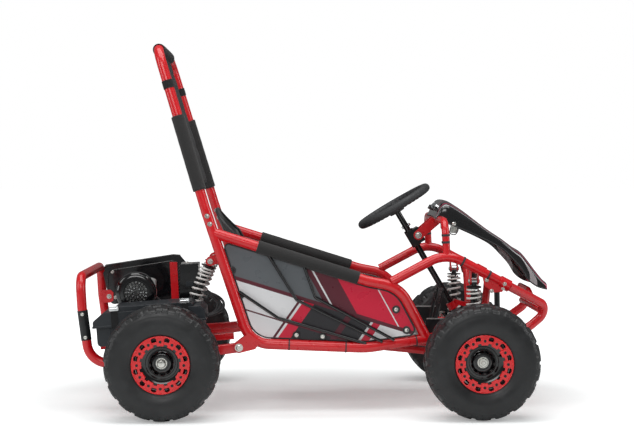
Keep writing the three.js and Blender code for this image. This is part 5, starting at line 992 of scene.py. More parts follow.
DRIVE_Y = 62.0
SPROCKET = {"radius": 75.0, "teeth": 50, "width": 4.0}
PINION = {"radius": 15.0, "teeth": 10}
DISC = {"y": -50.0, "radius": 66.0, "width": 4.0}
MOTOR = {"x": -587.0, "z": 361.0, "near": -60.0, "far": 42.0}
AXLE = {"radius": 12.5, "past_wheel": 20.0, "collar_y": 262.0}
AXLE_COLLAR = ((12, -9), (19, -9), (19, 9), (12, 9))
SPROCKET_HUB = ((13, 0), (27, 0), (27, 6), (22, 8), (22, 16), (13, 16))
DISC_HUB = ((13, -1), (25, -1), (25, 5), (21, 7), (21, 16), (13, 16))
CHAIN = {"pitch": 9.4, "out": 2.7, "inner": 2.5, "outer": 3.7, "plate": 0.9, "roller": 1.7}
ROLLER_HALF = 4.7
LINK_OUTLINE = ((-6.2, 0), (-5, 2.8), (0, 1.9), (5, 2.8), (6.2, 0), (5, -2.8), (0, -1.9), (-5, -2.8))
VENT_RINGS = ((3, 11, 5), (11, 20, 10), (20, 29, 15), (29, 38.5, 20))
COVER_PROFILE = (
    (38.5, -9), (40, -11), (52, -11), (61, -8), (66, -2), (67, 4),
    (67, 15), (64, 18), (44, 18), (38, 14), (38, -6),
)
DRUM = {"core": 40.0, "start": 17.0, "first_rib": 19.0, "pitch": 5.0, "low": 50.5, "high": 54.0}
MOTOR_END = ((50, -0.5), (50, 1), (46, 3), (24, 3), (22, 6), (8, 6))
MOTOR_FIN = ((30, 20), (62, 8), (64, 40), (34, 50))
FAN_BLADES = 16


def drilled(centre, inner, outer, holes, hole_lines, width):
    """A flat ring with a circle of openings, cut as cells of a polar plate."""
    columns = holes * 12
    lines = np.array([inner, *hole_lines, outer])[:, None] * np.ones(columns)
    keep = np.ones((len(lines) - 1, columns), bool)
    cell = np.arange(columns) % 12
    keep[1] = (cell < 2) | (cell > 9)
    return pierced(polar(lines, width / 2, centre), keep, (0, -width, 0))


def build_rear_axle():
    """The axle across the carriage with the sprocket and the brake disc on it."""
    x = WHEEL_X["rear"]
    reach = HALF_TRACK + AXLE["past_wheel"]
    parts = Parts("steel", rod((x, -reach, AXLE_Z), (x, reach, AXLE_Z), AXLE["radius"], 32))
    for hand in (RIGHT, LEFT):
        parts.add("steel", turned(AXLE_COLLAR, (x, hand * AXLE["collar_y"], AXLE_Z), segments=32))
    put("axle_bar", parts, "rear_wheels", ["rear_axle"])
    centre = (x, DRIVE_Y, AXLE_Z)
    radius, width = SPROCKET["radius"], SPROCKET["width"]
    parts = Parts("steel", drilled(centre, 26, radius - 6, 6, (38, 60), width))
    parts.add("steel", toothed_ring(centre, radius, SPROCKET["teeth"], 4.2, width, 68))
    parts.add("satin black", turned(SPROCKET_HUB, centre, (0, -1, 0), 40, closed=True))
    put("drive_sprocket", parts, "rear_wheels", ["sprocket"], bevel=0.4)
    centre = (x, DISC["y"], AXLE_Z)
    parts = Parts("steel", drilled(centre, 24, DISC["radius"], 8, (40, 52), DISC["width"]))
    parts.add("satin black", turned(DISC_HUB, centre, (0, 1, 0), 40, closed=True))
    put("disc_rotor", parts, "rear_wheels", ["brake_disc"], bevel=0.4)


def toothed_ring(centre, radius, teeth, depth, width, inner):
    """The toothed rim as a ring: its outer line swings with the teeth and its inner line is round."""
    angle = np.arange(teeth * 8) / (teeth * 8) * TURN
    swing = np.clip(1.3 * np.cos(angle * teeth), -1, 1) * 0.5 + 0.5
    lines = np.stack([np.full(len(angle), inner), radius - depth + depth * swing])
    return pierced(polar(lines, width / 2, centre), np.ones((1, len(angle)), bool), (0, -width, 0))


def chain_line(count):
    """The chain's middle line as places and directions: two straight runs that touch both toothed wheels."""
    big, small = (wheel["radius"] + CHAIN["out"] for wheel in (SPROCKET, PINION))
    near = np.array([WHEEL_X["rear"], AXLE_Z])
    far = np.array([MOTOR["x"], MOTOR["z"]])
    apart = far - near
    heading = np.arctan2(apart[1], apart[0])
    lean = np.arccos((big - small) / np.linalg.norm(apart))
    over = np.linspace(heading + lean, heading - lean + TURN, 160)
    under = np.linspace(heading - lean, heading + lean, 60)
    around = [near + big * np.stack([np.cos(over), np.sin(over)], axis=1)]
    around.append(far + small * np.stack([np.cos(under), np.sin(under)], axis=1))
    loop = np.concatenate(around + [around[0][:1]])
    run = np.concatenate([[0], np.cumsum(np.linalg.norm(np.diff(loop, axis=0), axis=1))])
    at = np.arange(count) / count * run[-1]
    return np.stack([np.interp(at, run, loop[:, 0]), np.interp(at, run, loop[:, 1])], axis=1), run[-1]


def build_chain():
    """The roller chain: a roller for each pitch, and side plates that lie inside and outside in turn."""
    count = 2 * int(round(chain_line(10)[1] / CHAIN["pitch"] / 2))
    line, _ = chain_line(count)
    after = np.roll(line, -1, axis=0)
    middle = (line + after) / 2
    way = unit(after - line)
    x = np.stack([way[:, 0], np.zeros(count), way[:, 1]], axis=1)
    z = np.cross(x, (0, 1, 0))
    origins = np.stack([middle[:, 0], np.full(count, DRIVE_Y), middle[:, 1]], axis=1)
    shapes = []
    for start, gap in enumerate((CHAIN["inner"], CHAIN["outer"])):
        for hand in (RIGHT, LEFT):
            link = plate(LINK_OUTLINE, hand * gap, hand * (gap + CHAIN["plate"]))
            shapes.append(repeated(link, origins[start::2], x[start::2], (0, 1, 0), z[start::2]))
    pins = np.stack([line[:, 0], np.full(count, DRIVE_Y), line[:, 1]], axis=1)
    roller = rod((0, -ROLLER_HALF, 0), (0, ROLLER_HALF, 0), CHAIN["roller"], 10)
    shapes.append(repeated(roller, pins, x, (0, 1, 0), z))
    put("roller_chain", Parts("steel", *shapes), "carriage", ["chain"])


def vent_face(centre, rings):
    """The motor's vented cover: rings of openings, each ring with more of them as its radius grows."""
    parts = []
    for inner, outer, holes in rings:
        columns = holes * 8
        angle = np.arange(columns) / columns * TURN + inner
        middle = (inner + outer) / 2
        reach = (outer - inner) * 0.36
        lines = np.array([inner, middle - reach, middle + reach, outer])[:, None] * np.ones(columns)
        face = np.stack([lines * np.cos(angle), np.zeros(lines.shape), lines * np.sin(angle)], axis=-1)
        keep = np.ones((3, columns), bool)
        keep[1] = np.arange(columns) % 8 < 3
        parts.append(pierced(face + np.asarray(centre), keep, (0, 3, 0)))
    return join(parts)


def build_motor():
    """The motor: a ribbed drum, a black vented cover in front of a bright fan, and its drive end."""
    x, z, near, far = MOTOR["x"], MOTOR["z"], MOTOR["near"], MOTOR["far"]
    length = far - near
    centre = np.array([x, near, z])
    parts = Parts("gloss black", turned(COVER_PROFILE, centre, (0, 1, 0), 96, closed=True))
    parts.add("gloss black", vent_face(centre - (0, 8.5, 0), VENT_RINGS))
    parts.add("gloss black", disc(5, -11, -6, centre, segments=24))
    out = spokes(FAN_BLADES)
    blade = block((8, -3, -1.2), (41, 3, 1.2))
    hub = np.broadcast_to(centre + (0, 2, 0), out.shape)
    parts.add("chrome", repeated(blade, hub, out, (0, 1, 0), np.cross(out, (0, 1, 0))))
    parts.add("aluminium", disc(43, 4, 8, centre, segments=48))
    profile = [(DRUM["core"], DRUM["start"])]
    low, high = DRUM["low"], DRUM["high"]
    for start in np.arange(DRUM["first_rib"], length - 2, DRUM["pitch"]):
        profile += [(low, start), (high, start + 0.6), (high, start + 2.4), (low, start + 3)]
    profile.append((DRUM["core"], length))
    parts.add("satin black", turned(profile, centre, (0, 1, 0), 72))
    parts.add("aluminium", turned(MOTOR_END, (x, far, z), (0, 1, 0), 64))
    parts.add("satin black", block((x - 40, near + 18, z - 58), (x + 40, far - 8, z - 44)))
    fin = rounded(np.add(MOTOR_FIN, (x, z)), 6)
    for number in range(6):
        low = near + 4 + number * 7
        parts.add("aluminium", plate(fin, low, low + 3.4))
    put("motor_drum", parts, "carriage", ["motor"], bevel=0.4)
    parts = Parts("steel", toothed_ring((x, DRIVE_Y, z), PINION["radius"], PINION["teeth"], 4.0, 4.4, 5.0))
    parts.add("steel", rod((x, far - 12, z), (x, DRIVE_Y + 8, z), 5.2, 20))
    put("pinion_wheel", parts, "pinion", ["motor_pinion"], bevel=0.3)


# Swinging carriage, rear bumper and guard

ARM_Y = 284.0
TAIL = (-600.0, 181.0)
BEAM = (-372.0, 198.0)
TRAY = ((-262.0, 230.0), (-690.0, 198.0))
GUARD_Y = 230.0
REAR_EYE = {"top": (-340.0, 467.0), "low": (-434.0, 240.6), "y": 105.0}
FRONT_EYE = {"x": 499.0, "top": (268.0, 414.0), "low": (250.0, 206.0)}
EYE_REACH = 11.9
HOUSING_PROFILE = ((13.2, -15), (24, -15.5), (26, -13), (26, 13), (24, 15.5), (13.2, 15))
TRAY_RAIL_Y = 160.0
STRAP_Y = (222.0, 226.0)
STRAP_OUTLINE = ((-487, AXLE_Z), (-461, AXLE_Z), (-474, 442), (-500, 442))
MOTOR_MOUNT = (
    ((-645, -29, 297.7), (-520, 46, 302.7)),
    ((TAIL[0] - 12, -23, TAIL[1]), (TAIL[0] + 12, -11, 300)),
    ((TAIL[0] - 12, 28, TAIL[1]), (TAIL[0] + 12, 40, 300)),
)
CONTROLLER_SHELF = (
    ((-383, -30, BEAM[1]), (-379, 30, 341)),
    ((-449, -30, 339.7), (-379, 30, 343.7)),
)
CALIPER = (
    ((-544, DISC["y"] - 15, 219), (-504, DISC["y"] - 3.4, 253)),
    ((-544, DISC["y"] + 3.4, 219), (-504, DISC["y"] + 15, 253)),
    ((-544, DISC["y"] - 15, 245), (-504, DISC["y"] + 15, 253)),
)
RED_BRACKETS = (
    ((-487, STRAP_Y[0], 191.5), (-461, ARM_Y, 199.5)),
    ((TAIL[0] - 8, DISC["y"] - 15, 177), (-528, DISC["y"] - 7, 236)),
)
REAR_BUMPER = {"half": 246.0, "radius": 15.3, "strip": 16.5}
BUMPER_SIDE = ((-575, 155), (-714, 155), (-737, 327), (-742.7, 427))
BUMPER_BENDS = (0, 66, 66, 46, 46, 66, 66, 0)
LUG_OUTLINE = ((-737, 300), (-706, 300), (-696, 309), (-696, 336), (-706, 345), (-737, 345))
RUB_STRIP = ((-723.9, 228), (-736, 322))
STRIP_BOLT_SHARES = (0.1, 0.88)
GUARD_OUTLINE = ((-706, 292), (-452, 332), (-443, 441), (-464, 466), (-490, 468), (-725, 432), (-735, 414))
GUARD_CREASE = ((-712, 330), (-717, 411), (-490, 446), (-468, 438))
GUARD_BOLTS = ((-487, 428), (-700, 408), (-690, 318))


def swept(route, outline, side=(0, 1, 0)):
    """A bar of any outline, whose first coordinate lies along the side direction at every place."""
    points = np.asarray(route, float)
    heading = unit(np.gradient(points, axis=0))
    up = unit(np.cross(heading, side))
    outline = np.asarray(outline, float)[None]
    rings = points[:, None] + outline[..., :1] * np.asarray(side, float) + outline[..., 1:] * up[:, None]
    return grid(rings, around=True, capped=True)


def bar(route, width, height, corner=3.0):
    """A square tube with rounded corners, its width across the kart."""
    return swept(route, rounded(oblong(width / 2, height / 2), corner, 30 * DEGREE))


def ear(place, root, y, thickness=4.0, radius=15.0):
    """A tab in the side plane that reaches from its root to round its pin."""
    place, root = np.array(place), np.array(root)
    way = unit(place - root)
    across = np.array([-way[1], way[0]]) * radius
    angle = np.linspace(0, np.pi, 13)[:, None]
    tip = place + across * np.cos(angle) + way * radius * np.sin(angle)
    outline = np.concatenate([tip, [root - across, root + across]])
    return plate(outline, y - thickness / 2, y + thickness / 2)


def rear_clevis(hand, place, root):
    """The two ears either side of a rear shock's eye, and their bolt."""
    y = hand * REAR_EYE["y"]
    ears = [ear(place, root, y + end * EYE_REACH) for end in (-1, 1)]
    x, z = place
    pin = rod((x, y - 16, z), (x, y + 16, z), 5.0, 20)
    heads = [bolt((x, y + end * 14, z), (0, end, 0), 6.5, 5) for end in (-1, 1)]
    return join(ears), join([pin] + heads)


def build_swingarm():
    """The swinging carriage: two arms, cross beams, tray rails, motor mount, shelf, strap and caliper."""
    x = WHEEL_X["rear"]
    parts = Parts()
    for hand in (RIGHT, LEFT):
        y = hand * ARM_Y
        corners = [(PIVOT[0] + 8, y, PIVOT[1]), (x, y, AXLE_Z), (TAIL[0] - 14, y, TAIL[1])]
        parts.add("red", bar(bent(corners, (0, 200, 0)), 25, 30))
        parts.add("red", collar(8.4, 18, -12.5, 12.5, (PIVOT[0], y, PIVOT[1]), segments=40))
        parts.add("satin black", turned(HOUSING_PROFILE, (x, y, AXLE_Z), (0, 1, 0), 48, closed=True))
        rail = [(rail_x, hand * TRAY_RAIL_Y, rail_z) for rail_x, rail_z in TRAY]
        parts.add("red", bar(rail, 20, 22))
        ears, pins = rear_clevis(hand, REAR_EYE["low"], BEAM)
        parts.add("red", ears)
        parts.add("zinc", pins)
    for beam_x, beam_z in (BEAM, TAIL):
        parts.add("red", rod((beam_x, -ARM_Y, beam_z), (beam_x, ARM_Y, beam_z), 14, 28))
    parts.add("satin black", *blocks(MOTOR_MOUNT + CONTROLLER_SHELF + CALIPER))
    parts.add("red", plate(rounded(STRAP_OUTLINE, 2), *STRAP_Y), *blocks(RED_BRACKETS))
    put("carriage_frame", parts, "carriage", ["swingarm"], bevel=0.8)


def build_rear_bumper():
    """The rear bumper hoop with its guard tab, and a black rub strip on the near post."""
    half, strip = REAR_BUMPER["half"], REAR_BUMPER["strip"]
    corners = [(x, -half, z) for x, z in BUMPER_SIDE] + [(x, half, z) for x, z in BUMPER_SIDE[::-1]]
    parts = Parts("red", tube(bent(corners, BUMPER_BENDS), REAR_BUMPER["radius"], 28))
    parts.add("red", plate(rounded(LUG_OUTLINE, (2, 8, 4, 4, 8, 2)), *STRAP_Y))
    parts.add("red", block((-741, STRAP_Y[0], 302), (-737, 243, 343)))
    parts.add("zinc", bolt((-711, STRAP_Y[0], 322), (0, -1, 0), 6, 5))
    low, high = np.array([(x, -half, z) for x, z in RUB_STRIP])
    parts.add("satin black", tube(np.linspace(low, high, 12), strip, 28))
    for share in STRIP_BOLT_SHARES:
        place = between(low, high, share) - (0, strip - 0.2, 0)
        parts.add("zinc", bolt(place, (0, -1, 0), 4, 2.6, 20))
    put("tail_hoop", parts, "carriage", ["rear_bumper"])


def build_rear_guard():
    """The guard plate beside the left wheel, with its flange folded outwards along the top."""
    face = GUARD_Y - 3.7
    edge = rounded(GUARD_OUTLINE, (18, 10, 8, 16, 16, 22, 14))
    crease = bent([(x, face, z) for x, z in GUARD_CREASE], (0, 24, 14, 0))
    route = bent([(x, GUARD_Y + 11, z - 2) for x, z in GUARD_OUTLINE[3:6]], (0, 8, 0))
    flange = swept(route, rounded(oblong(15, 1.8), 1.2))
    parts = Parts("gloss black", plate(edge, face, GUARD_Y), tube(crease, 1.8, 12), flange)
    for x, z in GUARD_BOLTS:
        parts.add("zinc", bolt((x, face, z), (0, -1, 0), 4.5, 4))
    put("tyre_guard", parts, "carriage", ["rear_guard"], bevel=1.2)


# Battery box and controller

BOX = {"x": -693.0, "z": 209.1, "length": 344.0, "near": -290.0, "far": -132.0, "height": 60.0, "lid": 46.0}
BOX_LEAN = np.arctan2(TRAY[0][1] - TRAY[1][1], TRAY[0][0] - TRAY[1][0])


def on_tray(shape):
    """The shape in the frame that leans with the tray rails, its zero at the box's low back edge."""
    c, s = np.cos(BOX_LEAN), np.sin(BOX_LEAN)
    return placed(shape, (BOX["x"], 0, BOX["z"]), (c, 0, s), (0, 1, 0), (-s, 0, c))


def build_battery_box():
    """The battery tray and its skirted lid, with buckles, straps and cables."""
    length, near, far, height, lid = (BOX[key] for key in ("length", "near", "far", "height", "lid"))
    base = rounded([(9, 0), (length, 0), (length, height), (9, height)], (12, 12, 0, 0))
    parts = Parts("box", on_tray(plate(base, near + 9, far)))
    for share in np.arange(1, 8) / 8:
        x = between(9, length, share)
        parts.add("box", on_tray(block((x - 2, near + 7.6, 6), (x + 2, near + 9.5, height - 3))))
    put("battery_tray", parts, "carriage", ["battery_box"], bevel=1.0)
    crest = height + lid
    top = [(0, height), (length + 9, height), (length + 9, crest - 13), (length - 4, crest), (34, crest)]
    top += [(0, crest - 26)]
    cap = on_tray(plate(rounded(top, (2, 2, 8, 8, 14, 10)), near, far))
    rim = on_tray(block((-2, near - 2, height - 1), (length + 11, far + 2, height + 6)))
    crown = [(52, crest - 1), (322, crest - 1), (306, crest + 15), (70, crest + 15)]
    raised = on_tray(plate(rounded(crown, (4, 4, 8, 8)), near + 7, far - 7))
    parts = Parts("box", cap, rim, raised)
    put("battery_cover", parts, "carriage", ["battery_lid"], bevel=1.6)
    parts = Parts()
    for x, low, top in ((70, 56, 110), (292, 82, 118)):
        strap = on_tray(block((x - 11, near - 3.2, low), (x + 11, near - 1.6, top + 6)))
        square = rounded([(x - 15, top), (x + 15, top), (x + 15, top + 15), (x - 15, top + 15)], 3)
        frame = on_tray(plate(square, near - 5.4, near - 2.6))
        pin = on_tray(rod((x - 13, near - 6, top + 8), (x + 13, near - 6, top + 8), 2.2, 14))
        parts.add("woven", strap)
        parts.add("chrome", frame, pin)
    put("lid_buckles", parts, "carriage", bevel=0.5)
    build_box_cables()


CABLE = {"radius": 4.2, "apart": 12.0, "forward": 76.0, "step": 11.0}
CABLE_START = np.array((BOX["length"] - 4, -206.0, 66.0))
CABLE_END = np.array((-386.0, -22.0, 360.0))


def build_cable(name, route, body):
    """A short stiff cable along its route. Both its ends go into the kart."""
    radius = CABLE["radius"]
    piece = put(name, Parts("rubber", tube(route, radius, 12)), body)


def build_box_cables():
    """Three cables from the battery box, forward over the tray's end and back into the controller. Each is
    half an ellipse, middle - half * cos(a) + forward * sin(a) for a from 0 to pi, one inside the other."""
    start = on_tray((CABLE_START[None], []))[0][0]
    swing = np.linspace(0, np.pi, 33)[:, None]
    for number in range(3):
        aside = np.array((0, CABLE["apart"] * (number - 1), 0))
        leave = start + aside
        enter = CABLE_END - aside
        forward = np.array((CABLE["forward"] - CABLE["step"] * number, 0, 0))
        route = (leave + enter) / 2 - (enter - leave) / 2 * np.cos(swing) + forward * np.sin(swing)
        build_cable(f"box_cable_{number + 1}", route, "carriage")


CONTROLLER = {"x": -416.0, "z": 398.0, "half": 33.0, "tall": 54.0, "width": 44.0, "ribs": 10, "pitch": 10.4}


def build_controller():
    """The motor controller: a ribbed case, its bracket and a plug."""
    x, z, half, tall, width = (CONTROLLER[key] for key in ("x", "z", "half", "tall", "width"))
    back, front = x - half + 5, x + half
    body = [(back, z - tall), (front, z - tall), (front, z + tall + 4), (back, z + tall)]
    parts = Parts("gloss black", plate(rounded(body, 3), -width, width))
    for rib in range(CONTROLLER["ribs"]):
        low = z - tall + 4 + rib * CONTROLLER["pitch"]
        parts.add("satin black", block((x - half, 1 - width, low), (back + 1, width - 1, low + 4.6)))
    parts.add("aluminium", block((x - 24, -30, z + tall + 1), (x + 14, 20, z + tall + 4.4)))
    parts.add("zinc", bolt((x - 6, -14, z + tall + 4), (0, 0, 1), 5, 4))
    parts.add("box", block((x - 8, -width - 9, z - 18), (x + 18, -width, z - 2)))
    put("controller_case", parts, "carriage", ["controller"], bevel=0.8)


# Seat

SEAT_LINE = (
    (130, 292), (56.25, 260.5), (-76.5, 250), (-165, 265.4), (-215.2, 365.8), (-259.2, 489.3), (-322, 636),
)
SEAT = {"half": 185.0, "pan_rise": 90.0, "back_rise": 46.0, "thickness": 6.0}
SEAT_SHARES = {"flat": 0.55, "low": 0.15, "drawn_in": 0.12, "cut": 0.10, "fullness": 0.8}


def seat_side(depth):
    """One face of the bucket: the middle line runs from lip to back, and the bolsters rise at both sides
    along its normal with the square of the distance past the flat middle, most of all at the hips."""
    line = curve(SEAT_LINE, 14)
    along = np.linspace(0, 1, len(line))[:, None]
    slope = unit(np.gradient(line, axis=0))
    normal = np.stack([slope[:, 1], -slope[:, 0]], axis=1)
    across = np.linspace(-1, 1, 61)[None]
    reach = along * (1 - SEAT_SHARES["cut"] * np.abs(across) ** 4)
    runs = [np.interp(reach, along[:, 0], run) for run in (*line.T, *normal.T)]
    x_line, z_line, x_normal, z_normal = runs
    steep = np.clip((np.abs(across) - SEAT_SHARES["flat"]) / (1 - SEAT_SHARES["flat"]), 0, 1)
    low = SEAT_SHARES["low"]
    full = np.sin(np.pi * np.minimum(1, between(low, 1 - low / 1.5, reach))) ** SEAT_SHARES["fullness"]
    rise = between(SEAT["pan_rise"], SEAT["back_rise"], reach) * steep ** 2 * full
    ends = np.clip(np.minimum(along, 1 - along) * 60, 0.02, 1) ** 0.5
    quilt = 1.6 * np.abs(np.sin(np.pi * 9 * along)) ** 0.5 * np.clip(1 - (across / 0.5) ** 6, 0, 1)
    lift = rise - depth * ends * (1 - 0.3 * steep ** 2) + (quilt if depth == 0 else 0)
    y = across * SEAT["half"] * (1 - SEAT_SHARES["drawn_in"] * steep ** 2)
    y = y + depth * 0.6 * steep * np.sign(across)
    x = x_line + x_normal * lift
    z = z_line + z_normal * lift
    return np.stack([x, np.broadcast_to(y, x.shape), z], axis=-1)


def build_seat():
    """The bucket seat: its face and its back, closed round the edge by a rolled bead."""
    face = seat_side(0)
    back = seat_side(SEAT["thickness"])[:, ::-1]
    shell = grid(np.concatenate([face, back], axis=1), around=True, capped=True)
    edge = np.concatenate([face[:, 0], face[-1, 1:-1], face[::-1, -1], face[0, -2:0:-1]])[::3]
    bead = tube(np.concatenate([edge, edge[:1]]) - (0, 0, 1.5), 4.2, 12)
    parts = Parts("seat", shell, bead)
    for x, z in ((-130, 262), (60, 268)):
        for y in (-60, 60):
            parts.add("zinc", bolt((x, y, z), (0, 0, 1), 5, 4, 20))
    put("seat_shell", parts, "chassis", ["seat"])


# Tubes under the floor, shock beam, front frame and front bumper

LOWER_Y = 110.0
NOSE_RAIL = (596.0, 150.0)
CROSS_X = (-130.0, 60.0, 200.0)
ARM_X = (441.0, 573.0)
COLUMN_TOP = np.array([266.0, 0.0, 643.0])
DOWN = np.array([0.50904, 0.0, -0.86074])
ACROSS = np.array([0.86074, 0.0, 0.50904])
BEARINGS = {"upper": 123.0, "lower": 385.0}
ARM_HINGE = {"y": 135.0, "z": 158.0, "ear": 141.0}
BULKHEAD = {"x": 542.0, "foot": (114.0, 160.0), "top": (276.0, 428.0), "bar": 306.0}
DASH = {"foot": (411.0, 488.0), "top": (405.0, 603.0), "bend": 46.0, "radius": 12.0}
DASH_TIES = (560.0, 538.0)
ARCH_TIES = (462.0, 543.0)
ARCH_BOLTS = ((536, 18), (588, 17), (552, 44))
SLED = ((606, 280, 400), (763, 163, 317), (686, 186, 257), (548, 143, 206))
NOSE_BAR = {"x": 725.1, "half": 172.0, "z": 312.0, "radius": 10.7}
NOSE_LOOP = ((725, -96, 312), (703, -96, 372), (703, 96, 372), (725, 96, 312))
ARCH = {"root": (238.0, 285.0, 414.0), "peak": (409.0, 285.0, 505.0), "nose": (606.0, 280.0, 400.0)}


def lower_rail_z(x):
    """Height of the lower rails' middle line ahead of their kink."""
    return between(189.0, NOSE_RAIL[1], (x - 200) / (NOSE_RAIL[0] - 200))


def build_under_frame():
    """The lower rails and the tubes across them, with the hinge ears of the front arms."""
    parts = Parts()
    for x in CROSS_X:
        parts.add("red", rod((x, -SIDE_Y + 12, sill_z(x)), (x, SIDE_Y - 12, sill_z(x)), 12.5))
    for hand in (RIGHT, LEFT):
        y = hand * LOWER_Y
        corners = [(CROSS_X[0], y, sill_z(CROSS_X[0])), (200, y, 189), (NOSE_RAIL[0], y, NOSE_RAIL[1])]
        parts.add("red", tube(bent(corners, (0, 260, 0)), 12, 24))
        for x in ARM_X:
            ear_y = hand * ARM_HINGE["ear"]
            for end in (-1, 1):
                place = x + end * 15.3
                parts.add("red", block((place - 2, y, lower_rail_z(x) - 6), (place + 2, ear_y, 169)))
            hinge = np.array([x, hand * ARM_HINGE["y"], ARM_HINGE["z"]])
            parts.add("zinc", rod(hinge - (20, 0, 0), hinge + (20, 0, 0), 5))
            for end in (-1, 1):
                parts.add("zinc", bolt(hinge + (end * 17.3, 0, 0), (end, 0, 0), 6, 4))
        for x, top in ((-130, 250), (60, 256)):
            parts.add("red", block((x - 12, hand * 60 - 12, sill_z(x)), (x + 12, hand * 60 + 12, top)))
        parts.add("red", block((393, y - 7, lower_rail_z(400)), (407, y + 7, 224.2)))
    z = lower_rail_z(584)
    parts.add("red", rod((584, -LOWER_Y, z), (584, LOWER_Y, z), 12))
    put("lower_tubes", parts, "chassis", ["under_frame"], bevel=0.6)
    x, z = -295, 482
    parts = Parts("red", rod((x, -SIDE_Y + 14, z), (x, SIDE_Y - 14, z), 14, 28))
    for hand in (RIGHT, LEFT):
        ears, pins = rear_clevis(hand, REAR_EYE["top"], (x, z))
        parts.add("red", ears)
        parts.add("zinc", pins)
    put("shock_tube", parts, "chassis", ["shock_beam"], bevel=0.6)


def column_place(along, out=0.0, y=0.0):
    """A place at a distance down the steering column, and out from it to the front."""
    return COLUMN_TOP + DOWN * along + ACROSS * out + np.array([0, y, 0])


def on_column(shape, along):
    """The shape with its z up the column, its x to the front and its zero on the column's axis."""
    return placed(shape, column_place(along), ACROSS, (0, 1, 0), -DOWN)


def bulkhead_y(z):
    """Distance of the bulkhead's legs from the middle, at a height."""
    (foot_y, foot_z), (top_y, top_z) = BULKHEAD["foot"], BULKHEAD["top"]
    return between(foot_y, top_y, (z - foot_z) / (top_z - foot_z))


def arch_z(x):
    """Height of the arch's front leg at a place along the kart."""
    (peak_x, _, peak_z), (nose_x, _, nose_z) = ARCH["peak"], ARCH["nose"]
    return between(peak_z, nose_z, (x - peak_x) / (nose_x - peak_x))


def front_ears(hand):
    """The plates that hold the top eye of a front shock under the arch, and their bolt."""
    y, z = hand * FRONT_EYE["top"][0], FRONT_EYE["top"][1]
    x = FRONT_EYE["x"]
    parts = []
    for end in (-1, 1):
        place = x + end * EYE_REACH
        outline = [(y + hand * aside, z - drop) for aside, drop in ((-13, 4), (-7, 12), (7, 12), (15, 4))]
        outline += [(hand * (SIDE_Y + aside), arch_z(place)) for aside in (4, -19)]
        parts.append(plate(rounded(outline, 3), place - 2, place + 2, "yz"))
    pin = rod((x - 17, y, z), (x + 17, y, z), 5)
    heads = [bolt((x + end * 14, y, z), (end, 0, 0), 6.5, 4.5) for end in (-1, 1)]
    return join(parts), join([pin] + heads)


def build_front_frame():
    """The arches, dash hoop, column bearings, bulkhead and shock ears, with their ties and bolts."""
    parts = Parts()
    (foot_x, foot_z), (top_x, top_z) = DASH["foot"], DASH["top"]
    dash = [(foot_x, -SIDE_Y, foot_z), (top_x, -SIDE_Y, top_z)]
    dash += [(top_x, SIDE_Y, top_z), (foot_x, SIDE_Y, foot_z)]
    parts.add("red", tube(bent(dash, DASH["bend"]), DASH["radius"], 24))
    for hand in (RIGHT, LEFT):
        corners = [np.array(ARCH[key]) * (1, hand, 1) for key in ("root", "peak", "nose")]
        parts.add("red", tube(bent(corners, 107), 15, 28))
        (foot_y, foot_z), (top_y, top_z) = BULKHEAD["foot"], BULKHEAD["top"]
        x = BULKHEAD["x"]
        parts.add("red", rod((x, hand * top_y, top_z), (x, hand * foot_y, foot_z), 12))
        parts.add("red", rod((343, hand * TOE_Y, 236), (x, hand * bulkhead_y(240), 240), 11))
        ears, pin = front_ears(hand)
        parts.add("red", ears)
        parts.add("zinc", pin)
        leg = np.array([DASH["foot"][0] - DASH["top"][0], 0, DASH["foot"][1] - DASH["top"][1]])
        for z in DASH_TIES:
            parts.add("rubber", tie_band((407.4, hand * SIDE_Y, z), leg, DASH["radius"], 7))
        way = np.array(ARCH["nose"]) - np.array(ARCH["peak"])
        for x_tie in ARCH_TIES:
            parts.add("rubber", tie_band((x_tie, hand * 284, arch_z(x_tie)), way * (1, 0, 1), 15, 6))
        canister = rod((571, hand * 270, 398), (573, hand * 268, 322), 9, 24)
        parts.add("satin black", canister)
        for x_bolt, drop in ARCH_BOLTS:
            parts.add("zinc", bolt((x_bolt, hand * 292, arch_z(x_bolt) - drop), (0, hand, 0), 4.5, 5))
        back, front = arch_z(520), arch_z(592)
        gusset = [(520, back - 8), (592, front - 8), (586, front - 26), (556, 380), (530, 400)]
        parts.add("red", plate(rounded(gusset, 5), hand * 288, hand * 291.6))
        y = hand * 26
        top = (405.0, 597.0)
        pin_place = column_place(BEARINGS["upper"], 20)
        parts.add("red", ear((pin_place[0], pin_place[2]), top, y, 4, 16))
        parts.add("zinc", bolt((pin_place[0], hand * 28, pin_place[2]), (0, hand, 0), 8, 7))
    x, z = BULKHEAD["x"], BULKHEAD["bar"]
    beam_y = bulkhead_y(z)
    parts.add("red", rod((x, -beam_y, z), (x, beam_y, z), 10))
    case = rounded([(-13, -26), (33, -26), (33, 26), (-13, 26)], (6, 4, 4, 6))
    parts.add("gloss black", on_column(plate(case, -24, 24), BEARINGS["upper"]))
    parts.add("gloss black", on_column(collar(10.4, 16, -30, 30, (0, 0, 0), (0, 0, 1)), BEARINGS["upper"]))
    parts.add("red", on_column(collar(10.4, 17, -12, 12, (0, 0, 0), (0, 0, 1)), BEARINGS["lower"]))
    foot = column_place(BEARINGS["lower"])
    outline = [(foot[0] + 4, foot[2] + 22), (x, z + 5), (x, z - 5), (foot[0] + 16, foot[2] + 2)]
    parts.add("red", plate(outline, -13, 13))
    put("front_tubes", parts, "chassis", ["front_frame"], bevel=0.6)


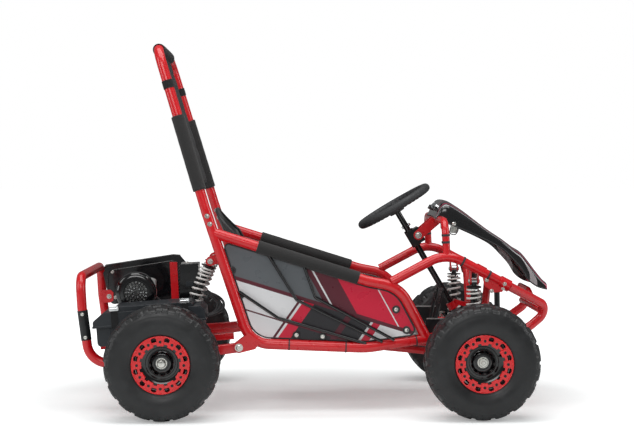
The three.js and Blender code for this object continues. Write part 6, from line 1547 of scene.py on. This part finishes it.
def build_front_bumper():
    """The front bumper: two sled tubes, the bar and the upright loop between them, and the clamps."""
    parts = Parts()
    for hand in (RIGHT, LEFT):
        corners = np.array(SLED) * (1, hand, 1)
        parts.add("red", tube(bent(corners, (0, 33, 60, 0)), 14.3, 28))
        nose = np.array(ARCH["nose"]) * (1, hand, 1)
        back = unit(np.array(ARCH["peak"]) * (1, hand, 1) - nose)
        clamp = sleeve(np.array([nose + back * 32, nose - back * 4]), 15.3, 19, 32)
        parts.add("red", clamp)
        parts.add("zinc", bolt(nose + back * 16 + (0, hand * 18, 0), (0, hand, 0), 4.5, 5))
    x, half, z = (NOSE_BAR[key] for key in ("x", "half", "z"))
    parts.add("red", rod((x, -half, z), (x, half, z), NOSE_BAR["radius"]))
    parts.add("red", tube(bent(NOSE_LOOP, 18), 8, 20))
    put("nose_bumper", parts, "chassis", ["front_bumper"])


# Floor, pedals and side panels

PEDAL = {"x": 392.0, "y": 72.0, "z": 240.0, "height": 112.0, "lean": 12 * DEGREE, "half": 26.0}


FLOOR = {"low": 224.5, "top": 227.5, "back": 78.0, "front": 432.0, "half": 200.0, "wall": 3.0}
WALL_OUTLINE = ((348, FLOOR["low"]), (FLOOR["front"], FLOOR["low"]), (FLOOR["front"], 287), (354, 287))
RIB_OUTLINE = ((-4, -0.4), (4, -0.4), (2.4, 1.8), (-2.4, 1.8))
PEDAL_LUG = ((381, 226), (403, 226), (403, 251), (381, 251))


def build_floor():
    """The floor pan with rolled ribs, and the walls of the footwell with bright upper edges."""
    low, top, back, front, half = (FLOOR[key] for key in ("low", "top", "back", "front", "half"))
    parts = Parts("aluminium", block((back, -half, low), (front, half, top)))
    for y in np.arange(-150, 151, 50):
        route = [(x, y, top - 0.1) for x in (110, 330)]
        parts.add("aluminium", swept(route, rounded(RIB_OUTLINE, 0.6)))
    for hand in (RIGHT, LEFT):
        inner, outer = hand * (half - FLOOR["wall"]), hand * half
        parts.add("satin black", plate(rounded(WALL_OUTLINE, (0, 0, 6, 10)), inner, outer))
        route = [(x, (inner + outer) / 2, 287.6) for x in (356, 428)]
        parts.add("aluminium", swept(route, oblong(2.2, 1.8)))
        for end in (-1, 1):
            y = hand * PEDAL["y"] + end * 22
            parts.add("aluminium", plate(rounded(PEDAL_LUG, (0, 0, 9, 9)), y - 2, y + 2))
    put("floor_sheet", parts, "chassis", ["floor_pan"], bevel=0.5)


def build_pedal(name, hand):
    """One pedal: its axle, lever and ribbed pad."""
    x, z, half, lean = PEDAL["x"], PEDAL["z"], PEDAL["half"], PEDAL["lean"]
    y = hand * PEDAL["y"]
    up = np.array([np.sin(lean), 0, np.cos(lean)])
    front = np.array([np.cos(lean), 0, -np.sin(lean)])
    top = np.array([x, y, z]) + up * PEDAL["height"]
    parts = Parts("steel", rod((x, y - half, z), (x, y + half, z), 5.6))
    pad = plate(rounded(oblong(half, half), 6), -2.5, 2.5, "xy")
    parts.add("satin black", rod((x, y, z), top, 6), placed(pad, top, (0, 1, 0), up, front))
    for row in np.arange(-18, 19, 9):
        rib = block((-21, row - 1.6, -4.6), (21, row + 1.6, -2))
        parts.add("rubber", placed(rib, top, (0, 1, 0), up, front))
    body = name.split("_")[0]
    put(f"{body}_lever", parts, body, [name], bevel=0.5)


def panel_outline(inset):
    """The side frame's outline drawn in by an inset, with its corners rounded as the tubes bend."""
    back_x = between(KNEE[0], SOCKET[0], (RAIL_BACK[1] - KNEE[1]) / (SOCKET[1] - KNEE[1]))
    corners = np.array([(back_x, RAIL_BACK[1]), KNEE, SILL, TOE, SHOULDER, RAIL_DIP])
    coming = unit(corners - np.roll(corners, 1, axis=0))
    going = unit(np.roll(corners, -1, axis=0) - corners)
    inward_coming = np.stack([-coming[:, 1], coming[:, 0]], axis=1)
    inward_going = np.stack([-going[:, 1], going[:, 0]], axis=1)
    middle = unit(inward_coming + inward_going)
    moved = corners + middle * inset / np.sum(middle * inward_going, axis=1, keepdims=True)
    return rounded(moved, (12, 70, 0, 20, 88, 0), 6 * DEGREE)


DULL_CLIPS = ((-263, 450), (-237, 372))
BRIGHT_CLIPS = ((-61, 246), (21, 241), (252, 326), (285, 261))
CUP_PROFILE = ((THIN, 0), (12, 0), (12.6, 1.2), (12.4, 3), (10.4, 4.4), (7.4, 2.4), (THIN, 2.4))


PANEL = {"inner": 277.0, "outer": 280.0, "inset": 18.4, "edge_inset": 18.9, "edge": 2.8}


def build_side_panel(side):
    """The printed side panel with its black rubber edge, and the clips that hold it."""
    hand = HANDS[side]
    inner, outer = hand * PANEL["inner"], hand * PANEL["outer"]
    parts = Parts("print", plate(panel_outline(PANEL["inset"]), inner, outer))
    y = (inner + outer) / 2
    edge = np.array([(x, y, z) for x, z in panel_outline(PANEL["edge_inset"])])
    parts.add("rubber", tube(np.concatenate([edge, edge[:1]]), PANEL["edge"], 12))
    put(f"printed_panel_{side}", parts, "chassis", [f"side_panel_{side}"])
    clips = Parts()
    for finish, places in (("satin black", DULL_CLIPS), ("zinc", BRIGHT_CLIPS)):
        for x, z in places:
            clips.add("rubber", turned(CUP_PROFILE, (x, outer, z), (0, hand, 0), 28))
            clips.add(finish, bolt((x, outer + hand * 2, z), (0, hand, 0), 4.6, 3, 20))
    put(f"panel_clips_{side}", clips, "chassis")


# Nose cowl and key

COWL = {"back": 390.0, "front": 756.0, "low": 379.0, "high": 664.0, "half": 150.0, "wall": 3.0}
COWL_STATION_SHARES = (
    (0.0, 0.83, 0.81, 0.93),
    (0.08, 1.0, 0.76, 1.0),
    (0.22, 0.92, 0.69, 1.0),
    (0.46, 0.69, 0.55, 0.98),
    (0.60, 0.57, 0.45, 0.97),
    (0.70, 0.475, 0.325, 0.955),
    (0.77, 0.42, 0.222, 0.95),
    (0.83, 0.335, 0.10, 0.94),
    (0.90, 0.215, 0.03, 0.925),
    (0.965, 0.11, 0.0, 0.9),
    (1.0, 0.07, -0.01, 0.88),
)


def cowl_side(depth):
    """One face of the cowl. At each station along the nose the section is the upper half of a squared-off
    ellipse, y = half |sin t|^p and z = low + height |cos t|^p, and the stations' sizes run smoothly."""
    line = curve(COWL_STATION_SHARES, 8)
    x = between(COWL["back"], COWL["front"], line[:, :1])
    top = between(COWL["low"], COWL["high"], line[:, 1:2])
    bottom = between(COWL["low"], COWL["high"], line[:, 2:3])
    half = COWL["half"] * line[:, 3:]
    turn = np.linspace(-QUARTER, QUARTER, 81)[None]
    power = 0.36
    shape_y = np.sign(turn) * np.abs(np.sin(turn)) ** power
    shape_z = np.abs(np.cos(turn)) ** power
    crease = 2.2 * np.exp(-(((np.abs(shape_y) - 0.62) / 0.03) ** 2))
    y = (half - depth) * shape_y
    z = bottom + (top - bottom - depth) * shape_z - crease - 2.4 * shape_y ** 2
    z = np.maximum(z, bottom - (0 if depth == 0 else 0.4))
    return np.stack([np.broadcast_to(x - depth * line[:, :1], y.shape), y, z], axis=-1)


COWL_LOOP = ((452, -150, 586), (462, -158, 572), (452, -160, 556), (436, -156, 560), (438, -150, 578))
COWL_TAB = ((438, 560), (462, 560), (462, 596), (438, 596))
KNOBS = ((96, 8), (64, 8), (-98, 7))
KNOB_WAY = (-0.856, 0, 0.517)
KEY = {"foot": (404.38, -62.0, 639.93), "out": (-0.855909, 0.0, 0.517127), "up": (0.517127, 0.0, 0.855909)}
KEY_BARREL = ((THIN, 0.3), (9, 0.3), (9, 6), (7.6, 9), (THIN, 9))
KEY_BOW = ((-10, 7), (10, 7), (10, 22), (-10, 22))


def build_cowl():
    """The nose cowl with its clips and cable, the dash knobs behind it, and the key switch."""
    faces = np.concatenate([cowl_side(0), cowl_side(COWL["wall"])[:, ::-1]], axis=1)
    parts = Parts("cowl", grid(faces, around=True, capped=True))
    edge = cowl_side(0)
    for column in (0, -1):
        parts.add("rubber", tube(edge[:, column], 2.2, 10))
    put("nose_cover", parts, "chassis", ["nose_cowl"])
    parts = Parts()
    for hand in (RIGHT, LEFT):
        parts.add("zinc", bolt((449, hand * 149, 590), (0, hand, 0), 7, 4))
        parts.add("zinc", plate(rounded(COWL_TAB, 4), hand * 147, hand * 149))
    parts.add("rubber", tube(curve(COWL_LOOP, 8), 1.6, 10))
    for y, size in KNOBS:
        place = np.array([401.0, y, 634.0])
        parts.add("gloss black", rod(place, place + np.array(KNOB_WAY) * 11, size, 24))
    put("cowl_fittings", parts, "chassis")
    foot, out, up = (KEY[key] for key in ("foot", "out", "up"))
    barrel = turned(KEY_BARREL, foot, out, 32)
    bow = plate(rounded(KEY_BOW, (3, 3, 8, 8)), -1.5, 1.5, "xy")
    key = placed(bow, foot, up, out, (0, 1, 0))
    put("ignition_key", Parts("chrome", barrel, key), "key", ["key_switch"], bevel=0.4)


# Front arms, knuckles, tie rods and steering

KINGPIN_Y = 298.0
BARREL_PROFILE = ((7.4, -30), (13, -30), (14, -29), (14, 29), (13, 30), (7.4, 30))
BALL_PROFILE = ((THIN, -5), (8, -5), (9, -3), (9, 3), (8, 5), (THIN, 5))
TIE_ROD = {"x": 459.0, "z": 257.3, "outer": 284.0, "inner": 25.0, "past_ball": 8.0, "nut": 28.0}
LEVER_END_Z = 247.0


def build_front_arm(side):
    """One front arm: two legs from their hinges to the kingpin's sleeve, and the seat of the shock."""
    hand = HANDS[side]
    outer = np.array([WHEEL_X["front"], hand * KINGPIN_Y, AXLE_Z])
    parts = Parts()
    for x in ARM_X:
        hinge = np.array([x, hand * ARM_HINGE["y"], ARM_HINGE["z"]])
        parts.add("red", rod(hinge, between(hinge, outer, 0.93), 10))
        parts.add("red", collar(5.4, 11, -13, 13, hinge, (1, 0, 0)))
    parts.add("red", turned(BARREL_PROFILE, outer, (0, 0, 1), 36, closed=True))
    x, (y, z) = FRONT_EYE["x"], FRONT_EYE["low"]
    y = hand * y
    parts.add("red", block((x - 16, y - 10, 168), (x + 16, y + 10, 176)))
    for end in (-1, 1):
        near, far = x + end * 9.9, x + end * 13.9
        tab = rounded([(y - 10, 164), (y + 10, 164), (y + 10, 215), (y - 10, 215)], (2, 2, 8, 8))
        parts.add("red", plate(tab, near, far, "yz"))
        parts.add("zinc", bolt((far, y, z), (end, 0, 0), 6, 4))
    parts.add("zinc", rod((x - 14, y, z), (x + 14, y, z), 5))
    put(f"wishbone_{side}", parts, f"front_arm_{side}", [f"front_arm_{side}"], bevel=0.6)


def build_knuckle(side):
    """One knuckle: the fork round the sleeve, the kingpin, the stub axle and the steering arm."""
    hand = HANDS[side]
    x, y = WHEEL_X["front"], hand * KINGPIN_Y
    inner, web, outer = y - hand * 14, y + hand * 15.2, y + hand * 23.2
    parts = Parts()
    for bottom in (141.2, 207.8):
        fork = rounded([(x - 16, inner), (x + 16, inner), (x + 16, outer), (x - 16, outer)], 5)
        parts.add("satin black", plate(fork, bottom, bottom + 6, "xy"))
    parts.add("satin black", block((x - 16, web, 141), (x + 16, outer, 214)))
    parts.add("zinc", rod((x, y, 139), (x, y, 216), 6.8))
    parts.add("zinc", bolt((x, y, 213.8), (0, 0, 1), 10, 6))
    parts.add("zinc", bolt((x, y, 141.2), (0, 0, -1), 10, 6))
    parts.add("steel", rod((x, outer - hand, AXLE_Z), (x, hand * 421, AXLE_Z), 12))
    lever_end = (TIE_ROD["x"], hand * TIE_ROD["outer"], LEVER_END_Z)
    lever = [(x - 4, y, 215), (x - 24, y, 220), lever_end]
    parts.add("satin black", tube(bent(lever, 10), 6, 18))
    parts.add("zinc", disc(9, -5, 5, lever_end, (0, 0, 1)))
    put(f"stub_fork_{side}", parts, f"knuckle_{side}", [f"knuckle_{side}"], bevel=0.5)
    x, z, outer, inner = (TIE_ROD[key] for key in ("x", "z", "outer", "inner"))
    past, nut = TIE_ROD["past_ball"], TIE_ROD["nut"]
    parts = Parts("chrome", rod((x, hand * (outer - past), z), (x, hand * (inner + past), z), 5, 24))
    for y in (outer, inner):
        parts.add("zinc", turned(BALL_PROFILE, (x, hand * y, z), (0, 0, 1), 28))
    for y in (outer - nut, inner + nut):
        parts.add("zinc", collar(5, 8, 0, 9, (x, hand * y, z), segments=6))
    put(f"track_bar_{side}", parts, f"tie_rod_{side}", [f"tie_rod_{side}"], bevel=0.3)


STEERING = {"radius": 122.0, "grip": 13.0}


def steering_grip():
    """The rim of the steering wheel: a ring whose round section swells a little all round and has finger
    hollows on its underside and inner side."""
    turn = np.linspace(0, TURN, 288, endpoint=False)[:, None]
    around = np.linspace(0, TURN, 36, endpoint=False)[None]
    fingers = np.clip(np.cos(turn * 44), -0.2, 1) * np.clip(np.cos(around - 1.2 * np.pi), 0, 1)
    thick = STEERING["grip"] + 0.6 - 1.9 * fingers
    r = STEERING["radius"] + thick * np.cos(around)
    z = thick * np.sin(around)
    return grid(np.stack([r * np.cos(turn), r * np.sin(turn), z], axis=-1), around=True, along=True)


HUB_PROFILE = ((THIN, 8), (24, 8), (31, 5), (34, 0), (34, -8), (28, -14), (26, -25), (THIN, -25))
CENTRE_CAP = ((THIN, 10), (17, 10), (19, 8), (THIN, 7))
SPOKE_OUTLINE = ((26, -15), (70, -12), (114, -15), (114, 15), (70, 12), (26, 15))


def build_steering():
    """The column with its pitman arm, and the steering wheel."""
    parts = Parts("gloss black", rod(column_place(4), column_place(433), 10, 32))
    root = column_place(421)
    parts.add("gloss black", rod(root, root - ACROSS * 30, 6))
    parts.add("gloss black", collar(10, 15, -8, 8, root, DOWN, 28))
    parts.add("zinc", bolt(root - ACROSS * 24, -DOWN, 6, 5))
    parts.add("chrome", bolt(column_place(78, 9), ACROSS, 5, 8))
    parts.add("chrome", bolt(column_place(78, -9), -ACROSS, 5, 6))
    put("steering_shaft", parts, "steering", ["steering_column"], bevel=0.4)
    parts = Parts("rubber", on_column(steering_grip(), 0))
    parts.add("rubber", on_column(turned(HUB_PROFILE, (0, 0, 0), (0, 0, 1), 48), 0))
    parts.add("satin black", on_column(turned(CENTRE_CAP, (0, 0, 0), (0, 0, 1), 40), 0))
    for angle in (np.pi, QUARTER, -QUARTER):
        c, s = np.cos(angle), np.sin(angle)
        spoke = plate(SPOKE_OUTLINE, -3.5, 3.5, "xy")
        spoke = placed(spoke, (0, 0, 0), (c, s, 0), (-s, c, 0), (0, 0, 1))
        parts.add("rubber", on_column(spoke, 0))
    put("steering_rim", parts, "steering", ["steering_wheel"], bevel=1.2)


# Suspension units

SPRING = {"radius": 20.7, "closed_share": 0.055, "top": 21.4, "foot": 24.4}
EYE_PROFILE = ((5.8, -9), (10, -9), (11, -8), (11, 8), (10, 9), (5.8, 9))
SHELL_PROFILE = ((8.4, 6), (8.4, 15), (20, 16), (24, 17.4), (24, 20), (21, 21), (10.5, 21.2))
PERCH_PROFILE = (
    (5, -27), (9, -26), (16, -23.9), (22, -23.8), (24, -22), (24, -19.6), (20, -18.4), (9.6, -17), (9.6, -6),
)


def spring_shape(top, axis, start, end, curls):
    """A coil spring: a helix about the axis whose pitch closes at both ends, so the last turns lie flat."""
    side, up = square_to(axis)
    turn = np.linspace(0, TURN * curls, curls * 40)[:, None]
    share = np.linspace(0, 1, len(turn))[:, None]
    wire = sizes().spring_wire / MM
    closed = share - SPRING["closed_share"] * np.sin(TURN * share)
    along = between(start + wire / 2, end - wire / 2, closed)
    route = np.asarray(top) + unit(axis) * along
    route = route + SPRING["radius"] * (side * np.cos(turn) + up * np.sin(turn))
    return tube(route, wire / 2, 12)


def build_shock(end, side):
    """One suspension unit between its eyes: body, rod and coil spring."""
    hand = HANDS[side]
    if end == "front":
        top, low = (np.array([FRONT_EYE["x"], hand * y, z]) for y, z in (FRONT_EYE["top"], FRONT_EYE["low"]))
        pin, curls, body_end = (1, 0, 0), 9, 113
    else:
        y = hand * REAR_EYE["y"]
        top, low = (np.array([x, y, z]) for x, z in (REAR_EYE["top"], REAR_EYE["low"]))
        pin, curls, body_end = (0, 1, 0), 13, 133
    length = np.linalg.norm(low - top)
    axis = (low - top) / length
    parts = Parts("chrome", turned(EYE_PROFILE, top, pin, 36, closed=True))
    shell = [*SHELL_PROFILE, (10.5, body_end - 3), (9.4, body_end)]
    parts.add("satin black", turned(shell, top, axis, 48))
    parts.add("chrome", collar(9, 15.5, 24, 29, top, axis, 40))
    body = f"{end}_shock_body_{side}"
    put(f"{end}_damper_{side}", parts, body, [f"{end}_shock_{side}_body"])
    parts = Parts("chrome", turned(EYE_PROFILE, low, pin, 36, closed=True))
    parts.add("satin black", turned(PERCH_PROFILE, low, axis, 48))
    parts.add("chrome", rod(top + axis * (body_end - 20), low - axis * 20, 5, 28))
    name = f"{end}_damper_rod_{side}"
    put(name, parts, f"{end}_shock_rod_{side}", [f"{end}_shock_{side}_rod"])
    coil = Parts("white", spring_shape(top, axis, SPRING["top"], length - SPRING["foot"], curls))
    spring = put(f"{end}_spring_{side}", coil, body, [f"{end}_shock_{side}_spring"])
    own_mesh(spring)


# Stage

CAMERA = {"place": (-90.5, -4680.0, 780.0), "pitch": -2.16 * DEGREE, "yaw": -1.223 * DEGREE}


def white_floor():
    """A pale floor that reads as paper white where no shadow lies, and fades to plain white far away."""
    values = {"Roughness": 1.0, "Specular IOR Level": 0.0, "Emission Color": (1, 1, 1, 1)}
    material, tree, shader, coordinates = new_finish("white_floor", values)
    camera = add(tree, "ShaderNodeLightPath").outputs["Is Camera Ray"]
    inputs = {0: coordinates, 1: (1.0, 1.6, 0.0)}
    flat = add(tree, "ShaderNodeVectorMath", inputs, operation="MULTIPLY").outputs["Vector"]
    away = add(tree, "ShaderNodeVectorMath", {0: flat}, operation="LENGTH").outputs["Value"]
    grain = noise(tree, coordinates, 300, 2)
    stops = [(0.3, (0.90, 0.93, 0.93)), (0.7, (0.92, 0.95, 0.95))]
    tree.links.new(ramp(tree, grain, stops), shader.inputs["Base Color"])
    inputs = {"Value": away, "From Min": 0.9, "From Max": 2.2, "To Min": light().floor_lift, "To Max": 1.0}
    lift = add(tree, "ShaderNodeMapRange", inputs).outputs["Result"]
    lift = add(tree, "ShaderNodeMath", {0: camera, 1: lift}, operation="MULTIPLY").outputs["Value"]
    tree.links.new(lift, shader.inputs["Emission Strength"])
    return material


def lamp(name, place, target, size, power):
    """A soft rectangular lamp that faces its target."""
    data = bpy.data.lights.new(name, "AREA")
    data.shape = "RECTANGLE"
    data.size, data.size_y = np.array(size) * MM
    data.energy = power
    piece = bpy.data.objects.new(name, data)
    bpy.context.scene.collection.objects.link(piece)
    way = unit(np.array(place, float) - np.array(target, float))
    side = unit(np.cross((0, 0, 1), way)) if abs(way[2]) < 0.999 else np.array([1.0, 0, 0])
    up = np.cross(way, side)
    matrix = np.eye(4)
    matrix[:3, :3] = np.stack([side, up, way], axis=1)
    matrix[:3, 3] = np.array(place) * MM
    piece.matrix_world = matrix.T.tolist()


def build_stage():
    """The floor, the lamps, the surroundings and the camera."""
    scene = bpy.context.scene
    mesh = bpy.data.meshes.new("floor")
    reach = 40000 * MM
    mesh.from_pydata([(x, y, 0) for x, y in oblong(reach, reach)], [], [(0, 1, 2, 3)])
    mesh.materials.append(white_floor())
    floor = bpy.data.objects.new("floor", mesh)
    scene.collection.objects.link(floor)
    strength = light().strength
    lamp("overhead", (0, -500, 3300), (0, 0, 300), (3400, 2600), 76 * strength)
    lamp("front", (-900, -4200, 2600), (0, 0, 300), (2600, 1600), 50 * strength)
    lamp("left_strip", (-3200, -1200, 1500), (0, 0, 400), (900, 2200), 22 * strength)
    lamp("right_strip", (3200, -1000, 1500), (0, 0, 400), (900, 2200), 22 * strength)
    world = bpy.data.worlds.new("surroundings")
    scene.world = world
    world.use_nodes = True
    tree = world.node_tree
    camera = add(tree, "ShaderNodeLightPath").outputs["Is Camera Ray"]
    around = tree.nodes["Background"]
    around.inputs["Color"].default_value = (1, 1, 1, 1)
    inputs = {"Value": camera, "To Min": light().surround, "To Max": 1.0}
    level = add(tree, "ShaderNodeMapRange", inputs).outputs["Result"]
    tree.links.new(level, around.inputs["Strength"])
    data = bpy.data.cameras.new("camera")
    data.lens = 79.8
    data.sensor_width = 36.0
    view = bpy.data.objects.new("camera", data)
    scene.collection.objects.link(view)
    view.location = [value * MM for value in CAMERA["place"]]
    view.rotation_euler = (QUARTER + CAMERA["pitch"], 0, CAMERA["yaw"])
    scene.camera = view
    scene.view_settings.view_transform = "Standard"


# Add-on

class KartSizes(bpy.types.PropertyGroup):
    """Sizes that can be changed without redrawing the kart."""

    lug_depth: bpy.props.FloatProperty(
        name="Lug depth", description="Height of the tread's lugs", default=0.0042, unit="LENGTH")
    spring_wire: bpy.props.FloatProperty(
        name="Spring wire", description="Thickness of the springs' wire", default=0.0066, unit="LENGTH")


class KartColours(bpy.types.PropertyGroup):
    """The kart's colours."""

    frame: bpy.props.FloatVectorProperty(
        name="Frame", description="Paint of the frame tubes", default=(0.66, 0.004, 0.010, 1), size=4,
        subtype="COLOR")
    rings: bpy.props.FloatVectorProperty(
        name="Wheel rings", description="Paint of the wheels' rings", default=(0.76, 0.008, 0.012, 1), size=4,
        subtype="COLOR")
    foam: bpy.props.FloatVectorProperty(
        name="Foam", description="Foam of the sleeves and pads", default=(0.022, 0.021, 0.021, 1), size=4,
        subtype="COLOR")
    tyre: bpy.props.FloatVectorProperty(
        name="Tyres", description="Rubber of the tyres", default=(0.013, 0.0135, 0.0145, 1), size=4,
        subtype="COLOR")


class KartLight(bpy.types.PropertyGroup):
    """The studio's light."""

    strength: bpy.props.FloatProperty(
        name="Lamps", description="Strength of the lamps, as a factor", default=1.0, unit="NONE")
    surround: bpy.props.FloatProperty(
        name="Surroundings", description="Brightness of the white surroundings", default=0.17, unit="NONE")
    floor_lift: bpy.props.FloatProperty(
        name="Floor lift", description="How much whiter the floor looks to the camera", default=0.3,
        unit="NONE")


def sizes():
    """The kart's sizes in this scene."""
    return bpy.context.scene.kart_sizes


def colours():
    """The kart's colours in this scene."""
    return bpy.context.scene.kart_colours


def light():
    """The studio's light in this scene."""
    return bpy.context.scene.kart_light


def on_sides(build):
    """Calls a builder for the right and for the left side."""
    for side in HANDS:
        build(side)


def build_frame():
    """Build the side frames, the tubes between them and the bumper tubes"""
    on_sides(build_side_frame)
    build_roll_hoop()
    build_under_frame()
    build_front_frame()
    build_front_bumper()


def build_all_pads():
    """Build the foam sleeves, the rail pads and the headrest"""
    build_pads()
    build_headrest()


def build_drive():
    """Build the axle, sprocket, brake disc, chain, motor and controller"""
    build_rear_axle()
    build_chain()
    build_motor()
    build_controller()


def build_carriage():
    """Build the swinging carriage with its bumper, guard and battery box"""
    build_swingarm()
    build_rear_bumper()
    build_rear_guard()
    build_battery_box()


def build_body():
    """Build the floor, the pedals, the side panels, the nose cowl and the key"""
    build_floor()
    build_pedal("throttle_pedal", RIGHT)
    build_pedal("brake_pedal", LEFT)
    on_sides(build_side_panel)
    build_cowl()


def build_front_end(side):
    """Build one front arm with its knuckle and tie rod"""
    build_front_arm(side)
    build_knuckle(side)


def build_all_steering():
    """Build the front arms, the knuckles, the tie rods and the steering wheel"""
    on_sides(build_front_end)
    build_steering()


def build_shocks():
    """Build the four suspension units with their springs"""
    for side in HANDS:
        build_shock("front", side)
        build_shock("rear", side)


def operator(name, label, build):
    """An operator that runs one builder, with the builder's own words as its description."""
    def execute(self, context):
        build()
        return {"FINISHED"}

    own = {"bl_idname": f"kart.{name}", "bl_label": label, "bl_description": build.__doc__}
    own["execute"] = execute
    return type(f"Build{name.title()}", (bpy.types.Operator,), own)


BUILDERS = (
    operator("frame", "Frame", build_frame),
    operator("pads", "Pads", build_all_pads),
    operator("wheels", "Wheels", build_wheels),
    operator("drive", "Drive", build_drive),
    operator("carriage", "Carriage", build_carriage),
    operator("seat", "Seat", build_seat),
    operator("body", "Bodywork", build_body),
    operator("steering", "Steering", build_all_steering),
    operator("shocks", "Suspension units", build_shocks),
    operator("stage", "Stage", build_stage),
)


class KartPanel(bpy.types.Panel):
    """The go kart's panel in the 3D view's sidebar"""

    bl_idname = "VIEW3D_PT_kart"
    bl_label = "Off-road go kart"
    bl_space_type = "VIEW_3D"
    bl_region_type = "UI"
    bl_category = "Go kart"

    def draw(self, context):
        for group in (context.scene.kart_sizes, context.scene.kart_colours, context.scene.kart_light):
            for name in group.__annotations__:
                self.layout.prop(group, name)
        for builder in BUILDERS:
            self.layout.operator(builder.bl_idname)


CLASSES = (KartSizes, KartColours, KartLight, *BUILDERS, KartPanel)


def register():
    """Registers the classes and their groups on the scene."""
    for kind in CLASSES:
        bpy.utils.register_class(kind)
    bpy.types.Scene.kart_sizes = bpy.props.PointerProperty(type=KartSizes)
    bpy.types.Scene.kart_colours = bpy.props.PointerProperty(type=KartColours)
    bpy.types.Scene.kart_light = bpy.props.PointerProperty(type=KartLight)


def unregister():
    """Takes the groups and the classes away again."""
    del bpy.types.Scene.kart_light
    del bpy.types.Scene.kart_colours
    del bpy.types.Scene.kart_sizes
    for kind in reversed(CLASSES):
        bpy.utils.unregister_class(kind)


def main():
    """Registers the add-on's classes and builds everything in order."""
    register()
    for builder in BUILDERS:
        group, name = builder.bl_idname.split(".")
        getattr(getattr(bpy.ops, group), name)()


if __name__ == "__main__":
    main()
